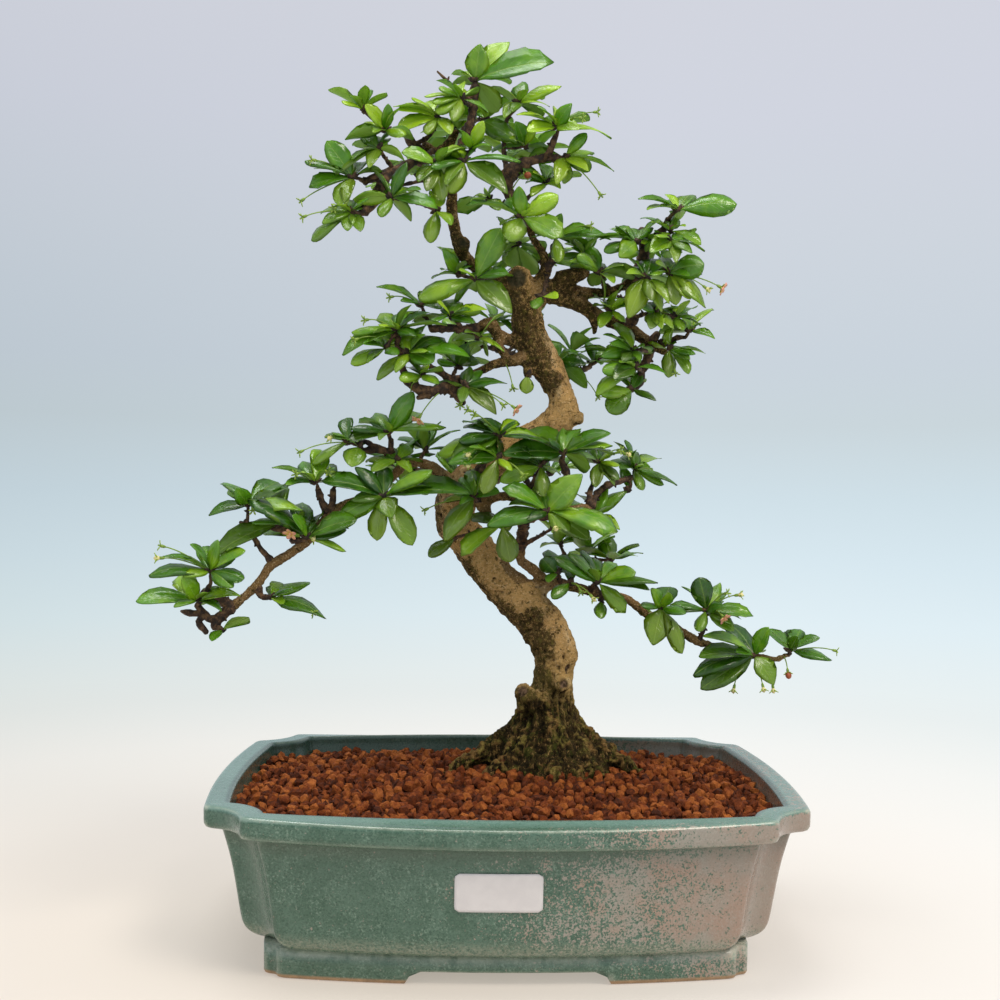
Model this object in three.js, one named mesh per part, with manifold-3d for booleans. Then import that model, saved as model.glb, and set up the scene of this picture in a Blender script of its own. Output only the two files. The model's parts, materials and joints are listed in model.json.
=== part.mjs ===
// A fukien tea bonsai in its glazed stoneware pot, in millimetres, +Z up, the viewer on the -Y side.
// The pot's foot stands on z = 0. Branches are written as routes of [x, y, z, radius] and leaves as
// [x, y, z, face, width]: the reach from the tuft to the leaf's tip, how far its upper face is turned
// from the sky to the viewer in tens of degrees, and its width. A tuft is its place, the number of
// leaves that a rule adds and the measured ones. A bloom or calyx is its stalk's foot and its mouth.
import * as THREE from 'three';
import { mergeVertices } from 'three/addons/utils/BufferGeometryUtils.js';
import Module from 'manifold-3d';

const wasm = await Module();
wasm.setup();

// Pot
const POT_HEIGHT = 75;
const FLOOR_UNDERSIDE = 12.5;
const FLOOR_TOP = 20;
const END_HALF = 135; // half the length between the short sides, at their corners
const SIDE_HALF = 98.6; // half the width between the long sides, at their corners
const NOTCH_X = 115.8; // where a long side ends
const NOTCH_Y = 77.7; // where a short side ends
const SIDE_BOW = 11; // how far a long side swells past its corners
const END_BOW = 5;
const RIM_SAG = 2.2; // the rim dips by this much half way along a long side
const LIP_WIDTH = 10.5;
const LIP_INSET = 7; // how far the body stands in below the lip
const FOOT_INSET = 27; // how far the foot ring stands in at the ends
const FOOT_SIDE_INSET = 17.6;
const FOOT_NOTCH_X = 127; // the foot ring's corners are less indented
const FOOT_NOTCH_Y = 92;
const FOOT_WIDTH = 13;
const ARCH_HEIGHT = 6;
const ARCH_X = 46; // half the gap between two feet along the pot
const ARCH_Y = 30; // and across it
const ARCH_SLOPE = 8;
const HOLE_RADIUS = 10;
const HOLE_X = 58;
const SCREEN_SIZE = 34;
const SCREEN_THICK = 1.2;
const LABEL = { x: -5, z: 43.5, width: 38, height: 17, thick: 0.5, corner: 2 };

// Soil
const SOIL_EDGE = 66.5;
const SOIL_CROWN = 3.5; // how far the bed rises from its edge to its middle
const MOUND = 4.5; // and once more at the trunk
const MOUND_SPREAD = 34;
const GRAIN = 23; // grid step of the modelled grains
const GRAIN_RELIEF = 1.7;

// Tree
const BASE = { x: 25, y: 30 };
const GAP = 0.3; // clearance between pieces that touch
const EASE = 0.01; // points nearer than this to a straight edge are dropped
const BLADE = 0.65; // leaf thickness
const SECOND_LEAF = 28; // a tuft's second leaf is modelled from this length
const THICK_TWIG = 3.1; // thicker twigs get four sides, thinner ones three
const THICK_LIMB = 4.6; // thicker bare limbs get five sides, thinner ones four
const BUD_LENGTH = 1.8; // how far a twig reaches past its last tuft
const STALK = 0.55; // radius of a flower stalk
const STALK_ARCH = 3; // how far it rises over the straight line
const CALYX_LENGTH = 2.6;
const CALYX_RADIUS = 1.6;
const COROLLA_RADIUS = 3.4;
const SEED = 41;
const TOOTHED_LENGTH = 20; // longer leaves may have a notched end
const ADDED_A_WHORL = 2; // leaves modelled on a tuft at the back of the tree
const FOOT_VOLUME = 2.5; // most of a blade that may lie inside another of its spray
const ROOTS = [ // azimuth in degrees, reach, rise above the soil, girth
  [186, 46, 20, 7], [216, 41, 23, 7.4], [248, 38, 24, 7.8], [280, 40, 21, 7.4], [314, 43, 20, 7],
  [348, 46, 20, 7], [22, 42, 19, 6.6], [68, 36, 20, 7], [112, 38, 18, 6.6], [150, 42, 19, 6.6],
];
const FLARE = [[25, 31, 60, 39], [25, 30, 74, 34], [24.5, 30, 84, 27], [24, 30, 94, 20.5]];
const KNOTS = [ // where branches once grew
  [[15, 18, 108, 7], [7.6, 11, 115, 5]],
  [[29, 23, 116, 6.4], [30.5, 13, 116.5, 4.4]],
  [[33, 24, 123, 4.4], [38.5, 19, 124.5, 2.6]],
  [[30, 8, 254, 5.6], [36, 3, 252.6, 3.6]],
];

// Routes of the trunk and its main branches
const TRUNK_WOOD = {
  main: [[25, 30, 54, 26.2], [24, 30, 83, 23.6], [23, 29, 106, 16.7], [27, 28, 123, 10.7],
    [27, 27, 132, 11.2], [15, 25, 152, 11.2], [-3, 22, 169, 10.4], [-19, 20, 190, 9.8],
    [-25, 17, 198, 10], [-26, 14, 208, 10.2], [-22, 13, 217, 9.7], [-12, 12, 228, 9.2],
    [24, 9, 250, 8.6], [28, 8, 258, 7.9], [26, 8, 267, 6.8], [10, 5, 296, 8.1], [4, 2, 325, 6]],
  fork_left: [[7, 4, 312, 5.5], [-2, 2, 320, 5], [-19, -3, 328, 4.5], [-25, -4, 335, 4.5],
    [-30, -5, 354, 4], [-33, 0, 374, 3.8], [-44, 2, 388, 4.5]],
  cut_ring: [[-25, -4, 337, 4], [-24, -14, 337, 3.7]],
  stub_mid: [[-38.9, 1.1, 381.5, 4.2], [-35, 0, 385, 4], [-28, -6, 394, 1.7]],
  right_low: [[21, 10, 316, 5.1], [59, 19, 302, 5.2], [82, 21, 289, 3.1]],
  hang_stub: [[43, 16, 308, 3.6], [44, 14, 297, 1.4]],
  mid_link: [[-7, -2, 294, 2.5], [-1, -1, 282, 2.5]],
  under_knob: [[17.4, 6.4, 282.7, 3.8], [9, 0, 274, 2.5]],
  low_right: [[7.3, 23.7, 159.2, 6.2], [27, 26, 168, 4.2], [62, 31, 161, 2.9], [102, 36, 138, 3.6],
    [147, 43, 127, 2.6], [154, 44, 130, 1.9]],
  centre: [[-23.7, 13.4, 213.2, 4.6], [-2, -10, 213, 2.9], [8, -14, 211, 2.7], [29, -10, 208, 2.4],
    [43, 1, 205, 2]],
  centre_drop: [[-11.5, 0.3, 213.1, 4], [-10, -6, 201, 2]],
  dark_knob: [[24, 10, 324, 4.3], [40, 4, 327, 1.5]],
  middle: [[6.6, 3.3, 312.4, 5.5], [18, 4, 329, 3.5], [2, 2, 359, 3]],
  fork_right: [[7.1, 3.5, 310.1, 6.1], [25, 10, 320, 5.3], [50, 13, 318, 3.6], [63, 12, 325, 3.3]],
  mid_up: [[13, 5.6, 290.6, 4], [-6, -2, 294, 3.7], [-10, -4, 299, 4.7], [-16, -8, 296, 3.5]],
  mid_low: [[14.8, 5.9, 287.2, 4.5], [-24, -14, 270, 4.2]],
  long_left: [[-25, 12, 213, 5.1], [-37, 3, 226, 4.3], [-51, -7, 228, 3.4], [-66, -17, 212, 3.9],
    [-86, -24, 203, 3.6], [-131, -33, 159, 3.6]],
  up_twig: [[22.7, 25.5, 166.1, 3.6], [8, 14, 180, 3.1], [7, 8, 187, 3.5]],
};
const SPRAYS = {
  crown_left_high: {
    wood: [
      [[-42.6, 1.7, 386.2, 3.5], [-54, -8, 395, 1.9]],
      [[-53.7, -7.7, 394.7, 1.3], [-62, -32, 386, 1]],
      [[-62, -32, 386, 1], [-73, -30, 396, 1.1]],
      [[-47.4, -2.3, 389.9, 2], [-41, -8, 391, 1.3], [-37, -14, 398, 1.1]],
    ],
    tufts: [
      [[-62, -32, 386], 2, [[-9, -8, 10, 6, 7], [2, -10, 10, 7, 6], [7, -10, 8, 4, 6],
        [-19, -1, -5, -3, 8], [-5, -11, -4, 6, 7], [10, -11, -5, 6, 7]]],
      [[-73, -30, 396], 1, [[-16, -5, 8, -2, 7], [2, -10, 9, 1, 5], [12, -9, 6, 2, 6],
        [-9, -10, 1, 4, 6], [-5, -11, 4, 0, 5]]],
      [[-37, -14, 398], 3, [[-20, -5, 2, 3, 8], [-13, -8, 7, 3, 7], [-20, -5, -8, 5, 6],
        [6, -10, -11, 4, 7], [-6, -10, -11, 6, 4], [-22, -6, 3, 1, 9]]],
    ],
  },
  crown_top: {
    wood: [
      [[-32, 0, 374, 3.5], [-22, 6, 398, 3], [-19, 5, 420, 3]],
      [[-20, 5, 411, 1.8], [-38, -6, 423, 0.6]],
      [[-19, 5, 419, 2], [-19, 4, 421, 1.5]],
      [[-20, 5, 410, 1.6], [-26, -12, 407, 1]],
      [[-20.6, 5.5, 408.2, 1.7], [-26, 42, 407, 1.4]],
      [[-23.6, 25.6, 407.5, 1.4], [-13, 38, 412, 1.1]],
      [[-26, 42, 407, 0.8], [-28.3, 46.5, 408.1, 0.7]],
    ],
    tufts: [
      [[-19, 4, 421.4], 2, [[2, -5, 17, 8, 13], [17, 6, 22, 7, 7], [39, -10, 7, 6, 13],
        [12, 5, -14, -7, 13], [-12, 10, 1, -2, 6]]],
      [[-26, -11.9, 407.3], 3, [[-18, -6, -1, 1, 7], [-11, -10, 2, 2, 6], [-14, -9, -5, 1, 7],
        [-12, -9, -10, 3, 7], [-3, -11, 4, 2, 5], [14, 0, -7, 2, 6], [-4, -10, -14, 5, 4]]],
      [[-28, 46, 408], 7, []],
      [[-13, 38, 412], 6, []],
    ],
  },
  crown_right: {
    wood: [
      [[2, 2, 359, 3], [-3, 0, 372, 4.5], [1, -2, 377, 4.2], [22, -6, 381, 3]],
      [[17.3, -5.1, 380.1, 2.2], [21, -9, 392, 1.6]],
      [[-2, 1, 371, 2], [-4, 8, 389, 1.5], [-3, 8, 403, 1.3], [2, 4, 409, 1.2]],
      [[-4, 8, 391, 1.3], [6, 2, 389, 1]],
      [[20.5, -8.5, 390.3, 1.5], [22, -10, 394, 1.2]],
      [[22, -6, 381, 2], [25, -6, 382, 1.3]],
      [[-1.8, 0.5, 368.8, 2], [11, 42, 393, 1.4]],
      [[7.8, 31.7, 387, 1.4], [-1, 47, 393, 1.1]],
      [[2, 2, 358, 1.7], [10, 8, 366, 1.4], [17, 6, 371, 1.2]],
      [[2, 2, 358, 1.5], [-12, 6, 363, 1]],
      [[11, 42, 393, 0.8], [12.1, 46.5, 396.4, 0.7]],
    ],
    tufts: [
      [[2.1, 3.8, 409.2], 3, [[21, -6, 7, 4, 9], [15, -8, -4, 2, 7], [-8, -10, -11, 3, 7],
        [3, -11, 3, 2, 5], [-4, -11, -8, 5, 4]]],
      [[6, 2, 389], 2, [[-5, -9, 10, 7, 10], [-21, 6, 14, 7, 5], [-8, -11, 1, 5, 5], [5, -10, 7, 4, 5]]],
      [[21.8, -10, 394.3], 3, [[7, -9, 9, 7, 9], [-20, -5, 4, 1, 8], [-10, -9, 7, 3, 7],
        [-7, -11, 4, 6, 4], [-15, -9, -5, 6, 8], [27, -7, -7, 1, 11], [11, -10, -4, 7, 9]]],
      [[25.4, -6, 382], 3, [[24, -6, -8, 1, 10], [11, -9, -9, 5, 8], [10, -8, 10, 6, 8],
        [1, 10, -11, 3, 6], [-5, -9, -16, 4, 7]]],
      [[12, 46, 396], 7, []],
      [[-0.8, 47.2, 393.2], 6, []],
      [[17, 5.6, 371], 3, [[-12, -9, 6, 4, 6], [10, 10, 9, 3, 7], [7, -11, -5, 3, 6],
        [-7, -11, 3, 4, 6], [-8, -11, -9, 3, 6]]],
      [[-12, 6, 363], 2, [[-2, -11, 3, 6, 5], [-9, -11, -4, 1, 6], [6, -11, -8, 3, 6]]],
    ],
    calyces: [[[21, -10, 396], [40.4, -18, 401.3]], [[26, -6, 382], [43.3, -12.3, 362.2]]],
  },
  crown_centre: {
    wood: [
      [[-32, 0, 373, 2], [-25, -24, 373, 1.3]],
      [[-25, -24, 373, 1.2], [-21, -22, 381, 1]],
      [[-28, -12, 373, 1.5], [-37, -26, 372, 1.1]],
    ],
    tufts: [
      [[-24.4, -24.1, 374], 2, [[21, -7, -17, 4, 11], [27, -7, -1, 1, 11], [-16, -7, -5, 3, 7],
        [-7, -7, -17, 7, 10], [-9, -9, -14, 6, 6]]],
      [[-21, -22, 381], 2, [[-15, -8, -6, 1, 7], [-3, -11, 5, 6, 5], [6, -9, 11, 5, 5],
        [10, -10, -1, 3, 6]]],
      [[-37, -26, 372], 3, [[-17, -6, 4, 5, 9], [-5, -9, -15, 5, 7], [3, -6, -19, 4, 8],
        [5, -10, 6, 2, 5], [-9, -10, -11, 2, 7]]],
    ],
  },
  crown_left: {
    wood: [
      [[-39, 1, 383, 4], [-72, -22, 364, 2.4]],
      [[-61, -15, 370, 2.9], [-68, -28, 352, 3.6], [-73, -30, 347, 2.6]],
      [[-72, -22, 364, 1.6], [-77, -33, 363, 1.1]],
      [[-58, -13, 372, 1.5], [-65, -30, 378, 1.1]],
      [[-66, -24.2, 357.2, 1.9], [-58, -37, 353, 1.2]],
      [[-58, -37, 353, 1], [-37, -30, 349, 0.9]],
      [[-73, -30, 347, 1.7], [-76, -35, 346, 1.3]],
    ],
    tufts: [
      [[-77, -33, 363], 2, [[-20, -5, -6, 3, 9], [-12, -5, 16, 6, 11], [-6, -9, -15, 5, 9],
        [-22, -6, 6, 1, 9], [-18, -4, 3, 1, 7], [-2, -10, -15, 5, 7]]],
      [[-65, -30, 378], 2, [[-20, -6, -14, 2, 10], [-12, -9, -8, 1, 7], [13, -9, -8, -3, 7],
        [-9, 10, 10, 5, 4], [-4, -10, -12, 2, 7]]],
      [[-58, -37, 353], 3, [[-18, -5, -2, -4, 8], [22, -6, -6, 4, 10], [-5, -10, -11, 2, 6],
        [7, -5, 16, 4, 7], [14, -9, 2, 2, 7], [9, 9, -9, -2, 6]]],
      [[-37, -30, 349], 1, [[-3, -8, -17, 6, 5], [7, -10, -9, 3, 6]]],
      [[-76.3, -35.3, 346], 2, [[-18, -6, -15, 2, 10], [-13, -8, -7, 3, 7], [-8, -11, 1, 1, 5],
        [-1, -11, -11, 4, 6], [5, -10, -11, 6, 7], [9, -10, 5, 3, 6]]],
    ],
    calyces: [[[-77, -33, 363], [-100.4, -38, 350.5]]],
  },
  crown_left_back: {
    wood: [
      [[-31, -2, 365, 1.8], [-36, 20, 372, 1.5], [-45, 34, 380, 1.4]],
      [[-43, 31, 378, 1.3], [-58, 30, 374, 1]],
      [[-45, 34, 380, 0.8], [-47.3, 37.5, 381.2, 0.7]],
    ],
    tufts: [
      [[-47, 37, 381], 7, []],
      [[-58.3, 30, 374], 5, []],
    ],
  },
  fork_front: {
    wood: [
      [[-11, 0, 324, 2], [-18, -20, 318, 1.3]],
      [[-15.1, -11.8, 320.5, 1.4], [-26, -11, 322, 1.1]],
    ],
    tufts: [
      [[-18, -20, 318], 1, [[12, -7, 24, 7, 14], [16, -8, 2, 3, 7], [18, -6, -17, 6, 12],
        [-27, -7, -11, 5, 12], [-10, 9, -9, 3, 7], [-8, -11, 3, 3, 6]]],
      [[-26.2, -10.8, 322], 2, [[-7, -9, 11, 7, 6], [-12, -10, -4, 1, 6], [4, -11, 5, 3, 5]]],
    ],
  },
  middle_front: {
    wood: [
      [[7.4, 2.7, 348.8, 2], [4, -28, 347, 1.2]],
    ],
    tufts: [
      [[4, -28, 347], 1, [[-27, -7, 4, 1, 11], [-2, -9, 13, 6, 6], [-7, -9, -13, 7, 12],
        [17, -5, 10, 5, 10], [20, -5, -10, 6, 13], [4, -11, 1, 2, 5], [-10, 10, -2, 3, 6]]],
    ],
  },
  middle_stub: {
    wood: [
      [[16.6, 3.9, 327, 2.8], [21, -2, 339, 1.9]],
      [[21, -2, 338, 1.5], [22, -5, 341, 1.2]],
    ],
    tufts: [
      [[22, -5.3, 341.3], 3, [[2, -10, 10, 6, 6], [1, -10, -14, 5, 6], [27, -7, -2, 2, 11],
        [-12, 10, 1, 3, 7], [15, -7, 4, 3, 7]]],
    ],
  },
  middle_under: {
    wood: [
      [[16.9, 3.9, 327.4, 1.5], [15, -13, 311, 1.1]],
    ],
    tufts: [
      [[15, -13.3, 311], 0, [[7, -11, -2, 3, 5], [-5, -11, -7, 3, 6]]],
    ],
  },
  behind_neck: {
    wood: [
      [[8, 4, 307, 2.5], [6, 34, 319, 2.1], [4, 56, 336, 1.6]],
      [[4.7, 48.2, 330, 1.6], [17, 54, 340, 1.1]],
      [[6, 34, 319, 1.6], [-10, 52, 327, 1.1]],
      [[5, 44, 326, 1.6], [4, 21, 342, 1.1]],
      [[4, 56, 336, 0.8], [2.9, 59.4, 339.4, 0.7]],
    ],
    tufts: [
      [[3, 59, 339], 8, []],
      [[17.3, 54, 340], 7, []],
      [[-10, 52, 327], 6, []],
      [[4, 20.8, 342.2], 2, [[-3, -10, -14, -7, 12], [10, -5, -16, -6, 9], [-7, -11, -6, -3, 6],
        [-10, -10, 2, 2, 6]]],
    ],
  },
  right_upper: {
    wood: [
      [[63, 12, 325, 3.3], [68, 8, 336, 3.6], [66, 4, 349, 2.4]],
      [[68, 6, 340, 3], [79, 1, 354, 1.6]],
      [[78.5, 1.2, 353.4, 1.3], [83, -6, 357, 1.1]],
      [[77.3, 1.8, 351.8, 1.1], [79, -4, 347, 1]],
      [[68, 6, 341, 1.7], [72, -8, 339, 1.3], [77, -14, 340, 1.2]],
      [[66.3, 4.6, 347.1, 1.5], [62, -8, 340, 1.1]],
      [[66, 10, 330, 2], [77, -8, 326, 1.2]],
      [[65, 11, 328, 2], [66, -12, 322, 1.3]],
    ],
    tufts: [
      [[83, -6, 357], 1, [[-21, -5, 4, 2, 9], [-5, 10, 10, 3, 6], [8, 11, 9, 3, 6], [28, -7, 2, 6, 9],
        [-10, -11, -1, 2, 6], [-17, -8, -2, 1, 7]]],
      [[79, -4, 347], 2, [[15, -6, -8, 3, 7], [6, -11, 0, 2, 5], [-11, -10, 2, 3, 6]]],
      [[77.3, -14.3, 340], 2, [[-12, -10, -8, 6, 10], [16, -6, -6, 1, 7], [9, -10, -8, 4, 6],
        [1, -10, -13, 5, 7], [-9, -11, 0, 2, 6]]],
      [[62, -8, 340], 2, [[11, -7, 10, 3, 7], [-19, -5, 0, 2, 8], [-10, -10, -9, 7, 12],
        [-23, -6, 1, 1, 9], [-17, -7, -6, 3, 8]]],
      [[77.2, -8.2, 325.8], 2, [[17, -5, 4, 5, 13], [9, -10, -3, 2, 6], [18, -6, -18, 3, 10],
        [3, -7, -17, 5, 7], [10, -7, -14, 3, 7], [-8, -11, 3, 4, 6], [-10, -11, -3, 2, 6]]],
      [[66, -12.4, 322], 2, [[-9, -5, -21, 7, 13], [8, -4, -18, 3, 8], [2, -10, -13, 4, 7],
        [-11, -10, 0, 4, 7], [11, -7, -14, 2, 7]]],
    ],
    blooms: {
      right_edge: [[78, -9, 325], [102.7, -16.7, 317.2]],
    },
  },
  right_inner: {
    wood: [
      [[49, 13, 319, 1.7], [46, -4, 324, 1.2]],
      [[46, -4, 324, 1.2], [37, 2, 335, 1]],
      [[48.4, 9.8, 319.9, 2], [64, 36, 325, 1.6], [72, 50, 332, 1.4]],
      [[68, 42, 328, 1.4], [83, 44, 339, 1.1]],
      [[63, 34, 325, 1.4], [63, 50, 320, 1.1]],
      [[72, 50, 332, 0.8], [74.3, 53.4, 334.3, 0.7]],
    ],
    tufts: [
      [[45.2, -3.9, 324.8], 3, [[-16, -8, 4, 3, 7], [-12, -9, 7, 5, 7], [6, -11, -7, 4, 6],
        [11, -10, 2, 3, 7], [-6, 8, 15, 3, 7], [3, 9, -13, 4, 6]]],
      [[37, 2, 335], 2, [[-13, -10, -3, 3, 7], [-6, -11, 6, 3, 5], [6, -10, 7, 2, 6], [5, -11, -5, 3, 5]]],
      [[74, 53, 334], 7, []],
      [[83.2, 44, 339.2], 6, []],
      [[62.7, 50, 320], 6, []],
    ],
  },
  right_mid: {
    wood: [
      [[60.8, 19.2, 301, 3.6], [65, 15, 306, 3.1]],
      [[62.5, 17.5, 303, 2.1], [51, 2, 307, 1.3]],
      [[65, 15, 306, 1.7], [71, -4, 306, 1.2]],
      [[71, -4, 306, 1.1], [83, -4, 304, 1]],
    ],
    tufts: [
      [[51, 1.6, 307], 2, [[-6, -11, 2, 4, 9], [3, -11, 5, 4, 8], [-7, -10, -10, 2, 6],
        [5, -11, -7, 3, 6], [13, -9, 1, 3, 6]]],
      [[72, -4.3, 305.9], 3, [[-4, -11, -10, 5, 8], [5, -11, 3, 2, 5], [-9, -11, 2, 4, 7],
        [8, -10, -10, 3, 6], [2, -11, -10, 4, 6]]],
      [[83, -4, 304], 2, [[9, -10, -2, 3, 6], [1, -11, -8, 6, 7], [5, -10, 7, 3, 5], [11, -9, -5, 1, 6]]],
    ],
  },
  right_tip: {
    wood: [
      [[77.2, 20.6, 291.7, 2.8], [91, 14, 296, 1.4]],
      [[74, 19, 294, 3.1], [77, 17, 298, 2.6]],
      [[91, 14, 296, 1.2], [92, 12, 298, 1.1]],
      [[82, 18, 294, 1.8], [82, 12, 291, 1.2]],
    ],
    tufts: [
      [[92.2, 12, 298.2], 3, [[11, -10, -5, 2, 6], [-7, -10, 8, 5, 6], [4, -11, 3, 1, 5],
        [-12, -10, 6, 3, 7]]],
      [[82, 11.7, 290.7], 2, [[18, -4, -2, 1, 8], [12, -9, -3, 4, 6], [9, -10, -6, 4, 6],
        [9, -7, -13, 2, 7], [-2, -9, -15, 5, 5]]],
    ],
    calyces: [[[82, 10, 289], [83.9, 2, 276.5]]],
  },
  right_down: {
    wood: [
      [[74.6, 20.4, 293.2, 3.4], [65, 14, 269, 2.5]],
      [[73, 19, 289, 1.8], [64, 0, 287, 1.2]],
      [[69, 16, 278, 1.8], [62, -8, 278, 1.2]],
      [[65, 14, 270, 1.5], [64, 9, 268, 1.2]],
    ],
    tufts: [
      [[63.7, -0.2, 287], 2, [[-13, -10, 2, 4, 7], [-17, -7, -4, 6, 9], [-7, -11, -7, 6, 8],
        [4, -11, 1, 3, 5], [2, -11, -6, 3, 5], [-16, -7, 7, 1, 7]]],
      [[62, -8.4, 278], 1, [[-17, -7, -3, 5, 6], [-12, -10, -7, 7, 11], [-20, -6, -15, 2, 10],
        [15, -7, -4, 3, 7], [-9, -11, 1, 2, 6]]],
      [[63.8, 8.7, 268], 2, [[-17, -8, -3, 5, 8], [-13, -7, -12, 6, 12], [11, -9, -6, 3, 6],
        [5, 10, 10, 4, 6]]],
    ],
  },
  behind_right: {
    wood: [
      [[22.2, 7.3, 273.8, 3.1], [35, 44, 278, 2.4], [47, 64, 285, 1.8]],
      [[40, 53, 281, 1.5], [37, 70, 293, 1.1]],
      [[45.9, 62.2, 284.4, 1.4], [58, 58, 292, 1.1]],
      [[32.1, 35.6, 277.1, 1.8], [28, 34, 284, 1.2]],
      [[47, 64, 285, 0.8], [49.3, 67.4, 287.3, 0.7]],
    ],
    tufts: [
      [[49, 67, 287], 7, []],
      [[37, 70, 293], 6, []],
      [[58, 58, 292.3], 6, []],
      [[27.6, 34, 284], 2, [[14, -9, -2, 6, 9], [15, -5, -14, 5, 8], [-8, -11, 4, 3, 5],
        [5, -11, 5, 3, 5]]],
    ],
  },
  mid_upper: {
    wood: [
      [[-16, -8, 296, 3.5], [-39, -17, 294, 2.6]],
      [[-39, -17, 294, 1.5], [-44, -12, 306, 1.1]],
      [[-24, -12, 295, 1.7], [-30, -24, 300, 1.2]],
      [[-22, -11, 296, 1.7], [-18, -12, 293, 1.3]],
      [[-18, -12, 293, 0.8], [-14.5, -12, 290.7, 0.7]],
    ],
    tufts: [
      [[-44, -12, 306], 3, [[-22, -6, 8, 3, 10], [-10, -10, 1, 3, 6], [10, -11, -3, 3, 6],
        [2, 11, 10, 2, 6]]],
      [[-30, -24.3, 299.7], 3, [[12, -10, -4, 4, 8], [10, -10, 2, 2, 6], [18, -6, 3, 3, 7],
        [-6, -11, 6, 3, 5], [-9, -11, -4, 2, 6]]],
      [[-15, -12, 291], 2, [[6, -11, -5, 3, 5], [-8, -11, 1, 2, 5], [12, -9, -8, 2, 7],
        [4, 11, -8, 4, 6]]],
    ],
  },
  mid_lower: {
    wood: [
      [[-24, -14, 270, 4.2], [-45, -22, 260, 1.5]],
      [[-28.9, -15.9, 267.7, 3.9], [-23, -19, 258, 1.9]],
      [[-28.9, -15.9, 267.7, 2.9], [-39, -22, 275, 1.8]],
      [[-37, -19, 264, 2.7], [-49, -24, 268, 3.4], [-55, -30, 289, 1.9]],
      [[-51.7, -26.7, 277.5, 1.7], [-45, -32, 282, 1.8]],
      [[-55, -30, 288, 1.4], [-55, -33, 291, 1.2]],
      [[-55, -32.5, 290.5, 1], [-60, -36, 282, 0.9]],
      [[-45.3, -31.7, 281.8, 1.3], [-48, -35, 280, 1.1]],
      [[-49, -24, 267, 1.6], [-46, -32, 270, 1.1]],
      [[-26.6, -17.1, 264, 2], [-22, -26, 266, 1.3]],
      [[-29, -15, 267, 2], [-26, 2, 278, 1.2]],
      [[-46, -32, 270, 0.8], [-42.5, -34.3, 270, 0.7]],
    ],
    tufts: [
      [[-55, -33.4, 291], 2, [[-21, -5, -2, 2, 9], [-25, -7, -13, 1, 12], [-8, -11, 1, 2, 5],
        [7, -9, 11, 2, 6], [16, -6, 8, 2, 7], [24, -6, 2, 1, 10], [-2, -11, 3, 3, 5],
        [10, -10, -4, 3, 6]]],
      [[-60, -36, 282], 1, [[-16, -5, -8, 4, 8], [-8, -10, -8, 3, 6], [-10, -10, 1, 3, 7],
        [6, -11, -4, 4, 7]]],
      [[-48.2, -35.2, 280], 2, [[-15, -2, -13, 5, 6], [8, -10, 8, 3, 6], [12, -10, -5, 6, 11],
        [29, -7, -2, 1, 12], [-6, -10, -10, 4, 6], [9, -11, 0, 3, 6]]],
      [[-43, -34, 270], 2, [[-10, -10, -3, 5, 7], [8, -11, -5, 4, 6], [4, -11, 1, 3, 5],
        [-5, 11, -7, 3, 6]]],
      [[-22, -26, 266], 2, [[20, -5, 1, 3, 8], [15, -5, -14, 5, 9], [8, 11, -1, 2, 5],
        [-2, -11, -9, 3, 6]]],
      [[-26, 2, 278], 2, [[5, -10, 10, 8, 11], [-10, -10, 1, 4, 6], [-6, 11, 8, 3, 6], [11, 10, 4, 4, 6]]],
    ],
    blooms: {
      mid_left: [[-32, -17.3, 265.3], [-44.1, -25.3, 250.1]],
      mid_right: [[-22, -26, 266], [1.5, -33.6, 255.2]],
    },
    calyces: [[[-58, -36, 286], [-73.9, -44, 284.9]]],
  },
  left_raised: {
    wood: [
      [[-51, -7, 228, 3], [-60, -11, 234, 2.3], [-72, -14, 234, 2.1]],
      [[-61.2, -11.3, 234, 1.9], [-71, -15, 239, 1.5]],
      [[-58.8, -10.5, 233.2, 2.1], [-58, -14, 240, 1.8]],
      [[-58, -14, 239, 1.6], [-59, -16, 242, 1.4]],
      [[-71, -14, 234, 1.5], [-72, -20, 235, 1.2]],
      [[-72, -20, 235, 1], [-78, -22, 238, 0.8]],
      [[-55.6, -9, 231.1, 1.5], [-55, -14, 231, 1.2]],
    ],
    tufts: [
      [[-59, -16, 242.4], 2, [[-21, -6, -5, 4, 10], [12, -6, 20, 4, 10], [28, -7, 3, 2, 12],
        [-18, -5, 2, 2, 7], [-4, -11, -4, 2, 5], [-2, -11, 6, 5, 6]]],
      [[-73.2, -20.7, 235.8], 1, [[-3, -10, -10, 7, 11], [-11, -10, 4, 2, 6]]],
      [[-78, -22, 238], 1, [[-17, -5, -11, 3, 8], [-7, -11, 4, 2, 5]]],
      [[-55, -14.3, 230.8], 2, [[-12, -9, -6, 5, 6], [6, 11, 7, 6, 8], [8, -10, -7, 3, 6]]],
    ],
  },
  left_main: {
    wood: [
      [[-61, -14, 218, 2], [-60, -28, 212, 1.3]],
    ],
    tufts: [
      [[-60, -28.4, 212], 1, [[-29, -8, 7, 3, 12], [-14, -1, 14, 3, 8], [-15, -8, -2, 3, 7],
        [-21, -6, -10, 5, 7], [4, -10, -10, 7, 11], [-3, -5, -21, 7, 10], [14, -7, -23, 6, 11],
        [23, -7, 13, 4, 11], [23, -6, 5, 2, 10], [41, -10, 2, 2, 17]]],
    ],
  },
  left_fork: {
    wood: [
      [[-87, -24, 203, 2.9], [-92, -26, 215, 2.2]],
      [[-86, -24, 204, 2.8], [-85, -23, 215, 1.9]],
      [[-92, -26, 215, 1.4], [-92, -29, 217, 1.2]],
      [[-85, -23, 215, 1.4], [-84, -22, 217, 1.1]],
    ],
    tufts: [
      [[-92.2, -29.2, 217.2], 3, [[-20, -5, 7, 2, 9], [-15, -8, -3, 2, 7], [-13, -9, -1, 1, 6],
        [-5, -11, 5, 2, 5], [10, -10, 7, 2, 6]]],
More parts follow.
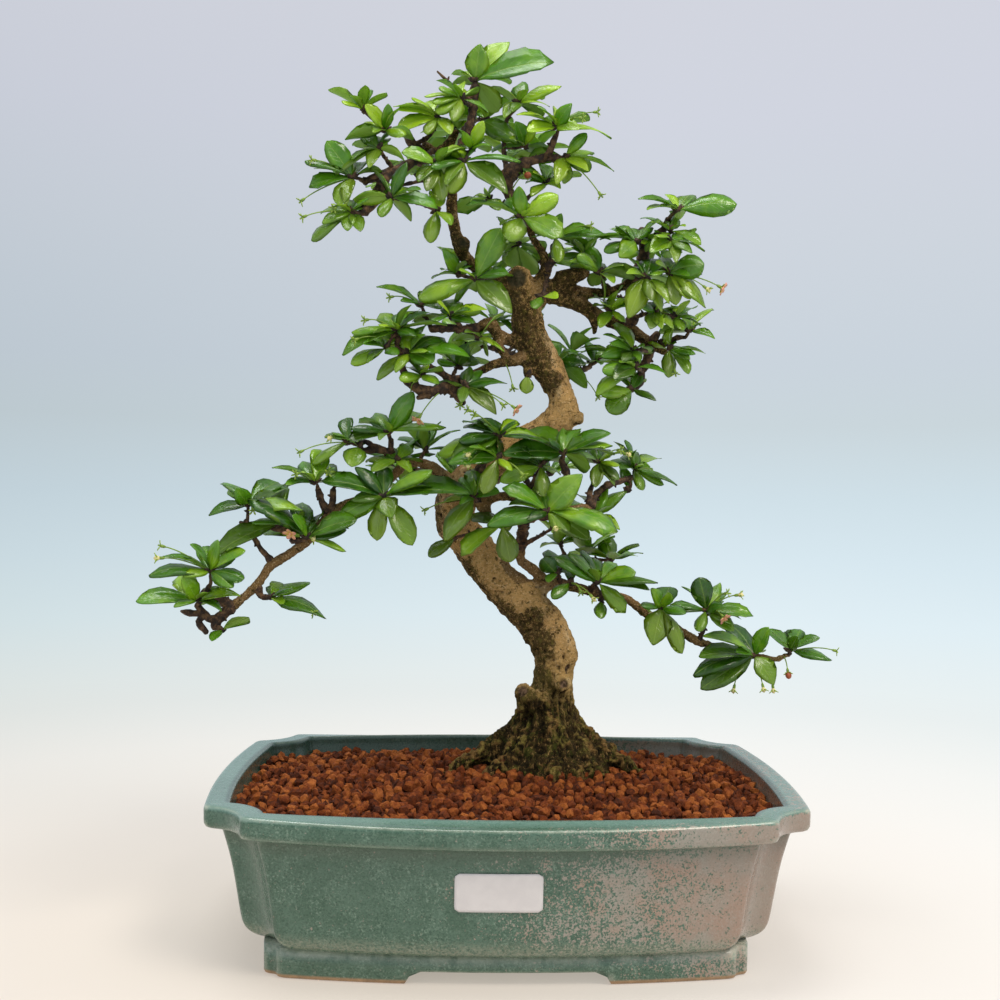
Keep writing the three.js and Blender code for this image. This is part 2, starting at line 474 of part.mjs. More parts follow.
      [[-84, -22, 217.3], 2, [[9, -11, -1, -3, 6], [-2, -11, 7, 2, 5], [5, -11, 6, 3, 5]]],
    ],
  },
  left_knee: {
    wood: [
      [[-100.2, -26.8, 189.2, 2.6], [-105, -28, 194, 2.4], [-118, -28, 197, 1.2]],
      [[-102.7, -27.4, 191.7, 2.1], [-97, -33, 191, 1.3]],
      [[-118, -28, 197, 1.2], [-115, -31, 198, 1]],
      [[-112, -28, 196, 1.1], [-107, -30, 197, 1], [-111, -32, 198, 0.9]],
      [[-106, -28, 194, 1.2], [-100, -30, 196, 0.9]],
    ],
    tufts: [
      [[-96.8, -33.2, 191.2], 2, [[24, -6, 9, 3, 11], [19, -4, 4, 4, 9], [19, -5, -6, 1, 8],
        [-6, -10, 11, 5, 7], [-27, -8, 18, 2, 13]]],
      [[-111, -32, 198], 1, [[-28, -8, -15, 3, 13], [10, 10, -3, 3, 6]]],
      [[-100, -30, 196], 1, [[-22, -6, 3, 2, 9], [2, -11, 9, 3, 6]]],
    ],
    blooms: {
      left_knee: [[-100, -30, 196], [-103.1, -38, 194.8]],
    },
  },
  left_arc: {
    wood: [
      [[-111.3, -29.1, 178.3, 2.4], [-128, -32, 199, 1]],
      [[-125.9, -31.6, 196.4, 1.4], [-124, -34, 206, 1]],
    ],
    tufts: [
      [[-124, -34, 206.3], 2, [[-4, -11, 8, 6, 8], [14, -9, 6, 3, 7], [-18, -3, -5, 3, 8],
        [27, -6, -2, 2, 11], [18, -4, -6, 3, 8], [-10, -10, -1, 2, 6]]],
    ],
    calyces: [[[-124, -34, 207], [-120.4, -42, 204.9]]],
  },
  left_end: {
    wood: [
      [[-131, -33, 159, 3.6], [-139, -35, 149, 2.5]],
      [[-135, -34, 155, 2.9], [-140, -35, 153, 2.6], [-147, -36, 160, 2.1]],
      [[-142.5, -35.4, 155.5, 2.4], [-146, -37, 152, 2.3], [-142, -38, 147, 1.8]],
      [[-144, -35.6, 157, 2.2], [-154, -38, 157, 0.8]],
      [[-130, -33, 159, 3.3], [-144, -38, 166, 1.9]],
      [[-143, -37.6, 165.5, 1.6], [-140, -41, 174, 1.2]],
      [[-147, -36, 159, 1.5], [-146, -39, 161, 1.2]],
      [[-139, -35, 150, 1.4], [-136, -36, 148, 0.9]],
    ],
    tufts: [
      [[-140, -41, 174.4], 1, [[-27, -7, -2, 3, 11], [5, -8, 15, 4, 8], [-8, -8, 13, 3, 7],
        [-21, -6, 7, 1, 9], [17, -4, 10, 4, 8], [17, -8, -3, 4, 8], [-11, -9, -2, 3, 6],
        [12, -9, -7, 6, 7]]],
      [[-146, -39.3, 161.3], 1, [[-27, -7, 0, 3, 11], [-5, -10, 12, 6, 9], [-9, -10, -2, 2, 6],
        [13, -10, -4, -2, 7], [21, -5, 3, 3, 9], [6, -11, 5, 3, 5]]],
      [[-135.7, -36, 148], 0, [[14, -9, 7, -2, 7], [-3, -11, -4, 2, 5]]],
    ],
  },
  left_low_spur: {
    wood: [
      [[-120, -31, 169, 2.6], [-115, -29, 163, 1.5]],
      [[-115, -29, 163, 1.3], [-112, -30, 163, 1.1]],
    ],
    tufts: [
      [[-113, -30, 163], 1, [[11, -10, 5, 2, 6], [27, -7, -9, 2, 12], [7, -11, -2, 3, 5]]],
    ],
    calyces: [[[-112, -30, 163], [-92.3, -38, 156.8]]],
  },
  pad_left: {
    wood: [
      [[-17.8, 7.1, 213.2, 3.5], [-15, -8, 225, 2.7], [-6, -18, 240, 1.9]],
      [[-6, -18, 240, 1.5], [-5, -24, 242, 1.3]],
      [[-15.1, -7.6, 224.7, 2], [-11, -30, 234, 1.2]],
      [[-11, -30, 234, 1.1], [-6, -32, 231, 1]],
    ],
    tufts: [
      [[-5, -24.4, 242], 2, [[-20, -5, -3, 2, 8], [-8, -11, 5, 2, 6], [-24, -7, -13, 4, 11],
        [-30, 8, -9, 3, 13], [7, -10, 7, 4, 6], [20, 3, -1, 2, 8]]],
      [[-6, -32, 231], 1, [[-24, -6, -3, 4, 10], [-7, -5, -17, 4, 9], [-14, -9, 5, 2, 7],
        [6, -11, -6, 3, 5]]],
    ],
  },
  pad_low_left: {
    wood: [
      [[-11.2, -0.9, 210.8, 2], [-17, -22, 211, 1.3]],
    ],
    tufts: [
      [[-17, -22.3, 211.3], 2, [[-18, -4, 7, 3, 8], [-14, -6, -21, 5, 6], [-2, -9, 13, 4, 8],
        [7, -10, 10, 4, 7], [12, -10, 3, 4, 6], [-7, -11, -3, 3, 6]]],
    ],
    calyces: [[[-17, -23, 212], [-40.5, -31, 205.9]]],
  },
  pad_front: {
    wood: [
      [[7, 8, 187, 3.5], [8, -8, 200, 3.2], [19, -24, 203, 2.2]],
      [[7.2, 4.5, 189.8, 1.7], [22, -16, 198, 1]],
      [[19, -24, 203, 1.7], [18, -30, 205, 1.3]],
      [[8, -8, 200, 1.7], [-2, -18, 200, 1.2]],
      [[-2, -18, 200, 1], [-26, -6, 192, 0.8]],
    ],
    tufts: [
      [[18, -30.3, 205.2], 1, [[-29, -7, -7, 5, 11], [20, -6, -13, 5, 10], [12, -7, -12, 4, 9],
        [16, -6, 18, 7, 15], [20, -5, -4, -2, 8], [-22, -6, 11, 3, 10], [-10, -10, -4, 3, 6],
        [33, -9, -9, 3, 14]]],
      [[-2.7, -17.9, 199.6], 1, [[4, -4, -18, 6, 11], [-20, -6, -15, 4, 10]]],
      [[-26, -6, 192], 0, [[-13, -8, -9, 4, 8]]],
    ],
  },
  pad_top: {
    wood: [
      [[25.8, -10.6, 208.5, 2.4], [28, -20, 224, 2.6], [25, -22, 231, 1.9]],
      [[25, -22, 231, 1.6], [26, -25, 233, 1.4]],
    ],
    tufts: [
      [[26, -25.3, 233.3], 1, [[-30, -8, 8, 2, 13], [7, 10, 12, 3, 7], [22, -6, 10, 2, 10],
        [23, -6, 4, 1, 10], [24, -6, 0, 1, 10], [12, -9, -7, -5, 11], [-8, -11, 6, 4, 6],
        [-30, -7, -1, 3, 12], [8, -10, 7, 3, 6]]],
    ],
  },
  pad_mid: {
    wood: [
      [[8, -14, 211, 2], [14, -24, 226, 1.3]],
      [[10, -18, 217, 1.7], [11, 22, 236, 1.3]],
    ],
    tufts: [
      [[14.2, -24.2, 226.3], 2, [[-20, -5, -8, 5, 7], [-18, -6, 0, 3, 8], [9, -10, -4, -2, 6],
        [-10, -10, 8, 3, 7], [1, -8, -15, 4, 7], [-13, -9, 5, 3, 7]]],
      [[11, 22.3, 236.3], 4, [[8, -9, 10, 3, 7], [-15, -9, 2, 2, 7], [16, -7, 3, 3, 7],
        [0, -11, 8, 4, 6]]],
    ],
  },
  pad_right: {
    wood: [
      [[42, 0, 208, 2.7], [53, 14, 220, 2.5], [67, 26, 224, 1.6]],
      [[42, 0, 208, 2.3], [44, 8, 221, 1.4]],
      [[44, 8, 221, 1.3], [47, 10, 230, 1.1]],
      [[67, 26, 224, 1.4], [67, 26, 227, 1.3]],
      [[63, 23, 223, 1.2], [64, 22, 217, 0.9]],
      [[42, 0, 208, 1.7], [44, 1, 205, 1.3]],
    ],
    tufts: [
      [[47, 10, 230.3], 3, [[-3, -10, -13, 5, 5], [-12, -10, 3, 4, 7], [9, -10, -2, 3, 6],
        [9, -9, -9, 2, 6], [7, -9, -12, 2, 7], [5, -11, 5, 3, 5]]],
      [[67, 26, 227.4], 3, [[7, -11, 1, 4, 6], [-9, -11, 0, 3, 6], [3, -11, 2, 4, 5],
        [22, -6, -8, 1, 10], [15, -6, -8, 1, 7], [3, -10, -11, 4, 6], [-6, -8, 15, 2, 7],
        [0, -10, 10, 2, 6]]],
      [[64, 22, 217], 0, [[-17, -1, -11, 3, 8]]],
      [[44.2, 1.2, 204.8], 2, [[11, -9, -7, 3, 6], [-8, -11, -5, 3, 6], [6, -11, 5, 2, 5]]],
    ],
  },
  low_first: {
    wood: [
      [[45, 29, 164, 2.1], [48, 18, 169, 1.4]],
      [[47.1, 21.3, 167.5, 1.4], [50, 23, 160, 1]],
    ],
    tufts: [
      [[48, 17.6, 169], 2, [[-25, -7, 13, 2, 12], [-16, -5, 15, 2, 9], [-20, -5, 6, 3, 8],
        [-5, -11, 8, 4, 6], [19, -5, 6, 4, 8], [30, -8, 1, 1, 12], [26, -7, -3, 1, 11],
        [14, -5, -15, 5, 7], [-18, -4, 6, 2, 8]]],
      [[50, 23, 159.7], 0, [[-1, -11, -8, 5, 7]]],
    ],
  },
  low_start: {
    wood: [
      [[29, 26, 168, 1.8], [26, 12, 174, 1.1]],
      [[27.2, 17.5, 171.7, 1], [33, 12, 169, 0.8]],
    ],
    tufts: [
      [[26, 11.7, 174], 1, [[-8, -10, 8, 6, 9], [-5, -11, -4, 3, 5]]],
      [[33, 12, 169], 0, [[-10, -10, -7, 4, 6]]],
    ],
  },
  low_dark: {
    wood: [
      [[81, 33, 150, 1.8], [82, 23, 155, 1.3]],
    ],
    tufts: [
      [[82, 22.7, 155.3], 1, [[-12, -10, 2, 3, 7], [11, -10, -2, 4, 8], [-5, -5, -19, 7, 15],
        [-7, -10, 11, 5, 8], [2, -11, 9, 5, 5], [10, -7, -23, 2, 10]]],
    ],
  },
  low_tall: {
    wood: [
      [[104, 36, 137, 1.8], [107, 32, 153, 1.4]],
    ],
    tufts: [
      [[107, 31.7, 153.3], 2, [[-5, -5, 18, 7, 13], [-20, -4, 3, 2, 8], [-18, -7, 0, 2, 8],
        [7, -11, 4, 4, 7], [24, -6, -2, 2, 10], [18, -4, -4, 2, 7], [14, -7, -7, 5, 5],
        [14, -5, -10, 4, 7], [-6, -10, -10, 3, 6]]],
    ],
    blooms: {
      low_branch: [[107, 31, 154], [114.4, 23, 151.6]],
    },
    calyces: [[[107, 31, 154], [116.3, 23, 164.1]]],
  },
  low_toothed: {
    wood: [
      [[131, 41, 130, 1.5], [134, 37, 129, 1.4]],
    ],
    tufts: [
      [[134, 36.7, 129.3], 2, [[-29, -7, 11, 2, 13], [6, -7, 16, 6, 9], [-31, -7, 0, 3, 13],
        [-30, -8, -17, 5, 13], [-34, -8, -10, 2, 15], [10, -4, -15, 7, 14], [-12, -10, 3, 3, 7]]],
    ],
  },
  low_tip: {
    wood: [
      [[153.6, 43.9, 129.8, 1.5], [155, 43, 131, 1.3]],
    ],
    tufts: [
      [[155, 42.7, 131.3], 2, [[-12, -9, 11, 4, 7], [1, -11, 9, 5, 7], [14, -7, 8, 3, 7],
        [21, -6, -4, 2, 9]]],
    ],
    calyces: [[[155, 42, 132], [177.4, 34, 133.2]]],
  },
  behind_mid: {
    wood: [
      [[15, 8, 286, 3], [7, 44, 288, 2.5], [-5, 68, 294, 1.9], [-19, 80, 298, 1.6]],
      [[-5, 68, 294, 1.7], [-6, 76, 309, 1.1]],
      [[-13, 75, 296, 1.5], [-29, 70, 287, 1.1]],
      [[1, 56, 291, 1.6], [8, 66, 299, 1.1]],
      [[-19, 80, 298, 0.8], [-21.3, 83.5, 299.2, 0.7]],
    ],
    tufts: [
      [[-21, 83, 299], 8, []],
      [[-6, 76, 309.3], 7, []],
      [[-29, 70, 287], 7, []],
      [[8, 66, 299], 6, []],
    ],
  },
  behind_low: {
    wood: [
      [[-24.6, 13.6, 211.2, 3.6], [-13, 56, 216, 2.7], [8, 96, 229, 1.6]],
      [[-0.8, 79.2, 223.5, 1.7], [-9, 92, 232, 1.1]],
      [[4.2, 88.7, 226.6, 1.6], [28, 86, 226, 1.1]],
      [[-14, 54, 216, 1.8], [-25, 73, 221, 1.1]],
      [[8, 96, 229, 0.8], [11.4, 99.4, 231.3, 0.7]],
    ],
    tufts: [
      [[11, 99, 231], 8, []],
      [[-9, 92, 232], 7, []],
      [[28, 86, 226], 7, []],
      [[-25.2, 73.2, 221.2], 7, []],
    ],
  },
  behind_left: {
    wood: [
      [[-34, 6, 223, 2], [-45, 36, 226, 1.8], [-56, 52, 228, 1.5]],
      [[-49.6, 42.6, 226.8, 1.5], [-43, 50, 237, 1.1]],
      [[-52.4, 46.8, 227.3, 1.4], [-54, 46, 217, 1.1]],
      [[-56, 52, 228, 0.8], [-59.4, 55.4, 229.1, 0.7]],
    ],
    tufts: [
      [[-59, 55, 229], 7, []],
      [[-43, 50, 237], 7, []],
      [[-54, 46, 217], 6, []],
    ],
  },
  behind_low_right: {
    wood: [
      [[21, 26, 167, 2.6], [32, 62, 173, 2.2], [47, 84, 180, 1.7]],
      [[38, 72, 176, 1.7], [33, 82, 186, 1.1]],
      [[44, 80, 179, 1.6], [62, 76, 178, 1.1]],
      [[47, 84, 180, 0.8], [50.4, 87.4, 181.1, 0.7]],
    ],
    tufts: [
      [[50, 87, 181], 8, []],
      [[33, 82, 186], 7, []],
      [[62, 76, 178], 7, []],
    ],
  },
};
const bark = new THREE.MeshStandardMaterial({ color: '#a38a68', roughness: 0.9, metalness: 0 });
const foliage = new THREE.MeshStandardMaterial({ color: '#4f8a24', roughness: 0.4, metalness: 0 });
const glaze = new THREE.MeshStandardMaterial({ color: '#5c8373', roughness: 0.25, metalness: 0 });
const granules = new THREE.MeshStandardMaterial({ color: '#8a4a2c', roughness: 1, metalness: 0 });
const petal = new THREE.MeshStandardMaterial({ color: '#f0b4a4', roughness: 0.5, metalness: 0 });
const blackPlastic = new THREE.MeshStandardMaterial({ color: '#202220', roughness: 0.6, metalness: 0 });
const paper = new THREE.MeshStandardMaterial({ color: '#f1f0ee', roughness: 0.7, metalness: 0 });

// A repeatable draw between 0 and 1 for a leaf's number and a purpose.
function draw(index, purpose) {
  const value = Math.sin(index * 12.9898 + purpose * 78.233 + SEED) * 43758.5453;
  return value - Math.floor(value);
}

function toSolid(geometry) {
  geometry.deleteAttribute('normal');
  geometry.deleteAttribute('uv');
  const merged = mergeVertices(geometry, 1e-4);
  const mesh = new wasm.Mesh({
    numProp: 3,
    vertProperties: new Float32Array(merged.attributes.position.array),
    triVerts: new Uint32Array(merged.index.array),
  });
  return new wasm.Manifold(mesh);
}

function toMesh(solid, name, material) {
  const source = solid.getMesh();
  const geometry = new THREE.BufferGeometry();
  geometry.setAttribute('position', new THREE.BufferAttribute(source.vertProperties, source.numProp));
  geometry.setIndex(new THREE.BufferAttribute(source.triVerts, 1));
  geometry.computeVertexNormals();
  const mesh = new THREE.Mesh(geometry, material);
  mesh.name = name;
  return mesh;
}

function union(solids) {
  return wasm.Manifold.union(solids);
}

// The largest of the pieces that a solid falls into, so that no loose scrap stays.
function largest(solid) {
  const pieces = solid.decompose();
  pieces.sort((a, b) => b.volume() - a.volume());
  return pieces[0];
}

// A closed round limb along a route of [x, y, z, radius], swollen by grow all round. The shape
// function can move a ring's points in and out: it takes the ring number and the angle.
function limb(route, sides, grow = 0, shape = () => 1) {
  const rings = route.map(([x, y, z]) => new THREE.Vector3(x, y, z));
  const last = rings.length - 1;
  const tangents = rings.map((p, i) => {
    const ahead = rings[Math.min(i + 1, last)];
    const behind = rings[Math.max(i - 1, 0)];
    return ahead.clone().sub(behind).normalize();
  });
  rings[0].addScaledVector(tangents[0], -grow);
  rings[last].addScaledVector(tangents[last], grow);
  const side = new THREE.Vector3(0, 1, 0);
  if (Math.abs(tangents[0].y) > 0.9) side.set(1, 0, 0);
  const frames = tangents.map((tangent) => {
    side.addScaledVector(tangent, -side.dot(tangent)).normalize();
    return { u: side.clone(), v: tangent.clone().cross(side) };
  });
  const geometry = new THREE.CylinderGeometry(1, 1, 1, sides, last);
  const position = geometry.attributes.position;
  for (let i = 0; i < position.count; i += 1) {
    const ring = Math.round((0.5 - position.getY(i)) * last);
    const angle = Math.atan2(position.getX(i), position.getZ(i));
    const onAxis = Math.hypot(position.getX(i), position.getZ(i)) < 0.5;
    const radius = onAxis ? 0 : (route[ring][3] + grow) * shape(ring, angle);
    const { u, v } = frames[ring];
    const point = rings[ring].clone();
    point.addScaledVector(u, radius * Math.cos(angle));
    point.addScaledVector(v, -radius * Math.sin(angle));
    position.setXYZ(i, point.x, point.y, point.z);
  }
  return toSolid(geometry);
}

// Leaf outlines: share of the length, of the half width and of the bulge.
const BLUNT_OUTLINE = [[0, 0, 0], [0.62, 1, 1], [1, 0.45, 0.1], [1, -0.45, 0.1], [0.62, -1, 1]];
const TOOTHED_OUTLINE = [
  [0, 0, 0], [0.62, 1, 1], [1, 0.5, 0.1], [0.9, 0, 0.3], [1, -0.5, 0.1], [0.62, -1, 1],
];

// A closed blade from its tuft: a narrow foot, two shoulders, a blunt or toothed end and a raised
// or sunken midrib. Fat grows it all round, for testing its clearance.
function leaf(root, reach, face, width, index, fat = 0) {
  const along = new THREE.Vector3(...reach);
  const length = along.length() + fat;
  along.normalize();
  const turn = THREE.MathUtils.degToRad(face * 10 + 24 * (draw(index, 1) - 0.5));
  const normal = new THREE.Vector3(0.35 * (draw(index, 2) - 0.5), -Math.sin(turn), Math.cos(turn));
  normal.addScaledVector(along, -normal.dot(along));
  if (normal.length() < 0.2) normal.set(0.3, -1, 0.3).addScaledVector(along, -along.dot(normal));
  normal.normalize();
  const across = along.clone().cross(normal);
  const half = width / 2 + fat;
  const bulge = length * (0.09 + 0.1 * draw(index, 3));
  const fold = half * (0.45 * draw(index, 4) - 0.12);
  const toothed = draw(index, 5) > 0.65 && length > TOOTHED_LENGTH;
  const outline = toothed ? TOOTHED_OUTLINE : BLUNT_OUTLINE;
  const thick = BLADE + 2 * fat;
  const place = (s, t, b, lift) => new THREE.Vector3(...root)
    .addScaledVector(along, s * length)
    .addScaledVector(across, t * half)
    .addScaledVector(normal, b * bulge + Math.abs(t) * fold + lift);
  const points = [];
  for (const lift of [thick / 2, -thick / 2]) {
    for (const [s, t, b] of outline) points.push(place(s, t, b, lift));
    points.push(place(0.6, 0, 1, lift));
  }
  const rim = outline.length;
  const rib = rim;
  const under = rim + 1;
  const faces = [];
  for (let i = 0; i < rim; i += 1) {
    const j = (i + 1) % rim;
    faces.push(rib, i, j, under + rib, under + j, under + i);
    faces.push(i, under + i, j, j, under + i, under + j);
  }
  const geometry = new THREE.BufferGeometry().setFromPoints(points);
  geometry.setIndex(faces);
  return toSolid(geometry);
}

// Where a stalk bends, where its calyx begins and the calyx's mouth.
function stalkPath([base, mouth]) {
  const foot = new THREE.Vector3(...base);
  const head = new THREE.Vector3(...mouth);
  const bend = foot.clone().lerp(head, 0.55).add(new THREE.Vector3(0, 0, STALK_ARCH));
  const axis = head.clone().sub(bend).normalize();
  return { foot, bend, neck: head.clone().addScaledVector(axis, -CALYX_LENGTH), head, axis };
}

// A flower stalk with the calyx at its end.
function stalk(ends) {
  const { foot, bend, neck, head } = stalkPath(ends);
  const thin = [foot, bend, neck].map((p) => [p.x, p.y, p.z, STALK]);
  return limb([...thin, [head.x, head.y, head.z, CALYX_RADIUS]], 3);
}

// Five petals in one dished star that stands on a calyx's mouth.
function corolla(ends) {
  const { head, axis } = stalkPath(ends);
  const across = new THREE.Vector3(0, 0, 1).cross(axis).normalize();
  const up = axis.clone().cross(across);
  const points = [];
  for (const lift of [GAP + BLADE, GAP]) {
    for (let i = 0; i < 10; i += 1) {
      const radius = COROLLA_RADIUS * (i % 2 === 0 ? 1 : 0.42);
      const angle = i * Math.PI / 5;
      points.push(head.clone().addScaledVector(axis, lift + 0.25 * radius)
        .addScaledVector(across, radius * Math.cos(angle))
        .addScaledVector(up, radius * Math.sin(angle)));
    }
    points.push(head.clone().addScaledVector(axis, lift));
  }
  const faces = [];
  for (let i = 0; i < 10; i += 1) {
    const j = (i + 1) % 10;
    faces.push(10, i, j, 21, 11 + j, 11 + i);
    faces.push(i, 11 + i, j, j, 11 + i, 11 + j);
  }
  const geometry = new THREE.BufferGeometry().setFromPoints(points);
  geometry.setIndex(faces);
  return toSolid(geometry);
}

// The leaves that a rule adds at a tuft: count of them turned away from the viewer, or all round.
function whorl(count, around, index) {
  const reaches = [];
  for (let k = 0; k < count; k += 1) {
    const number = index + k;
    const spread = 140 / Math.max(count, 1);
    const azimuth = around ? k * 137.5 + 40 * draw(index, 6) : 90 + (k - (count - 1) / 2) * spread;
    const heading = THREE.MathUtils.degToRad(azimuth + 24 * (draw(number, 7) - 0.5));
    const rise = THREE.MathUtils.degToRad(-12 + 62 * draw(number, 8));
    const length = 17 + 8 * draw(number, 9);
    reaches.push([
      length * Math.cos(rise) * Math.cos(heading),
      length * Math.cos(rise) * Math.sin(heading),
      length * Math.sin(rise),
      around ? 0 : -2,
      length * 0.46,
    ]);
  }
  return reaches;
}

function soilLevel(x, y) {
  const rho = Math.min((x / 122) ** 4 + (y / 90) ** 4, 1);
  const near = ((x - BASE.x) ** 2 + (y - BASE.y) ** 2) / (2 * MOUND_SPREAD ** 2);
  return SOIL_EDGE + SOIL_CROWN * (1 - rho) + MOUND * Math.exp(-near);
}

// Pot

// One quarter of a plan, from the middle of a long side to the middle of a short one. Its long side
// ends at cornerX, its short side at cornerY.
function quarterPlan(cornerX, cornerY) {
  const points = [];
  for (const s of [0, 0.5]) {
    points.push([cornerX * s, SIDE_HALF + SIDE_BOW * (1 - s * s)]);
  }
  points.push([cornerX - 1, SIDE_HALF + 0.3]);
  const notch = new THREE.QuadraticBezierCurve(
    new THREE.Vector2(cornerX, SIDE_HALF - 1.2),
    new THREE.Vector2(cornerX + (END_HALF - cornerX) / 4, cornerY + (SIDE_HALF - cornerY) / 4),
    new THREE.Vector2(END_HALF - 1.2, cornerY),
  );
  for (const p of notch.getPoints(2)) points.push([p.x, p.y]);
  for (const t of [0.98, 0.5]) points.push([END_HALF + END_BOW * (1 - t * t), cornerY * t]);
  return points;
}

function planShape(cornerX, cornerY) {
  const quarter = quarterPlan(cornerX, cornerY);
  const back = quarter.slice(1).reverse().map(([x, y]) => [x, -y]);
  const right = [...quarter, [END_HALF + END_BOW, 0], ...back];
  const left = right.slice(1, -1).reverse().map(([x, y]) => [-x, y]);
  const middle = [[0, -(SIDE_HALF + SIDE_BOW)]];
  const points = [...right, ...middle, ...left].map(([x, y]) => new THREE.Vector2(x, y));
  return new THREE.Shape(points);
}

// A stack of the plan's outline through rings of [z, inset of the ends, inset of the sides].
function loft(rings, sag = false, plan = planShape(NOTCH_X, NOTCH_Y)) {
  const steps = rings.length - 1;
  const geometry = new THREE.ExtrudeGeometry(plan, { depth: steps, steps, bevelEnabled: false });
  const position = geometry.attributes.position;
  for (let i = 0; i < position.count; i += 1) {
    const [z, endInset, sideInset] = rings[Math.round(position.getZ(i))];
    const x = position.getX(i) * (END_HALF - endInset) / END_HALF;
    const y = position.getY(i) * (SIDE_HALF - sideInset) / SIDE_HALF;
    const share = Math.min(Math.abs(x) / NOTCH_X, 1);
    const dip = sag ? RIM_SAG * (1 - share * share) * (z / POT_HEIGHT) ** 3 : 0;
    position.setXYZ(i, x, y, z - dip);
  }
  return toSolid(geometry);
}

// The sides taper less than the ends below the lip.
function sideInset(endInset) {
  return endInset < LIP_INSET ? endInset : LIP_INSET + (endInset - LIP_INSET) * 0.52;
}

function bodyRings() {
  const rings = [
    [FLOOR_UNDERSIDE, 27.5], [14.5, 22], [18.5, 17.2], [42, 12.5], [63.5, LIP_INSET], [65, 1],
    [POT_HEIGHT, 0],
  ];
  return rings.map(([z, inset]) => [z, inset, sideInset(inset)]);
}

// The outside of the pot above its feet, grown all round.
function body(grow = 0) {
  return loft(bodyRings().map(([z, end, side]) => [z, end - grow, side - grow]), true);
}

// The inside, drawn in by clearance all round.
function cavity(top, clearance = 0) {
  const rings = [[FLOOR_TOP, 27.5], [27, 24], [60, 15.5], [70, LIP_WIDTH], [top, LIP_WIDTH]];
  return loft(rings.map(([z, inset], i) => {
    const lift = i === 0 ? clearance : 0;
    return [z + lift, inset + clearance, sideInset(inset) + clearance];
  }));
}

function footRing() {
  const plan = planShape(FOOT_NOTCH_X, FOOT_NOTCH_Y);
  const ring = (z, inset) => [z, FOOT_INSET + inset, FOOT_SIDE_INSET + inset];
  const outside = loft([ring(0, 0.6), ring(1, 0), ring(FLOOR_UNDERSIDE + 1, 0)], false, plan);
  const inside = loft([ring(-1, FOOT_WIDTH), ring(FLOOR_UNDERSIDE, FOOT_WIDTH)], false, plan);
  return outside.subtract(inside);
}

function archCut(half, length) {
  const shape = new THREE.Shape([
    new THREE.Vector2(-half, -1), new THREE.Vector2(half, -1),
    new THREE.Vector2(half - ARCH_SLOPE, ARCH_HEIGHT), new THREE.Vector2(-half + ARCH_SLOPE, ARCH_HEIGHT),
  ]);
  const geometry = new THREE.ExtrudeGeometry(shape, { depth: length, bevelEnabled: false });
  geometry.translate(0, 0, -length / 2);
  geometry.rotateX(Math.PI / 2);
  return geometry;
}

function drainHole(x) {
  const hole = new THREE.CylinderGeometry(HOLE_RADIUS, HOLE_RADIUS, 3 * FLOOR_TOP, 14);
  hole.rotateX(Math.PI / 2);
  hole.translate(x, 0, 0);
  return toSolid(hole);
}

function pot() {
  const across = archCut(ARCH_X, 3 * SIDE_HALF);
  const along = archCut(ARCH_Y, 3 * END_HALF).rotateZ(Math.PI / 2);
  const outside = union([body(), footRing()]);
  const cuts = union([cavity(POT_HEIGHT + 5), toSolid(across), toSolid(along), drainHole(-HOLE_X),
    drainHole(HOLE_X)]);
  return outside.subtract(cuts);
}

// A square of plastic net over a drainage hole.
function drainScreen(x) {
  const half = SCREEN_SIZE / 2;
  const cell = SCREEN_SIZE / 4;
  const plate = new THREE.BoxGeometry(SCREEN_SIZE, SCREEN_SIZE, SCREEN_THICK);
  const holes = [];
  for (let i = 0; i < 3; i += 1) {
    for (let j = 0; j < 3; j += 1) {
      const hole = new THREE.BoxGeometry(cell * 0.7, cell * 0.7, 3 * SCREEN_THICK);
      hole.translate(-half + cell * (i + 1), -half + cell * (j + 1), 0);
      holes.push(toSolid(hole));
    }
  }
  const net = toSolid(plate).subtract(union(holes));
  return net.translate([x, 0, FLOOR_TOP + GAP + SCREEN_THICK / 2]);
}

function screenRoom(x) {
  const size = SCREEN_SIZE + 2 * GAP;
  const room = new THREE.BoxGeometry(size, size, 2 * (SCREEN_THICK + 2 * GAP));
  room.translate(x, 0, FLOOR_TOP);
  return toSolid(room);
}

// The bed of granules: the pot's inside under a surface of grains, hollow where the trunk stands.
function soil(trunkRoom) {
  const nx = Math.round(2 * END_HALF / GRAIN);
  const ny = Math.round(2 * SIDE_HALF / GRAIN);
  const block = new THREE.BoxGeometry(2 * END_HALF, 2 * SIDE_HALF + 2 * SIDE_BOW, 1, nx, ny, 1);
  const position = block.attributes.position;
  for (let i = 0; i < position.count; i += 1) {
    const x = position.getX(i);
    const y = position.getY(i);
    const cell = Math.round(x / GRAIN) * 7 + Math.round(y / GRAIN) * 13;
    const grain = GRAIN_RELIEF * (draw(cell, 11) - 0.5);
    const shift = position.getZ(i) > 0 ? GRAIN * 0.5 : 0;
    const edge = Math.abs(x) > END_HALF - 1 || Math.abs(y) > SIDE_HALF + SIDE_BOW - 1;
    const dx = edge ? 0 : shift * (draw(cell, 12) - 0.5);
    const dy = edge ? 0 : shift * (draw(cell, 13) - 0.5);
    position.setXYZ(i, x + dx, y + dy, shift > 0 ? soilLevel(x, y) + grain : 0);
  }
  const bed = toSolid(block).intersect(cavity(POT_HEIGHT + 5, GAP));
  return largest(bed.subtract(union([trunkRoom, screenRoom(-HOLE_X), screenRoom(HOLE_X)])));
}

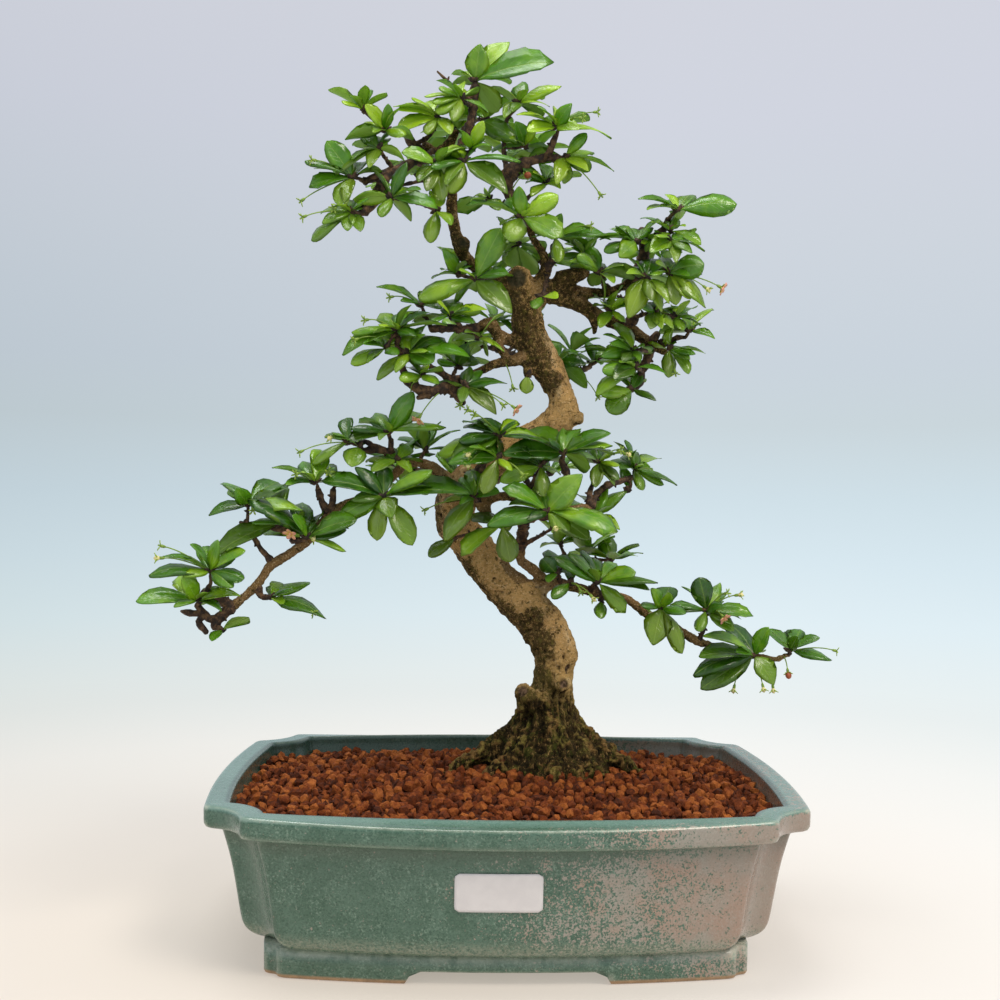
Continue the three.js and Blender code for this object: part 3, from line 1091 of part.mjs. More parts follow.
// A plain blank label: a thin layer off the swell of the front wall, cut to a rounded rectangle.
function label() {
  const { width, height, corner, thick } = LABEL;
  const w = width / 2 - corner;
  const h = height / 2 - corner;
  const shape = new THREE.Shape();
  shape.absarc(w, -h, corner, -Math.PI / 2, 0);
  shape.absarc(w, h, corner, 0, Math.PI / 2);
  shape.absarc(-w, h, corner, Math.PI / 2, Math.PI);
  shape.absarc(-w, -h, corner, Math.PI, 1.5 * Math.PI);
  const depth = 2 * SIDE_HALF;
  const prism = new THREE.ExtrudeGeometry(shape, { depth, bevelEnabled: false, curveSegments: 2 });
  prism.rotateX(Math.PI / 2);
  prism.translate(LABEL.x, 0, LABEL.z);
  const layer = body(GAP + thick).subtract(body(GAP));
  return toSolid(prism).intersect(layer);
}

// Tree

function rootRoute([azimuth, reach, rise, girth]) {
  const heading = THREE.MathUtils.degToRad(azimuth);
  const at = (share, lift, size) => {
    const x = BASE.x + Math.cos(heading) * reach * share;
    const y = BASE.y + Math.sin(heading) * reach * share;
    return [x, y, soilLevel(x, y) + lift, girth * size];
  };
  return [at(0.45, rise * 0.85, 1.15), at(0.8, 2.5, 0.95), at(1.12, -7, 0.5)];
}

// Old bark swells and sinks slowly round the trunk.
function trunkRelief(ring, angle) {
  return 1 + 0.07 * Math.sin(3 * angle + ring * 0.9) + 0.04 * Math.sin(5 * angle - ring * 1.7);
}

function trunkParts(grow) {
  const { main, ...branches } = TRUNK_WOOD;
  const parts = [limb(main, 8, grow, trunkRelief), limb(FLARE, 8, grow, trunkRelief)];
  for (const route of Object.values(branches)) {
    parts.push(limb(route, route[0][3] > THICK_LIMB ? 5 : 4, grow));
  }
  for (const root of ROOTS) parts.push(limb(rootRoute(root), 4, grow));
  for (const knot of KNOTS) parts.push(limb(knot, 4, grow));
  return union(parts);
}

// A twig ends in a bud, a little past the tuft that it carries.
function budded(route) {
  const [before, end] = route.slice(-2);
  const step = new THREE.Vector3(end[0] - before[0], end[1] - before[1], end[2] - before[2]);
  const tip = step.setLength(BUD_LENGTH);
  return [...route.slice(0, -1), [end[0] + tip.x, end[1] + tip.y, end[2] + tip.z, end[3]]];
}

function sprayWood(spray, trunkRoom) {
  const parts = spray.wood.map((route) => limb(budded(route), route[0][3] > THICK_TWIG ? 4 : 3));
  for (const ends of [...Object.values(spray.blooms ?? {}), ...(spray.calyces ?? [])]) {
    parts.push(stalk(ends));
  }
  return largest(union(parts).subtract(trunkRoom));
}

function overlaps(solid, others) {
  const box = solid.boundingBox();
  return others.some((other) => {
    const far = [0, 1, 2].some((k) => other.box.min[k] > box.max[k] || other.box.max[k] < box.min[k]);
    return !far && solid.intersect(other.solid).volume() > 1e-6;
  });
}

function boxed(solid) {
  return { solid, box: solid.boundingBox() };
}

// The same reach turned about the vertical and towards the sky or the ground.
function bent([x, y, z], turn, lift) {
  const reach = new THREE.Vector3(x, y, z).applyAxisAngle(new THREE.Vector3(0, 0, 1), turn);
  const side = new THREE.Vector3(reach.y, -reach.x, 0);
  if (side.length() < 1e-3) side.set(1, 0, 0);
  return reach.applyAxisAngle(side.normalize(), lift).toArray();
}

const BENDS = [[0, 0], [0, 0.22], [0, -0.22], [0.25, 0], [-0.25, 0], [0.3, 0.3], [-0.3, 0.3], [0, 0.5],
  [0.45, -0.2], [-0.45, -0.2]];

// Blades of one spray may share their foot, and no more than that.
function crosses(blade, mates) {
  return mates.some((mate) => blade.intersect(mate).volume() > FOOT_VOLUME);
}

// The first bend of a leaf that keeps clear of every other piece, or nothing.
function clearLeaf(root, [x, y, z, face, width], index, others, mates) {
  for (const [turn, lift] of BENDS) {
    const reach = bent([x, y, z], turn, lift);
    const blade = leaf(root, reach, face, width, index);
    const clear = !crosses(blade, mates);
    if (clear && !overlaps(leaf(root, reach, face, width, index, GAP), others)) return blade;
  }
  return null;
}

// The leaves of a tuft that are modelled: its longest one or two, or a few of the added.
function chosen(drawn, added) {
  const size = ([x, y, z]) => Math.hypot(x, y, z);
  const longest = [...drawn].sort((a, b) => size(b) - size(a)).slice(0, 2);
  const measured = longest.filter((entry, rank) => rank === 0 || size(entry) > SECOND_LEAF);
  return [...measured, ...added.slice(0, drawn.length === 0 ? ADDED_A_WHORL : 0)];
}

function leavesOf(spray, first, others) {
  const blades = [];
  let index = first;
  for (const [root, count, drawn] of spray.tufts) {
    for (const entry of chosen(drawn, whorl(count, drawn.length === 0, index))) {
      const blade = clearLeaf(root, entry, index, others, blades);
      if (blade) blades.push(blade);
      index += 1;
    }
  }
  return { blades, next: index };
}

function tree() {
  const trunkRoom = trunkParts(GAP);
  const trunk = trunkParts(0);
  const names = Object.keys(SPRAYS);
  const wood = names.map((name) => sprayWood(SPRAYS[name], trunkRoom));
  const blooms = Object.assign({}, ...Object.values(SPRAYS).map((spray) => spray.blooms ?? {}));
  const corollas = Object.entries(blooms).map(([name, ends]) => [name, corolla(ends)]);
  const petals = corollas.map(([, solid]) => boxed(solid));
  const placed = [];
  let index = 0;
  names.forEach((name, k) => {
    const mates = wood.filter((_, j) => j !== k);
    const others = [boxed(trunk), ...petals, ...mates.map(boxed), ...placed.map(boxed)];
    const { blades, next } = leavesOf(SPRAYS[name], index, others);
    placed.push(largest(union([wood[k], ...blades]).simplify(EASE)));
    index = next;
  });
  return { trunk, trunkRoom, corollas, sprays: names.map((name, k) => [name, placed[k]]) };
}

const { trunk, trunkRoom, corollas, sprays } = tree();
const bonsai = new THREE.Group();
bonsai.add(toMesh(pot(), 'pot', glaze));
bonsai.add(toMesh(soil(trunkRoom), 'soil', granules));
bonsai.add(toMesh(drainScreen(-HOLE_X), 'drain_screen_left', blackPlastic));
bonsai.add(toMesh(drainScreen(HOLE_X), 'drain_screen_right', blackPlastic));
bonsai.add(toMesh(label(), 'label_blank', paper));
bonsai.add(toMesh(trunk, 'trunk', bark));
for (const [name, solid] of sprays) bonsai.add(toMesh(solid, `spray_${name}`, foliage));
for (const [name, solid] of corollas) bonsai.add(toMesh(solid, `petals_${name}`, petal));

// The origin is the middle of the whole object's plan, on the ground.
const bounds = new THREE.Box3().setFromObject(bonsai);
const middle = bounds.getCenter(new THREE.Vector3());
bonsai.position.set(-middle.x, -middle.y, 0);

export default bonsai;
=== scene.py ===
"""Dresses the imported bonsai: bark, leafy sprays, blossom, granules, glazed pot and a studio round it."""

import json
import logging
import math
from dataclasses import dataclass
from enum import Enum
from typing import Iterable

import bmesh
import bpy
import numpy as np
from bpy.types import Collection, Material, Mesh, Node, NodeSocket as Socket, Object
from mathutils import Matrix, Vector, noise
from mathutils.kdtree import KDTree

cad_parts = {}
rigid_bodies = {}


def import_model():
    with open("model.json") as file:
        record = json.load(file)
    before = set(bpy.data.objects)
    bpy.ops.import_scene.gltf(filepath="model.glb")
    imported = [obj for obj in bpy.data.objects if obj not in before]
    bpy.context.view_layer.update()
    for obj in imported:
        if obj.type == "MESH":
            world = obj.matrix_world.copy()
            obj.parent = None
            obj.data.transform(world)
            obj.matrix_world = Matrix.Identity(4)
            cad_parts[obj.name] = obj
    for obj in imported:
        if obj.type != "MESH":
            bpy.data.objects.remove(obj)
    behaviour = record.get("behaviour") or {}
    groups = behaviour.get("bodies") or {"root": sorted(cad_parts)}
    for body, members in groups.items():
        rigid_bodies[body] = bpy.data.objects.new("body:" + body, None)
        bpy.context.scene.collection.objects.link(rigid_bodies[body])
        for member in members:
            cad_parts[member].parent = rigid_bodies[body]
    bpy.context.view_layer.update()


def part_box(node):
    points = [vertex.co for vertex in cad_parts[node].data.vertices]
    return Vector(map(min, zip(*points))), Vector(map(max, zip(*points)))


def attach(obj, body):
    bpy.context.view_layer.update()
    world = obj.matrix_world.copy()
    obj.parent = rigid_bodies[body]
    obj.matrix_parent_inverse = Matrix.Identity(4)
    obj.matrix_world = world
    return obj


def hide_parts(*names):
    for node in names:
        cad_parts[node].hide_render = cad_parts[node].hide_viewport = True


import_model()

log = logging.getLogger("bonsai")
MM = 0.001
CREASE = 4.5  # how strongly a bend of a surface shows in its colour: glaze broken at edges with a painted highlight, glaze pooled in hollows, and painted shade in the bark's hollows

Pair = tuple[float, float]
Triple = tuple[float, float, float]
Station = tuple[float, float, float, float]
Leaf = tuple[float, ...]
Tuft = tuple[Triple, int, list[Leaf]]
Faces = list[tuple[int, ...]]
Number = float | Socket
Tone = str | Socket

# The measured plan, in millimetres from the middle of the pot at its foot. Limbs and wood are stations of x, y,
# z and radius. A tuft is its foot and the number of leaves added to it, then a leaf by its reach to the tip, how
# far its face is turned from the sky to the viewer in tens of degrees, and its width where it is a broad one. A
# flower, star, bud or berry is its stalk's foot and its head. A line that ends in a comma goes on in the next.
PLAN = """
limb main: 25 30 54 26.2,25 30 74 25.2,24 30 83 23.6,24 30 90 21.5,24 30 98 18,24.5 29 106 14.4,26.5 29 114 11.9,
 27 28 123 10.7,27 27 132 11.2,22 26 143 12,15 25 152 11.2,6 24 161 11.2,-3 22 169 10.4,-12 21 180 10.3,
 -19 20 190 9.8,-25 17 198 10,-26 14 208 10.2,-22 13 217 9.7,-12 12 228 9.2,1 11 236 8.7,14 10 243 8.4,
 24 9 250 8.6,28 8 258 7.9,26 8 267 6.8,21 7 276 7.9,15 6 286 8.3,10 5 296 8.1,8 4 307 7.6,6 3 316 7.1,4 2 325 6
limb fork_left: 7 4 312 5.5,-2 2 320 5,-10 0 324 4.5,-19 -3 328 4.5,-25 -4 335 4.5,-28 -5 344 4.2,-30 -5 354 4,
 -30 -3 364 3.7,-33 0 374 3.8,-38 2 382 4.3,-44 2 388 4.5
limb cut_ring: -25 -4 337 4,-24 -14 337 3.7
limb stub_mid: -41 0 380 4.2,-35 0 385 4,-31 -3 389 3,-28 -6 394 1.7
limb right_low: 21 10 316 5.1,31 13 314 4.9,42 16 309 4.6,50 18 305 4.6,59 19 302 5.2,68 20 297 4.4,76 21 292 4.1,
 82 21 289 3.1
limb hang_stub: 43 16 308 3.6,44 15 302 2.4,44 14 297 1.4
limb mid_link: -7 -2 294 2.5,-5 -2 287 2.5,-1 -1 282 2.5
limb under_knob: 11 5 279 3.8,9 0 274 2.5
limb low_right: 11 23 163 6.2,19 24 166 4.9,27 26 168 4.2,36 28 166 3.7,44 29 164 3.5,53 30 161 3.2,62 31 161 2.9,
 69 32 157 3.2,77 33 151 3.5,85 34 148 3,94 35 143 3.3,102 36 138 3.6,112 38 135 2.4,122 40 132 2.1,131 41 130 2,
 140 42 129 1.9,147 43 127 2.6,154 44 130 1.9
limb centre: -20 8 211 4.6,-12 -2 211 3.3,-2 -10 213 2.9,8 -14 211 2.7,18 -14 209 2.5,29 -10 208 2.4,39 -2 208 2.7,
 43 1 205 2
limb centre_drop: -14 -2 211 4,-11 -4 206 3.5,-10 -6 201 2
limb dark_knob: 24 10 324 4.3,31 8 325 4.6,36 6 326 3.8,40 4 327 1.5
limb middle: 9 4 313 5.5,15 4 321 4.5,18 4 329 3.5,16 3 336 3,11 2 343 3,8 1 350 3,2 2 359 3
limb fork_right: 10 6 311 6.1,18 8 317 5.8,25 10 320 5.3,32 12 319 4.1,41 13 318 3.8,50 13 318 3.6,57 13 321 3.3,
 63 12 325 3.3
limb mid_up: 10 6 289 4,1 2 291 3.5,-6 -2 294 3.7,-10 -4 299 4.7,-16 -8 296 3.5
limb mid_low: 11 5 285 4.5,3 0 281 3.3,-6 -6 279 3,-16 -10 274 3,-24 -14 270 4.2
limb long_left: -25 12 213 5.1,-31 8 220 4.8,-37 3 226 4.3,-44 -2 229 3.3,-51 -7 228 3.4,-56 -11 223 3.2,
 -61 -14 218 3.4,-66 -17 212 3.9,-73 -20 210 3.2,-80 -22 208 2.9,-86 -24 203 3.6,-91 -26 198 3,-96 -27 191 3.5,
 -102 -28 186 3.4,-108 -29 182 3.4,-114 -30 178 3.3,-117 -31 173 3.1,-121 -31 168 3.2,-126 -32 163 3.1,
 -131 -33 159 3.6
limb up_twig: 22 24 168 3.6,15 20 175 3.2,8 14 180 3.1,7 8 187 3.5
spray crown_left_high:
wood: -46 -2 384 3.5,-51 -5 389 3,-54 -8 395 1.9
wood: -54 -8 394 1.3,-58 -20 389 1.2,-62 -32 386 1
wood: -62 -32 386 1,-67 -31 391 1.1,-73 -30 396 1.1
wood: -49 -3 387 2,-41 -8 391 1.3,-37 -14 398 1.1
tuft -62 -32 386 2: -9 -8 10 6,2 -10 10 7,7 -10 8 4,-19 -1 -5 -3,-5 -11 -4 6 7,10 -11 -5 6
tuft -73 -30 396 1: -16 -5 8 -2,2 -10 9 1,12 -9 6 2,-9 -10 1 4,-5 -11 4 0
tuft -37 -14 398 3: -20 -5 2 3,-13 -8 7 3,-20 -5 -8 5,6 -10 -11 4,-6 -10 -11 6,-22 -6 3 1
spray crown_top:
wood: -32 0 374 3.5,-27 4 386 3.3,-22 6 398 3,-20 6 409 2.8,-19 5 420 3
wood: -20 5 411 1.8,-26 0 414 1.4,-33 -4 419 1.2,-38 -6 423 0.6
wood: -19 5 419 2,-19 4 421 1.5
wood: -20 5 410 1.6,-24 -4 408 1.2,-26 -12 407 1
wood: -19 6 408 1.7,-21 26 407 1.6,-26 42 407 1.4
wood: -21 26 407 1.4,-16 34 411 1.2,-13 38 412 1.1
wood: -26 42 407 0.8,-28.3 46.5 408.1 0.7
tuft -19 4 422 2: 2 -5 17 8 13,17 6 22 7,39 -10 7 6,12 5 -14 -7 13,-12 10 1 -2
tuft -26 -12 408 3: -18 -6 -1 1,-11 -10 2 2,-14 -9 -5 1,-12 -9 -10 3,-3 -11 4 2,14 0 -7 2,-4 -10 -14 5
tuft -28 46 408 7:
tuft -13 38 412 6:
spray crown_right:
wood: 2 2 359 3,-2 2 367 3.8,-3 0 372 4.5,1 -2 377 4.2,9 -4 380 3.2,16 -4 382 2.5,22 -6 381 3
wood: 17 -5 382 2.2,19 -8 386 2.4,21 -9 392 1.6
wood: -2 1 371 2,-4 8 389 1.5,-3 8 403 1.3,2 4 409 1.2
wood: -4 8 391 1.3,0 6 389 1.1,6 2 389 1
wood: 21 -9 390 1.5,22 -10 394 1.2
wood: 22 -6 381 2,25 -6 382 1.3
wood: -2 2 369 2,5 24 382 1.7,11 42 393 1.4
wood: 7 32 387 1.4,3 42 391 1.2,-1 47 393 1.1
wood: 2 2 358 1.7,10 8 366 1.4,17 6 371 1.2
wood: 2 2 358 1.5,-6 6 361 1.2,-12 6 363 1
wood: 2 4 409 0.8,3 2 411 0.7
wood: 22 -10 394 0.8,21 -10 396 0.7
wood: 11 42 393 0.8,12.1 46.5 396.4 0.7
wood: -1 47 393 0.8,0 48 394 0.7
wood: 17 6 371 0.8,17 4 371 0.7
tuft 3 2 411 3: 21 -6 7 4,15 -8 -4 2,-8 -10 -11 3,3 -11 3 2,-4 -11 -8 5
tuft 6 2 389 2: -5 -9 10 7 10,-21 6 14 7,-8 -11 1 5,5 -10 7 4
tuft 21 -10 396 3: 7 -9 9 7 9,-20 -5 4 1,-10 -9 7 3 7,-7 -11 4 6,-15 -9 -5 6,27 -7 -7 1,11 -10 -4 7 9
tuft 26 -6 382 3: 24 -6 -8 1,11 -9 -9 5 8,10 -8 10 6 8,1 10 -11 3,-5 -9 -16 4
tuft 12 46 396 7:
tuft 0 48 394 6:
tuft 17 4 371 3: -12 -9 6 4,10 10 9 3,7 -11 -5 3,-7 -11 3 4,-8 -11 -9 3
tuft -12 6 363 2: -2 -11 3 6,-9 -11 -4 1,6 -11 -8 3
spray crown_centre:
wood: -32 0 373 2,-28 -12 373 1.5,-25 -24 373 1.3
wood: -25 -24 373 1.2,-23 -24 376 1.1,-21 -22 381 1
wood: -28 -12 373 1.5,-32 -20 373 1.2,-37 -26 372 1.1
tuft -24 -25 374 2: 21 -7 -17 4,27 -7 -1 1,-16 -7 -5 3,-7 -7 -17 7 10,-9 -9 -14 6
tuft -21 -22 381 2: -15 -8 -6 1,-3 -11 5 6,6 -9 11 5,10 -10 -1 3
tuft -37 -26 372 3: -17 -6 4 5 9,-5 -9 -15 5,3 -6 -19 4,5 -10 6 2,-9 -10 -11 2
spray crown_left:
wood: -39 1 383 4,-49 -7 378 3.2,-57 -13 372 3.2,-65 -18 368 2.9,-72 -22 364 2.4
wood: -61 -15 370 2.9,-65 -23 360 3.4,-68 -28 352 3.6,-73 -30 347 2.6
wood: -72 -22 364 1.6,-75 -28 364 1.2,-77 -33 363 1.1
wood: -58 -13 372 1.5,-62 -22 375 1.3,-65 -30 378 1.1
wood: -64 -25 357 1.9,-61 -32 355 1.3,-58 -37 353 1.2
wood: -58 -37 353 1,-48 -34 352 1,-37 -30 349 0.9
wood: -73 -30 347 1.7,-76 -35 346 1.3
tuft -77 -33 363 2: -20 -5 -6 3,-12 -5 16 6 11,-6 -9 -15 5 9,-22 -6 6 1,-18 -4 3 1,-2 -10 -15 5
tuft -65 -30 378 2: -20 -6 -14 2,-12 -9 -8 1,13 -9 -8 -3,-9 10 10 5,-4 -10 -12 2
tuft -58 -37 353 3: -18 -5 -2 -4,22 -6 -6 4,-5 -10 -11 2,7 -5 16 4,14 -9 2 2,9 9 -9 -2
tuft -37 -30 349 1: -3 -8 -17 6,7 -10 -9 3
tuft -77 -36 346 2: -18 -6 -15 2,-13 -8 -7 3,-8 -11 1 1,-1 -11 -11 4,5 -10 -11 6,9 -10 5 3
spray crown_left_back:
wood: -31 -2 365 1.8,-36 20 372 1.5,-45 34 380 1.4
wood: -43 31 378 1.3,-52 31 376 1.2,-58 30 374 1
wood: -45 34 380 0.8,-47.3 37.5 381.2 0.7
tuft -47 37 381 7:
tuft -59 30 374 5:
spray fork_front:
wood: -11 0 324 2,-15 -12 320 1.5,-18 -20 318 1.3
wood: -14 -12 320 1.4,-20 -13 320 1.2,-26 -11 322 1.1
tuft -18 -20 318 1: 12 -7 24 7 14,16 -8 2 3,18 -6 -17 6 12,-27 -7 -11 5,-10 9 -9 3,-8 -11 3 3
tuft -27 -10 322 2: -7 -9 11 7,-12 -10 -4 1,4 -11 5 3
spray middle_front:
wood: 8 1 349 2,6 -14 348 1.5,4 -28 347 1.2
tuft 4 -28 347 1: -27 -7 4 1,-2 -9 13 6,-7 -9 -13 7 12,17 -5 10 5 10,20 -5 -10 6 13,4 -11 1 2,-10 10 -2 3
spray middle_stub:
wood: 18 4 326 2.8,21 0 333 2.3,21 -2 339 1.9
wood: 21 -2 338 1.5,22 -5 341 1.2
tuft 22 -6 342 3: 2 -10 10 6,1 -10 -14 5,27 -7 -2 2,-12 10 1 3,15 -7 4 3
spray middle_under:
wood: 19 4 326 1.5,17 -6 318 1.3,15 -13 311 1.1
tuft 15 -14 311 0: 7 -11 -2 3,-5 -11 -7 3
tuft 9 0 274 0: -0.5 -2 -9.7 6 8
spray behind_neck:
wood: 8 4 307 2.5,6 34 319 2.1,4 56 336 1.6
wood: 5 49 329 1.6,12 53 337 1.3,17 54 340 1.1
wood: 6 34 319 1.6,-3 46 323 1.3,-10 52 327 1.1
wood: 5 44 326 1.6,5 32 336 1.4,4 21 342 1.1
wood: 4 56 336 0.8,2.9 59.4 339.4 0.7
tuft 3 59 339 8:
tuft 18 54 340 7:
tuft -10 52 327 6:
tuft 4 20 343 2: -3 -10 -14 -7 12,10 -5 -16 -6 9,-7 -11 -6 -3,-10 -10 2 2
spray right_upper:
wood: 63 12 325 3.3,66 10 330 3.7,68 8 336 3.6,68 6 343 3.3,66 4 349 2.4
wood: 68 6 340 3,73 4 345 2.8,77 2 349 2.3,79 1 354 1.6
wood: 79 1 353 1.3,81 -3 356 1.2,83 -6 357 1.1
wood: 78 1 351 1.1,79 -2 349 1,79 -4 347 1
wood: 68 6 341 1.7,72 -8 339 1.3,77 -14 340 1.2
wood: 67 4 347 1.5,64 -4 343 1.2,62 -8 340 1.1
wood: 66 10 330 2,72 0 328 1.4,77 -8 326 1.2
wood: 65 11 328 2,65 -2 323 1.5,66 -12 322 1.3
tuft 83 -6 357 1: -21 -5 4 2,-5 10 10 3,8 11 9 3,28 -7 2 6,-10 -11 -1 2,-17 -8 -2 1
tuft 79 -4 347 2: 15 -6 -8 3,6 -11 0 2,-11 -10 2 3
tuft 78 -15 340 2: -12 -10 -8 6 10,16 -6 -6 1,9 -10 -8 4,1 -10 -13 5,-9 -11 0 2
tuft 62 -8 340 2: 11 -7 10 3,-19 -5 0 2,-10 -10 -9 7 12,-23 -6 1 1,-17 -7 -6 3
tuft 78 -9 325 2: 17 -5 4 5 13,9 -10 -3 2,18 -6 -18 3,3 -7 -17 5,10 -7 -14 3,-8 -11 3 4,-10 -11 -3 2
tuft 66 -13 322 2: -9 -5 -21 7 13,8 -4 -18 3,2 -10 -13 4,-11 -10 0 4 7,11 -7 -14 2
spray right_inner:
wood: 49 13 319 1.7,47 4 322 1.3,46 -4 324 1.2
wood: 45 -5 324 1.2,42 -2 329 1.1,37 2 335 1
wood: 49 10 321 2,53 20 321 1.8,64 36 325 1.6,72 50 332 1.4
wood: 68 42 328 1.4,78 44 335 1.2,83 44 339 1.1
wood: 63 34 325 1.4,64 44 321 1.2,63 50 320 1.1
wood: 72 50 332 0.8,74.3 53.4 334.3 0.7
tuft 44 -6 325 3: -16 -8 4 3,-12 -9 7 5,6 -11 -7 4,11 -10 2 3 7,-6 8 15 3,3 9 -13 4
tuft 37 2 335 2: -13 -10 -3 3,-6 -11 6 3,6 -10 7 2,5 -11 -5 3
tuft 74 53 334 7:
tuft 84 44 340 6:
tuft 62 50 320 6:
spray right_mid:
wood: 62 18 303 3.6,65 15 306 3.1
wood: 61 16 303 2.1,55 8 306 1.5,51 2 307 1.3
wood: 65 15 306 1.7,68 4 306 1.3,71 -4 306 1.2
wood: 71 -4 306 1.1,77 -5 305 1,83 -4 304 1
wood: 51 2 307 0.8,51 0 307 0.7
wood: 72.3 -4.2 305.8 0.8,72 -6 306 0.7
tuft 51 0 307 2: -6 -11 2 4 9,3 -11 5 4 8,-7 -10 -10 2,5 -11 -7 3,13 -9 1 3
tuft 72 -6 306 3: -4 -11 -10 5 8,5 -11 3 2,-9 -11 2 4 7,8 -10 -10 3,2 -11 -10 4
tuft 83 -4 304 2: 9 -10 -2 3,1 -11 -8 6 7,5 -10 7 3,11 -9 -5 1
spray right_tip:
wood: 78 20 293 2.8,83 18 294 2.6,87 16 296 1.8,91 14 296 1.4
wood: 74 19 294 3.1,77 17 298 2.6
wood: 91 14 296 1.2,92 12 298 1.1
wood: 82 18 294 1.8,82 12 291 1.2
wood: 82 12 291 0.8,82 10 289 0.7
tuft 93 12 299 3: 11 -10 -5 2,-7 -10 8 5,4 -11 3 1,-12 -10 6 3
tuft 82 10 289 2: 18 -4 -2 1,12 -9 -3 4,9 -10 -6 4,9 -7 -13 2,-2 -9 -15 5
spray right_down:
wood: 74 20 292 3.4,72 18 285 3.2,69 16 280 3.1,68 15 274 2.9,65 14 269 2.5
wood: 73 19 289 1.8,68 6 288 1.3,64 0 287 1.2
wood: 69 16 278 1.8,65 2 279 1.4,62 -8 278 1.2
wood: 65 14 270 1.5,64 9 268 1.2
wood: 64 0 287 0.8,62 -1 287 0.7
wood: 64 9 268 0.8,63 7 268 0.7
tuft 62 -1 287 2: -13 -10 2 4,-17 -7 -4 6 9,-7 -11 -7 6 8,4 -11 1 3,2 -11 -6 3,-16 -7 7 1
tuft 62 -9 278 1: -17 -7 -3 5,-12 -10 -7 7 11,-20 -6 -15 2,15 -7 -4 3,-9 -11 1 2
tuft 63 7 268 2: -17 -8 -3 5,-13 -7 -12 6 12,11 -9 -6 3,5 10 10 4
spray behind_right:
wood: 22 10 274 3.1,35 44 278 2.4,47 64 285 1.8
wood: 40 53 281 1.5,38 66 289 1.3,37 70 293 1.1
wood: 46 62 285 1.4,53 60 289 1.2,58 58 292 1.1
wood: 31 36 277 1.8,29 34 281 1.4,28 34 284 1.2
wood: 47 64 285 0.8,49.3 67.4 287.3 0.7
tuft 49 67 287 7:
tuft 37 70 293 6:
tuft 58 58 293 6:
tuft 27 34 284 2: 14 -9 -2 6 9,15 -5 -14 5,-8 -11 4 3,5 -11 5 3
spray mid_upper:
wood: -16 -8 296 3.5,-24 -12 295 2.7,-32 -15 295 2.8,-39 -17 294 2.6
wood: -39 -17 294 1.5,-42 -14 301 1.2,-44 -12 306 1.1
wood: -24 -12 295 1.7,-27 -20 298 1.3,-30 -24 300 1.2
wood: -22 -11 296 1.7,-18 -12 293 1.3
wood: -18 -12 293 0.8,-14.5 -12 290.7 0.7
tuft -44 -12 306 3: -22 -6 8 3,-10 -10 1 3,10 -11 -3 3,2 11 10 2
tuft -30 -25 299 3: 12 -10 -4 4 8,10 -10 2 2,18 -6 3 3,-6 -11 6 3,-9 -11 -4 2
tuft -15 -12 291 2: 6 -11 -5 3,-8 -11 1 2,12 -9 -8 2,4 11 -8 4
spray mid_lower:
wood: -24 -14 270 4.2,-28 -16 266 4.9,-34 -18 265 3.2,-40 -20 262 2.7,-45 -22 260 1.5
wood: -28 -16 266 3.9,-25 -18 261 3.2,-23 -19 258 1.9
wood: -30 -15 270 2.9,-34 -18 273 2.2,-39 -22 275 1.8
wood: -37 -19 264 2.7,-44 -22 264 3.4,-49 -24 268 3.4,-52 -26 273 2.4,-53 -28 279 2.1,-54 -29 285 3.1,
 -55 -30 289 1.9
wood: -53 -27 277 1.7,-48 -30 278 1.6,-45 -32 282 1.8
wood: -55 -30 288 1.4,-55 -33 291 1.2
wood: -55 -33 290 1,-58 -36 286 1,-60 -36 282 0.9
wood: -45 -32 281 1.3,-48 -35 280 1.1
wood: -49 -24 267 1.6,-46 -32 270 1.1
wood: -26 -16 264 2,-23 -24 265 1.4,-22 -26 266 1.3
wood: -29 -15 267 2,-28 -4 273 1.4,-26 2 278 1.2
wood: -46 -32 270 0.8,-42.5 -34.3 270 0.7
tuft -55 -34 291 2: -21 -5 -2 2,-25 -7 -13 1,-8 -11 1 2,7 -9 11 2,16 -6 8 2,24 -6 2 1,-2 -11 3 3,10 -10 -4 3
tuft -60 -36 282 1: -16 -5 -8 4,-8 -10 -8 3,-10 -10 1 3 7,6 -11 -4 4 7
tuft -49 -36 280 2: -15 -2 -13 5,8 -10 8 3,12 -10 -5 6 11,29 -7 -2 1,-6 -10 -10 4,9 -11 0 3
tuft -43 -34 270 2: -10 -10 -3 5 7,8 -11 -5 4,4 -11 1 3,-5 11 -7 3
tuft -22 -26 266 2: 20 -5 1 3,15 -5 -14 5,8 11 -1 2,-2 -11 -9 3
tuft -26 2 278 2: 5 -10 10 8 11,-10 -10 1 4,-6 11 8 3,11 10 4 4
spray left_raised:
wood: -51 -7 228 3,-55 -9 232 2.7,-60 -11 234 2.3,-66 -13 235 2.2,-72 -14 234 2.1
wood: -61 -12 235 1.9,-67 -14 237 1.8,-71 -15 239 1.5
wood: -58 -11 234 2.1,-58 -14 240 1.8
wood: -58 -14 239 1.6,-59 -16 242 1.4
wood: -71 -14 234 1.5,-72 -20 235 1.2
wood: -72 -20 236 1,-75 -22 237 0.9,-78 -22 238 0.8
wood: -55 -9 232 1.5,-55 -14 231 1.2
wood: -55 -14 231 0.8,-55 -16 230 0.7
tuft -59 -16 243 2: -21 -6 -5 4,12 -6 20 4,28 -7 3 2,-18 -5 2 2,-4 -11 -4 2,-2 -11 6 5 6
tuft -73 -21 236 1: -3 -10 -10 7 11,-11 -10 4 2
tuft -78 -22 238 1: -17 -5 -11 3,-7 -11 4 2
tuft -55 -16 230 2: -12 -9 -6 5,6 11 7 6 8,8 -10 -7 3
spray left_main:
wood: -61 -14 218 2,-60 -24 214 1.4,-60 -28 212 1.3
tuft -60 -29 212 1: -29 -8 7 3,-14 -1 14 3,-15 -8 -2 3,-21 -6 -10 5,4 -10 -10 7 11,-3 -5 -21 7 10,14 -7 -23 6,
 23 -7 13 4,23 -6 5 2,41 -10 2 2
spray left_fork:
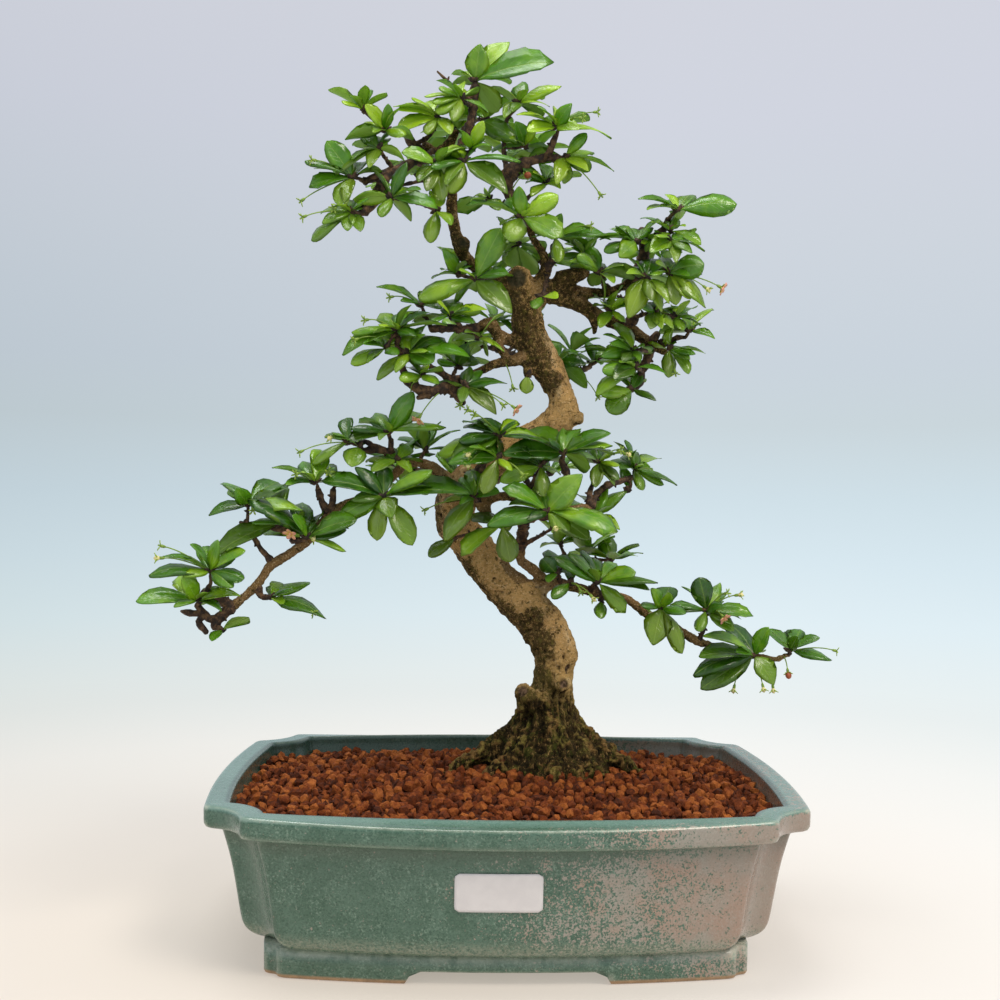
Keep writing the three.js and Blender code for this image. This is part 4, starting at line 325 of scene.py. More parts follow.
wood: -87 -24 203 2.9,-90 -25 209 2.4,-92 -26 215 2.2
wood: -86 -24 204 2.8,-85 -24 210 2.2,-85 -23 215 1.9
wood: -92 -26 215 1.4,-92 -29 217 1.2
wood: -85 -23 215 1.4,-84 -22 217 1.1
tuft -93 -30 218 3: -20 -5 7 2,-15 -8 -3 2,-13 -9 -1 1,-5 -11 5 2,10 -10 7 2
tuft -84 -22 218 2: 9 -11 -1 -3,-2 -11 7 2,5 -11 6 3
spray left_knee:
wood: -99 -27 188 2.6,-105 -28 194 2.4,-112 -28 196 1.9,-118 -28 197 1.2
wood: -104 -27.2 190.4 2.1,-97 -33 191 1.3
wood: -118 -28 197 1.2,-115 -31 198 1
wood: -112 -28 196 1.1,-107 -30 197 1,-111 -32 198 0.9
wood: -106 -28 194 1.2,-102 -29 195 1,-100 -30 196 0.9
tuft -96 -34 192 2: 24 -6 9 3,19 -4 4 4 9,19 -5 -6 1,-6 -10 11 5,-27 -8 18 2
tuft -111 -32 198 1: -28 -8 -15 3,10 10 -3 3
tuft -100 -30 196 1: -22 -6 3 2,2 -11 9 3
spray left_arc:
wood: -113 -29 180 2.4,-118 -30 186 1.7,-122 -31 192 1.7,-125 -32 197 2.4,-128 -32 199 1
wood: -125 -32 197 1.4,-124 -34 202 1.1,-124 -34 206 1
tuft -124 -34 207 2: -4 -11 8 6 8,14 -9 6 3,-18 -3 -5 3,27 -6 -2 2,18 -4 -6 3,-10 -10 -1 2
spray left_end:
wood: -131 -33 159 3.6,-136 -34 154 3.1,-139 -35 149 2.5
wood: -135 -34 155 2.9,-140 -35 153 2.6,-144 -36 156 2.7,-147 -36 160 2.1
wood: -143 -36 155 2.4,-146 -37 152 2.3,-142 -38 147 1.8
wood: -145 -36 156 2.2,-150 -37 156 2,-154 -38 157 0.8
wood: -130 -33 159 3.3,-136 -35 162 2.9,-141 -37 165 2.7,-144 -38 166 1.9
wood: -143 -37 166 1.6,-140 -40 170 1.3,-140 -41 174 1.2
wood: -147 -36 159 1.5,-146 -39 161 1.2
wood: -139 -35 150 1.4,-136 -36 148 0.9
wood: -140 -41 174 0.8,-140 -41 176 0.7
tuft -140 -41 176 1: -27 -7 -2 3,5 -8 15 4 8,-8 -8 13 3,-21 -6 7 1,17 -4 10 4,17 -8 -3 4,-11 -9 -2 3,12 -9 -7 6
tuft -146 -40 162 1: -27 -7 0 3,-5 -10 12 6 9,-9 -10 -2 2,13 -10 -4 -2,21 -5 3 3,6 -11 5 3
tuft -135 -36 148 0: 14 -9 7 -2,-3 -11 -4 2
spray left_low_spur:
wood: -120 -31 169 2.6,-118 -30 164 2.2,-115 -29 163 1.5
wood: -115 -29 163 1.3,-112 -30 163 1.1
tuft -113 -30 163 1: 11 -10 5 2,27 -7 -9 2,7 -11 -2 3
spray pad_left:
wood: -19 6 213 3.5,-15 -8 225 2.7,-10 -14 235 2.3,-6 -18 240 1.9
wood: -6 -18 240 1.5,-5 -24 242 1.3
wood: -14 -8 224 2,-12 -22 229 1.5,-11 -30 234 1.2
wood: -11 -30 234 1.1,-8 -32 232 1,-6 -32 231 1
tuft -5 -25 242 2: -20 -5 -3 2,-8 -11 5 2,-24 -7 -13 4,-30 8 -9 3,7 -10 7 4,20 3 -1 2
tuft -6 -32 231 1: -24 -6 -3 4,-7 -5 -17 4 9,-14 -9 5 2,6 -11 -6 3
spray pad_low_left:
wood: -14 -2 211 2,-16 -16 211 1.5,-17 -22 211 1.3
tuft -17 -23 212 2: -18 -4 7 3,-14 -6 -21 5,-2 -9 13 4 8,7 -10 10 4,12 -10 3 4,-7 -11 -3 3
spray pad_front:
wood: 7 8 187 3.5,8 0 194 3.5,8 -8 200 3.2,13 -16 203 2.5,19 -24 203 2.2
wood: 9 4 189 1.7,12 -4 191 1.5,18 -12 195 1.2,22 -16 198 1
wood: 19 -24 203 1.7,18 -30 205 1.3
wood: 8 -8 200 1.7,3 -14 200 1.3,-2 -18 200 1.2
wood: -2 -18 200 1,-14 -14 196 0.9,-26 -6 192 0.8
wood: 18 -30 205 0.8,18 -32 206 0.7
tuft 18 -32 206 1: -29 -7 -7 5,20 -6 -13 5,12 -7 -12 4 9,16 -6 18 7 15,20 -5 -4 -2,-22 -6 11 3,-10 -10 -4 3,
 33 -9 -9 3
tuft -3 -19 199 1: 4 -4 -18 6 11,-20 -6 -15 4
tuft -26 -6 192 0: -13 -8 -9 4 8
spray pad_top:
wood: 26 -12 208 2.4,28 -16 217 2.4,28 -20 224 2.6,25 -22 231 1.9
wood: 25 -22 231 1.6,26 -25 233 1.4
tuft 26 -26 234 1: -30 -8 8 2,7 10 12 3,22 -6 10 2,23 -6 4 1,24 -6 0 1,12 -9 -7 -5 11,-8 -11 6 4,-30 -7 -1 3,
 8 -10 7 3
spray pad_mid:
wood: 8 -14 211 2,11 -20 219 1.5,14 -24 226 1.3
wood: 10 -18 217 1.7,9 4 226 1.5,11 22 236 1.3
wood: 14 -24 226 0.8,15 -25 228 0.7
wood: 11 22 236 0.8,11 24 238 0.7
tuft 15 -25 228 2: -20 -5 -8 5,-18 -6 0 3,9 -10 -4 -2,-10 -10 8 3,1 -8 -15 4,-13 -9 5 3
tuft 11 24 238 4: 8 -9 10 3,-15 -9 2 2,16 -7 3 3,0 -11 8 4
spray pad_right:
wood: 42 0 208 2.7,46 8 215 2.4,53 14 220 2.5,60 20 222 2,67 26 224 1.6
wood: 41 0 209 2.3,42 4 216 1.8,44 8 221 1.4
wood: 44 8 221 1.3,46 10 227 1.2,47 10 230 1.1
wood: 67 26 224 1.4,67 26 227 1.3
wood: 63 23 223 1.2,65 22 220 1.1,64 22 217 0.9
wood: 42 0 208 1.7,44 1 205 1.3
tuft 47 10 231 3: -3 -10 -13 5,-12 -10 3 4,9 -10 -2 3,9 -9 -9 2,7 -9 -12 2,5 -11 5 3
tuft 67 26 228 3: 7 -11 1 4 6,-9 -11 0 3,3 -11 2 4,22 -6 -8 1,15 -6 -8 1,3 -10 -11 4,-6 -8 15 2,0 -10 10 2
tuft 64 22 217 0: -17 -1 -11 3
tuft 45 2 204 2: 11 -9 -7 3,-8 -11 -5 3,6 -11 5 2
spray low_first:
wood: 45 29 164 2.1,47 22 168 1.6,48 18 169 1.4
wood: 47 21 167 1.4,50 22 163 1.2,50 23 160 1
tuft 48 17 169 2: -25 -7 13 2,-16 -5 15 2,-20 -5 6 3,-5 -11 8 4,19 -5 6 4,30 -8 1 1,26 -7 -3 1,14 -5 -15 5,
 -18 -4 6 2
tuft 50 23 159 0: -1 -11 -8 5 7
spray low_start:
wood: 29 26 168 1.8,28 16 172 1.2,26 12 174 1.1
wood: 28 17 171 1,31 13 170 0.9,33 12 169 0.8
tuft 26 11 174 1: -8 -10 8 6 9,-5 -11 -4 3
tuft 33 12 169 0: -10 -10 -7 4
spray low_dark:
wood: 81 33 150 1.8,81 26 154 1.5,82 23 155 1.3
tuft 82 22 156 1: -12 -10 2 3,11 -10 -2 4 8,-5 -5 -19 7 15,-7 -10 11 5 8,2 -11 9 5,10 -7 -23 2
spray low_tall:
wood: 104 36 137 1.8,107 34 146 1.5,107 32 153 1.4
tuft 107 31 154 2: -5 -5 18 7 13,-20 -4 3 2,-18 -7 0 2,7 -11 4 4 7,24 -6 -2 2,18 -4 -4 2,14 -7 -7 5,14 -5 -10 4,
 -6 -10 -10 3
spray low_toothed:
wood: 131 41 130 1.5,134 37 129 1.4
tuft 134 36 130 2: -29 -7 11 2,6 -7 16 6 9,-31 -7 0 3,-30 -8 -17 5,-34 -8 -10 2,10 -4 -15 7 14,-12 -10 3 3
spray low_tip:
wood: 154 44 129 1.5,155 43 131 1.3
tuft 155 42 132 2: -12 -9 11 4,1 -11 9 5 7,14 -7 8 3,21 -6 -4 2
spray behind_mid:
wood: 15 8 286 3,7 44 288 2.5,-5 68 294 1.9,-19 80 298 1.6
wood: -5 68 294 1.7,-5 74 302 1.3,-6 76 309 1.1
wood: -13 75 296 1.5,-21 72 290 1.2,-29 70 287 1.1
wood: 1 56 291 1.6,6 64 297 1.2,8 66 299 1.1
wood: -19 80 298 0.8,-21.3 83.5 299.2 0.7
tuft -21 83 299 8:
tuft -6 76 310 7:
tuft -29 70 287 7:
tuft 8 66 299 6:
spray behind_low:
wood: -23 18 211 3.6,-13 56 216 2.7,-1 82 223 2,8 96 229 1.6
wood: -2 80 223 1.7,-7 88 228 1.4,-9 92 232 1.1
wood: 4 89 226 1.6,17 88 225 1.4,28 86 226 1.1
wood: -14 54 216 1.8,-20 66 218 1.4,-25 73 221 1.1
wood: 8 96 229 0.8,11.4 99.4 231.3 0.7
wood: -25 73 221 0.8,-26 74 222 0.7
tuft 11 99 231 8:
tuft -9 92 232 7:
tuft 28 86 226 7:
tuft -26 74 222 7:
spray behind_left:
wood: -34 6 223 2,-45 36 226 1.8,-56 52 228 1.5
wood: -49 43 227 1.5,-45 48 233 1.3,-43 50 237 1.1
wood: -52 47 228 1.4,-53 47 221 1.2,-54 46 217 1.1
wood: -56 52 228 0.8,-59.4 55.4 229.1 0.7
tuft -59 55 229 7:
tuft -43 50 237 7:
tuft -54 46 217 6:
spray behind_low_right:
wood: 21 26 167 2.6,32 62 173 2.2,47 84 180 1.7
wood: 38 72 176 1.7,35 80 182 1.3,33 82 186 1.1
wood: 44 80 179 1.6,54 78 178 1.3,62 76 178 1.1
wood: 47 84 180 0.8,50.4 87.4 181.1 0.7
tuft 50 87 181 8:
tuft 33 82 186 7:
tuft 62 76 178 7:
star: -77 -33 363,-100.4 -38 350.5
star: -77 -36 346,-98.8 -44 341.7
star: -77 -36 346,-84.5 -44 346.2
star: -77 -33 363,-95.3 -41 369.1
star: 21.5 -10 395,33.1 -18 398.2
star: 21 -10 396,40.4 -18 401.3
star: 26 -6 382,43.3 -12.3 362.2
star: 22 -6 342,38.2 -14 346.5
bud: -1 2 365,-1 -6 357.7
bud: -1 2 365,2 -6 353.8
berry: -1 2 365,6.2 -6 372.2
flower right_edge: 78 -9 325,102.7 -16.7 317.2
bud: 78 -9 325,95.4 -17 316.6
star: 82 10 289,83.9 2 276.5
star: 39 50.7 280.3,49.3 42.7 266.7
star: -55 -34 291,-69.5 -42 294.6
star: -58 -36 286,-73.9 -44 284.9
star: -44 -12 306,-59.1 -20 308.8
flower mid_left: -32 -17.3 265.3,-44.1 -25.3 250.1
flower mid_right: -22 -26 266,1.5 -33.6 255.2
star: -22 -26 266,-4 -34 256.4
star: -5 -25 242,-20.6 -33 253.8
star: -5 -25 242,-17.3 -33 251.5
star: -2.4 -3.6 279.8,1.5 -11.6 266.4
star: -23 -19 258,-24.5 -27 256.6
bud: -11 -30 234,-19.4 -38 233.2
bud: -11 -30 234,-19.4 -38 228.5
star: -17 -23 212,-40.5 -31 205.9
bud: 18 -30 205,21.3 -38 199.3
star: -6 -32 231,5.7 -40 223.2
star: 47 10 231,56.6 2 237.1
bud: 47 10 231,59.6 2 235.2
star: -78 -22 238,-100.4 -30 232.7
bud: -78 -22 238,-85.3 -30 240.1
star: -93 -30 218,-86.2 -38 223.3
star: -93 -30 218,-101.1 -38 222.1
flower left_knee: -100 -30 196,-103.1 -38 194.8
bud: -104 -27.2 190.4,-93.5 -35.2 192
star: -124 -34 207,-120.4 -42 204.9
star: -140 -41 176,-161.3 -49 187.9
bud: -140 -41 176,-161.7 -49 182.3
star: -112 -30 163,-92.3 -38 156.8
star: 33 12 169,38.1 4 165.1
bud: 33 12 169,43.7 4 162.6
bud: 70.6 32.2 155.8,76.3 24.2 153.6
flower low_branch: 107 31 154,114.4 23 151.6
star: 107 31 154,116.3 23 164.1
bud: 107 31 154,122.1 23 163.1
bud: 128.8 40.8 130.5,122.8 32.8 113.1
bud: 134 37 129,137.4 29 114.3
bud: 142.3 42.3 128.3,144 34.3 113.1
berry: 151.7 43.7 129,152.2 35.7 121.5
star: 155 42 132,177.4 34 133.2
"""


@dataclass
class Spray:
    """One leafy spray: the routes of its twigs and its tufts."""

    wood: list[list[Station]]
    tufts: list[Tuft]


def read_plan(text: str) -> tuple[dict[str, list[Station]], dict[str, Spray], list[tuple]]:
    """Reads the measured plan.

    Args:
        text: its lines.

    Returns:
        The trunk's limbs by name, the sprays by name, and the blooms as kind, name, foot and head.
    """
    limbs, sprays, blooms = {}, {}, []
    for line in text.replace(",\n", ",").strip().splitlines():
        label, _, rest = line.partition(":")
        kind, *words = label.split()
        rows = [tuple(map(float, row.split())) for row in rest.split(",") if row.strip()]
        if kind == "limb":
            limbs[words[0]] = rows
        elif kind == "spray":
            sprays[words[0]] = spray = Spray([], [])
        elif kind == "wood":
            spray.wood.append(rows)
        elif kind == "tuft":
            leaves = [row if len(row) == 5 else (*row, 0.0) for row in rows]
            spray.tufts.append((tuple(map(float, words[:3])), int(words[3]), leaves))
        else:
            blooms.append((kind, "".join(words), *rows))
    return limbs, sprays, blooms


TRUNK_ROUTES, SPRAYS, BLOOMS = read_plan(PLAN)


def draw(index: float, purpose: float) -> float:
    """Returns a repeatable draw between 0 and 1 for a number and a purpose."""
    value = math.sin(index * 12.9898 + purpose * 78.233 + 41) * 43758.5453
    return value - math.floor(value)


def tint_of(code: Tone) -> tuple[float, float, float, float] | Socket:
    """Turns a hex colour into the linear colour that a shader takes, and leaves a socket as it is.

    Args:
        code: the hex colour or the socket.

    Returns:
        The linear colour, or the socket.
    """
    if not isinstance(code, str):
        return code
    parts = [int(code[i:i + 2], 16) / 255 for i in (1, 3, 5)]
    linear = [c / 12.92 if c <= 0.04045 else ((c + 0.055) / 1.055) ** 2.4 for c in parts]
    return (*linear, 1.0)


class NodeGraph:
    """A node tree, built by short calls that take numbers or other nodes' sockets."""

    def __init__(self, tree: bpy.types.NodeTree) -> None:
        """Takes the tree to fill."""
        self.tree = tree

    def feed(self, socket: Socket, value: object) -> None:
        """Links a socket to another, or sets its value.

        Args:
            socket: the one that takes it.
            value: a socket or a plain value.
        """
        if isinstance(value, Socket):
            self.tree.links.new(value, socket)
        else:
            socket.default_value = value

    def add(self, kind: str, *values: object, **inputs: object) -> Node:
        """Adds a node.

        Args:
            kind: the node's type, with its properties after it as in "ShaderNodeMath operation=ADD".
            values: its inputs in their order, where None leaves one as it is.
            inputs: its inputs by name, with _ for a space.

        Returns:
            The node.
        """
        kind, *settings = kind.split()
        node = self.tree.nodes.new(kind)
        for setting in settings:
            setattr(node, *setting.split("="))
        for socket, value in zip(node.inputs, values):
            if value is not None:
                self.feed(socket, value)
        for name, value in inputs.items():
            self.feed(node.inputs[name.replace("_", " ")], value)
        return node


class ShaderGraph(NodeGraph):
    """One material's node tree. Noise and relief are given in millimetres."""

    def __init__(self, name: str) -> None:
        """Starts an empty material of that name.

        Args:
            name: the name.
        """
        self.material = bpy.data.materials.new(name)
        self.material.use_nodes = True
        super().__init__(self.material.node_tree)
        self.tree.nodes.clear()
        self.output = self.add("ShaderNodeOutputMaterial")

    def place(self, scale: Triple = (1, 1, 1)) -> Socket:
        """Returns the point on the object, in metres, stretched by scale."""
        coords = self.add("ShaderNodeTexCoord").outputs["Object"]
        return coords if scale == (1, 1, 1) else self.add("ShaderNodeMapping", Vector=coords, Scale=scale).outputs[0]

    def axis(self, vector: Socket, which: int) -> Socket:
        """Returns one component of a vector."""
        return self.add("ShaderNodeSeparateXYZ", Vector=vector).outputs[which]

    def attribute(self, name: str) -> Socket:
        """Returns a named attribute of the mesh as a number."""
        return self.add(f"ShaderNodeAttribute attribute_name={name}").outputs["Fac"]

    def noise(self, size: float, detail: float = 3, roughness: float = 0.55,
              stretch: Triple = (1, 1, 1), swirl: float = 0) -> Socket:
        """Returns cloudy noise.

        Args:
            size: how far across its features are.
            detail: how many finer layers it has.
            roughness: how strong those are.
            stretch: how much it is pressed together along each axis.
            swirl: how far it is distorted.

        Returns:
            The socket of its value.
        """
        return self.add("ShaderNodeTexNoise", Vector=self.place(stretch), Scale=1 / (size * MM), Detail=detail,
                        Roughness=roughness, Distortion=swirl).outputs["Fac"]

    def math(self, operation: str, *values: Number) -> Socket:
        """Returns an operation on numbers."""
        return self.add(f"ShaderNodeMath operation={operation}", *values).outputs[0]

    def plus(self, first: Number, second: Number) -> Socket:
        """Returns a sum."""
        return self.math("ADD", first, second)

    def times(self, first: Number, second: Number) -> Socket:
        """Returns a product."""
        return self.math("MULTIPLY", first, second)

    def span(self, value: Number, low: float, high: float, start: float = 0, end: float = 1,
             how: str = "SMOOTHSTEP") -> Socket:
        """Returns value taken from low..high to start..end, clamped."""
        return self.add(f"ShaderNodeMapRange interpolation_type={how}", value, low, high, start, end).outputs[0]

    def uneven(self, name: str, by: float, pattern: Socket) -> Socket:
        """Returns an attribute that a pattern takes up or down by as much as by."""
        return self.plus(self.attribute(name), self.span(pattern, 0.3, 0.7, -by, by))

    def mix(self, share: Number, first: Tone, second: Tone, blend: str = "MIX") -> Socket:
        """Returns two colours mixed.

        Args:
            share: how much of the second.
            first: a colour.
            second: another.
            blend: the way that they are mixed.

        Returns:
            The socket of the colour.
        """
        node = self.add(f"ShaderNodeMix data_type=RGBA blend_type={blend}", share)
        for socket, colour in zip(node.inputs[6:8], (first, second)):
            self.feed(socket, tint_of(colour))
        return node.outputs[2]

    def over(self, colour: Tone, other: Tone, pattern: Number, low: float, high: float, most: float = 1) -> Socket:
        """Returns a colour with another laid over it, up to most, as a pattern climbs from low to high."""
        return self.mix(self.span(pattern, low, high, 0, most), colour, other)

    def ramp(self, value: Number, *stops: tuple[float, str]) -> Socket:
        """Returns a colour read off a scale.

        Args:
            value: where to read.
            stops: positions with hex colours.

        Returns:
            The socket of the colour.
        """
        node = self.add("ShaderNodeValToRGB", Fac=value)
        elements = node.color_ramp.elements
        while len(elements) < len(stops):
            elements.new(0.5)
        for element, (position, code) in zip(elements, stops):
            element.position, element.color = position, tint_of(code)
        return node.outputs["Color"]

    def bump(self, height: Number, depth: float, strength: float = 1, under: Socket | None = None) -> Socket:
        """Returns a normal for a relief of that depth, laid over another relief if given."""
        return self.add("ShaderNodeBump", Height=height, Distance=depth * MM, Strength=strength,
                        **({"Normal": under} if under else {})).outputs["Normal"]

    def finish(self, through: tuple[str, float] | None = None, **inputs: object) -> Material:
        """Ends the material with its surface.

        Args:
            through: a hex colour and a share for the light that passes through a thin piece.
            inputs: the surface's own inputs.

        Returns:
            The material.
        """
        surface = self.add("ShaderNodeBsdfPrincipled", **inputs).outputs[0]
        if through:
            glow = self.add("ShaderNodeBsdfTranslucent", Color=tint_of(through[0])).outputs[0]
            surface = self.add("ShaderNodeMixShader", through[1], surface, glow).outputs[0]
        self.feed(self.output.inputs["Surface"], surface)
        return self.material


class NodeRecipe(NodeGraph):
    """A Geometry Nodes tree with named inputs."""

    def __init__(self, name: str, **inputs: str) -> None:
        """Starts a tree.

        Args:
            name: its name.
            inputs: the type of each input by its name.
        """
        super().__init__(bpy.data.node_groups.new(name, "GeometryNodeTree"))
        new = self.tree.interface.new_socket
        for key, kind in {"Geometry": "Geometry", **inputs}.items():
            new(key.replace("_", " "), in_out="INPUT", socket_type=f"NodeSocket{kind}")
        new("Geometry", in_out="OUTPUT", socket_type="NodeSocketGeometry")
        self.source = self.add("NodeGroupInput").outputs

    def named(self, name: str, kind: str) -> Socket:
        """Returns a named attribute of that type."""
        node = self.add(f"GeometryNodeInputNamedAttribute data_type={kind}", Name=name)
        return next(out for out in node.outputs if out.enabled and out.name == "Attribute")

    def random(self, kind: str, low: object, high: object, seed: int) -> Socket:
        """Returns a random value a point.

        Args:
            kind: its type.
            low: the least it may be.
            high: the most it may be.
            seed: which draw.

        Returns:
            The socket of the value.
        """
        node = self.add(f"FunctionNodeRandomValue data_type={kind}")
        sockets = {socket.name: socket for socket in node.inputs if socket.enabled}
        for name, value in (("Min", low), ("Max", high), ("Seed", seed)):
            self.feed(sockets[name], value)
        return next(out for out in node.outputs if out.enabled)

    def shapes(self, name: str) -> Socket:
        """Returns the shapes of the collection that an input names, one instance each."""
        return self.add("GeometryNodeCollectionInfo", Collection=self.source[name], Separate_Children=True,
                        Reset_Children=True).outputs[0]

    def end(self, instances: Socket, *others: Socket) -> None:
        """Ends the tree: makes the instances real, joins the others to them and gives all the finish.

        Args:
            instances: what is made real.
            others: what is joined as it is.
        """
        solid = self.add("GeometryNodeRealizeInstances", Geometry=instances).outputs[0]
        if others:
            both = self.add("GeometryNodeJoinGeometry")
            for part in (*others, solid):
                self.feed(both.inputs[0], part)
            solid = both.outputs[0]
        done = self.add("GeometryNodeSetMaterial", Geometry=solid, Material=self.source["Finish"])
        self.add("NodeGroupOutput", done.outputs[0])

    def run(self, piece: Object, **values: object) -> Object:
        """Puts the tree on a piece and turns the result into a plain mesh.

        Args:
            piece: the piece.
            values: the tree's inputs by name, with _ for a space.

        Returns:
            The piece.
        """
        modifier = piece.modifiers.new("recipe", "NODES")
        modifier.node_group = self.tree
        for item in self.tree.interface.items_tree:
            key = item.name.replace(" ", "_").lower()
            if item.in_out == "INPUT" and key in values:
                modifier[item.identifier] = values[key]
        return settled(piece)


@dataclass(frozen=True)
class LeafFinish:
    """Glossy upper face, paler underside, a faint light midrib and sunken side veins."""

    deep: str = "#1d450a"
    grown: str = "#578f16"
    young: str = "#aed428"
    olive: str = "#86982b"
    underside: str = "#8fae3c"
    rib: str = "#b4d05c"
    sap: str = "#a6d41c"
    gloss: float = 0.24

    def build(self) -> Material:
        """Makes the material, which reads the attributes age, olive and under and the UV map blade.

        Returns:
            The material.
        """
        g = ShaderGraph("leaf_green")
        age = g.uneven("age", 0.13, g.noise(9, 2))
        colour = g.ramp(age, (0, self.deep), (0.5, self.grown), (1, self.young))
        # olive: a random olive tone, and painted backlight on hanging leaves
        colour = g.mix(g.attribute("olive"), colour, self.olive)
        blade = g.add("ShaderNodeUVMap uv_map=blade").outputs[0]
        along = g.axis(blade, 1)
        side = g.math("ABSOLUTE", g.math("SUBTRACT", g.axis(blade, 0), 0.5))
        rib = g.span(g.math("DIVIDE", side, g.math("MULTIPLY_ADD", along, -0.02, 0.034)), 0.4, 1.3, 1, 0)
        slanted = g.math("SUBTRACT", g.times(along, 8.5), g.times(side, 6.0))
        wave = g.math("ABSOLUTE", g.math("SUBTRACT", g.math("FRACT", slanted), 0.5))
        veins = g.times(g.span(wave, 0.0, 0.1, 1, 0), g.span(side, 0.02, 0.4, 1, 0.1))
        colour = g.mix(g.times(rib, 0.3), colour, self.rib)
        colour = g.mix(g.times(veins, 0.1), colour, self.rib)
        colour = g.mix(g.times(g.attribute("under"), 0.7), colour, self.underside)
        normal = g.bump(g.math("SUBTRACT", 1.0, g.plus(rib, g.times(veins, 0.5))), 0.18, 0.7)
        normal = g.bump(g.noise(3.6, 2), 0.5, 0.7, normal)
        sheen = g.span(g.noise(12, 1), 0.3, 0.7, self.gloss - 0.06, self.gloss + 0.1)
        return g.finish(through=(self.sap, 0.28), Base_Color=colour, Normal=normal, Specular_IOR_Level=0.72,
                        Roughness=g.math("MULTIPLY_ADD", g.attribute("under"), 0.25, sheen))


@dataclass(frozen=True)
class BarkFinish:
    """Tan bark with broken mossy patches, browner on thin limbs and, with painted shade, almost black in the flare's
    hollows.
    """

    tan: str = "#d6aa6c"
    pale: str = "#f4d4a2"
    brown: str = "#9c7843"
    dark: str = "#140e05"
    patch: str = "#352e10"
    patch_green: str = "#57551c"
    limb: str = "#7d6040"
    root: str = "#a4924a"
    root_brown: str = "#8c6a3c"
    root_dark: str = "#2a1d0c"
    moss: str = "#454e18"
    moss_light: str = "#8f8440"
    leafy_moss: str = "#55801d"
    rust: str = "#643020"
    cut: str = "#4a3c2c"
    cut_light: str = "#90735a"
    cut_old: str = "#3c3f2a"

    def build(self) -> Material:
        """Makes the material, which reads the attributes moss, shade, crest, flare, girth and cut.

        Returns:
            The material.
        """
        g = ShaderGraph("bark")
        height = g.axis(g.place(), 2)
        colour = g.mix(g.span(height, 0.1, 0.15, 0.3, 0), self.stem(g), self.moss_light)
        colour = g.over(colour, self.flare(g, height), g.uneven("flare", 0.3, g.noise(7, 3, 0.7)), 0.1, 0.75, 0.95)
        # painted shade: hollows and the low knot holes go dark
        colour = g.over(colour, self.dark, g.uneven("shade", 0.2, g.noise(3, 3)), 0.12, 0.85, 0.85)
        wood = g.over(self.cut, self.cut_light, g.noise(1.6, 3), 0.35, 0.65)
        colour = g.mix(g.attribute("cut"), colour, g.over(wood, self.cut_old, height, 0.28, 0.31, 0.75))
        normal = g.bump(g.noise(1, 4, 0.8), 0.8, 1, g.bump(g.noise(3, 6, 0.78, (1, 1, 1.3)), 1.9))
        return g.finish(Base_Color=colour, Roughness=0.88, Normal=normal, Specular_IOR_Level=0.12)

    def stem(self, g: ShaderGraph) -> Socket:
        """Returns the colour of the stem and its limbs.

        Args:
            g: the material's graph.

        Returns:
            The socket of the colour.
        """
        tone = g.span(g.noise(14, 5, 0.7, (1, 1, 0.6), 0.4), 0.3, 0.7, how="LINEAR")
        colour = g.ramp(tone, (0, self.brown), (0.35, self.tan), (0.65, self.tan), (1, self.pale))
        colour = g.mix(g.span(g.attribute("girth"), 0.3, 0.6, 0.85, 0), colour, self.limb)
        colour = g.over(colour, self.brown, g.noise(1.7, 4, 0.8, (1, 1, 1.6)), 0.47, 0.66, 0.8)
        colour = g.over(colour, self.pale, g.noise(0.9, 3, 0.7), 0.53, 0.68, 0.7)
        colour = g.over(colour, self.patch, g.noise(2.8, 4, 0.7, swirl=0.3), 0.57, 0.66, 0.85)
        patch = g.over(self.dark, self.patch, g.noise(1.6, 4, 0.75), 0.4, 0.62)
        patch = g.over(patch, self.patch_green, g.noise(2.6, 3, 0.7), 0.5, 0.66, 0.8)
        patch = g.over(patch, self.tan, g.noise(1.9, 5, 0.85), 0.52, 0.62, 0.8)
        patch = g.over(patch, self.rust, g.noise(3.6, 4, 0.8), 0.6, 0.68, 0.7)
        # the moss mask also carries painted shade on the left and under sides
        mossy = g.plus(g.noise(4.4, 8, 0.9, (1, 1, 0.8), 0.4), g.span(g.attribute("moss"), 0, 1, -0.16, 0.16))
        return g.over(colour, patch, mossy, 0.485, 0.56, 0.88)

    def flare(self, g: ShaderGraph, height: Socket) -> Socket:
        """Returns the colour of the root flare.

        Args:
            g: the material's graph.
            height: the height above the floor.

        Returns:
            The socket of the colour.
        """
        drawn = (1, 1, 0.45)
        root = g.over(self.root, self.root_brown, g.noise(7, 4), 0.38, 0.56)
        # crest: ridges lighter as a painted highlight, furrows near black as painted shade
        root = g.over(self.dark, root, g.uneven("crest", 0.5, g.noise(4, 5, 0.78)), 0.05, 0.75)
        root = g.over(root, self.dark, g.noise(15, 7, 0.72, drawn), 0.46, 0.54, 0.85)
        root = g.over(root, self.root_dark, g.noise(2.6, 6, 0.85, drawn), 0.5, 0.58, 0.6)
        root = g.over(root, self.moss, g.noise(6, 7, 0.85, swirl=0.4), 0.53, 0.58, 0.7)
        root = g.over(root, self.tan, g.noise(1.3, 4, 0.8, (1, 1, 0.4)), 0.56, 0.66, 0.6)
        root = g.over(root, self.moss_light, g.noise(1.1, 4, 0.8), 0.57, 0.68, 0.5)
        tufted = g.math("GREATER_THAN", g.noise(2.6, 5, 0.8), g.span(height, 0.068, 0.09, 0.62, 0.7))
        root = g.mix(g.times(tufted, 0.8), root, self.leafy_moss)
        return g.over(root, self.rust, g.noise(4.4, 4, 0.75, swirl=1), 0.63, 0.7, 0.75)


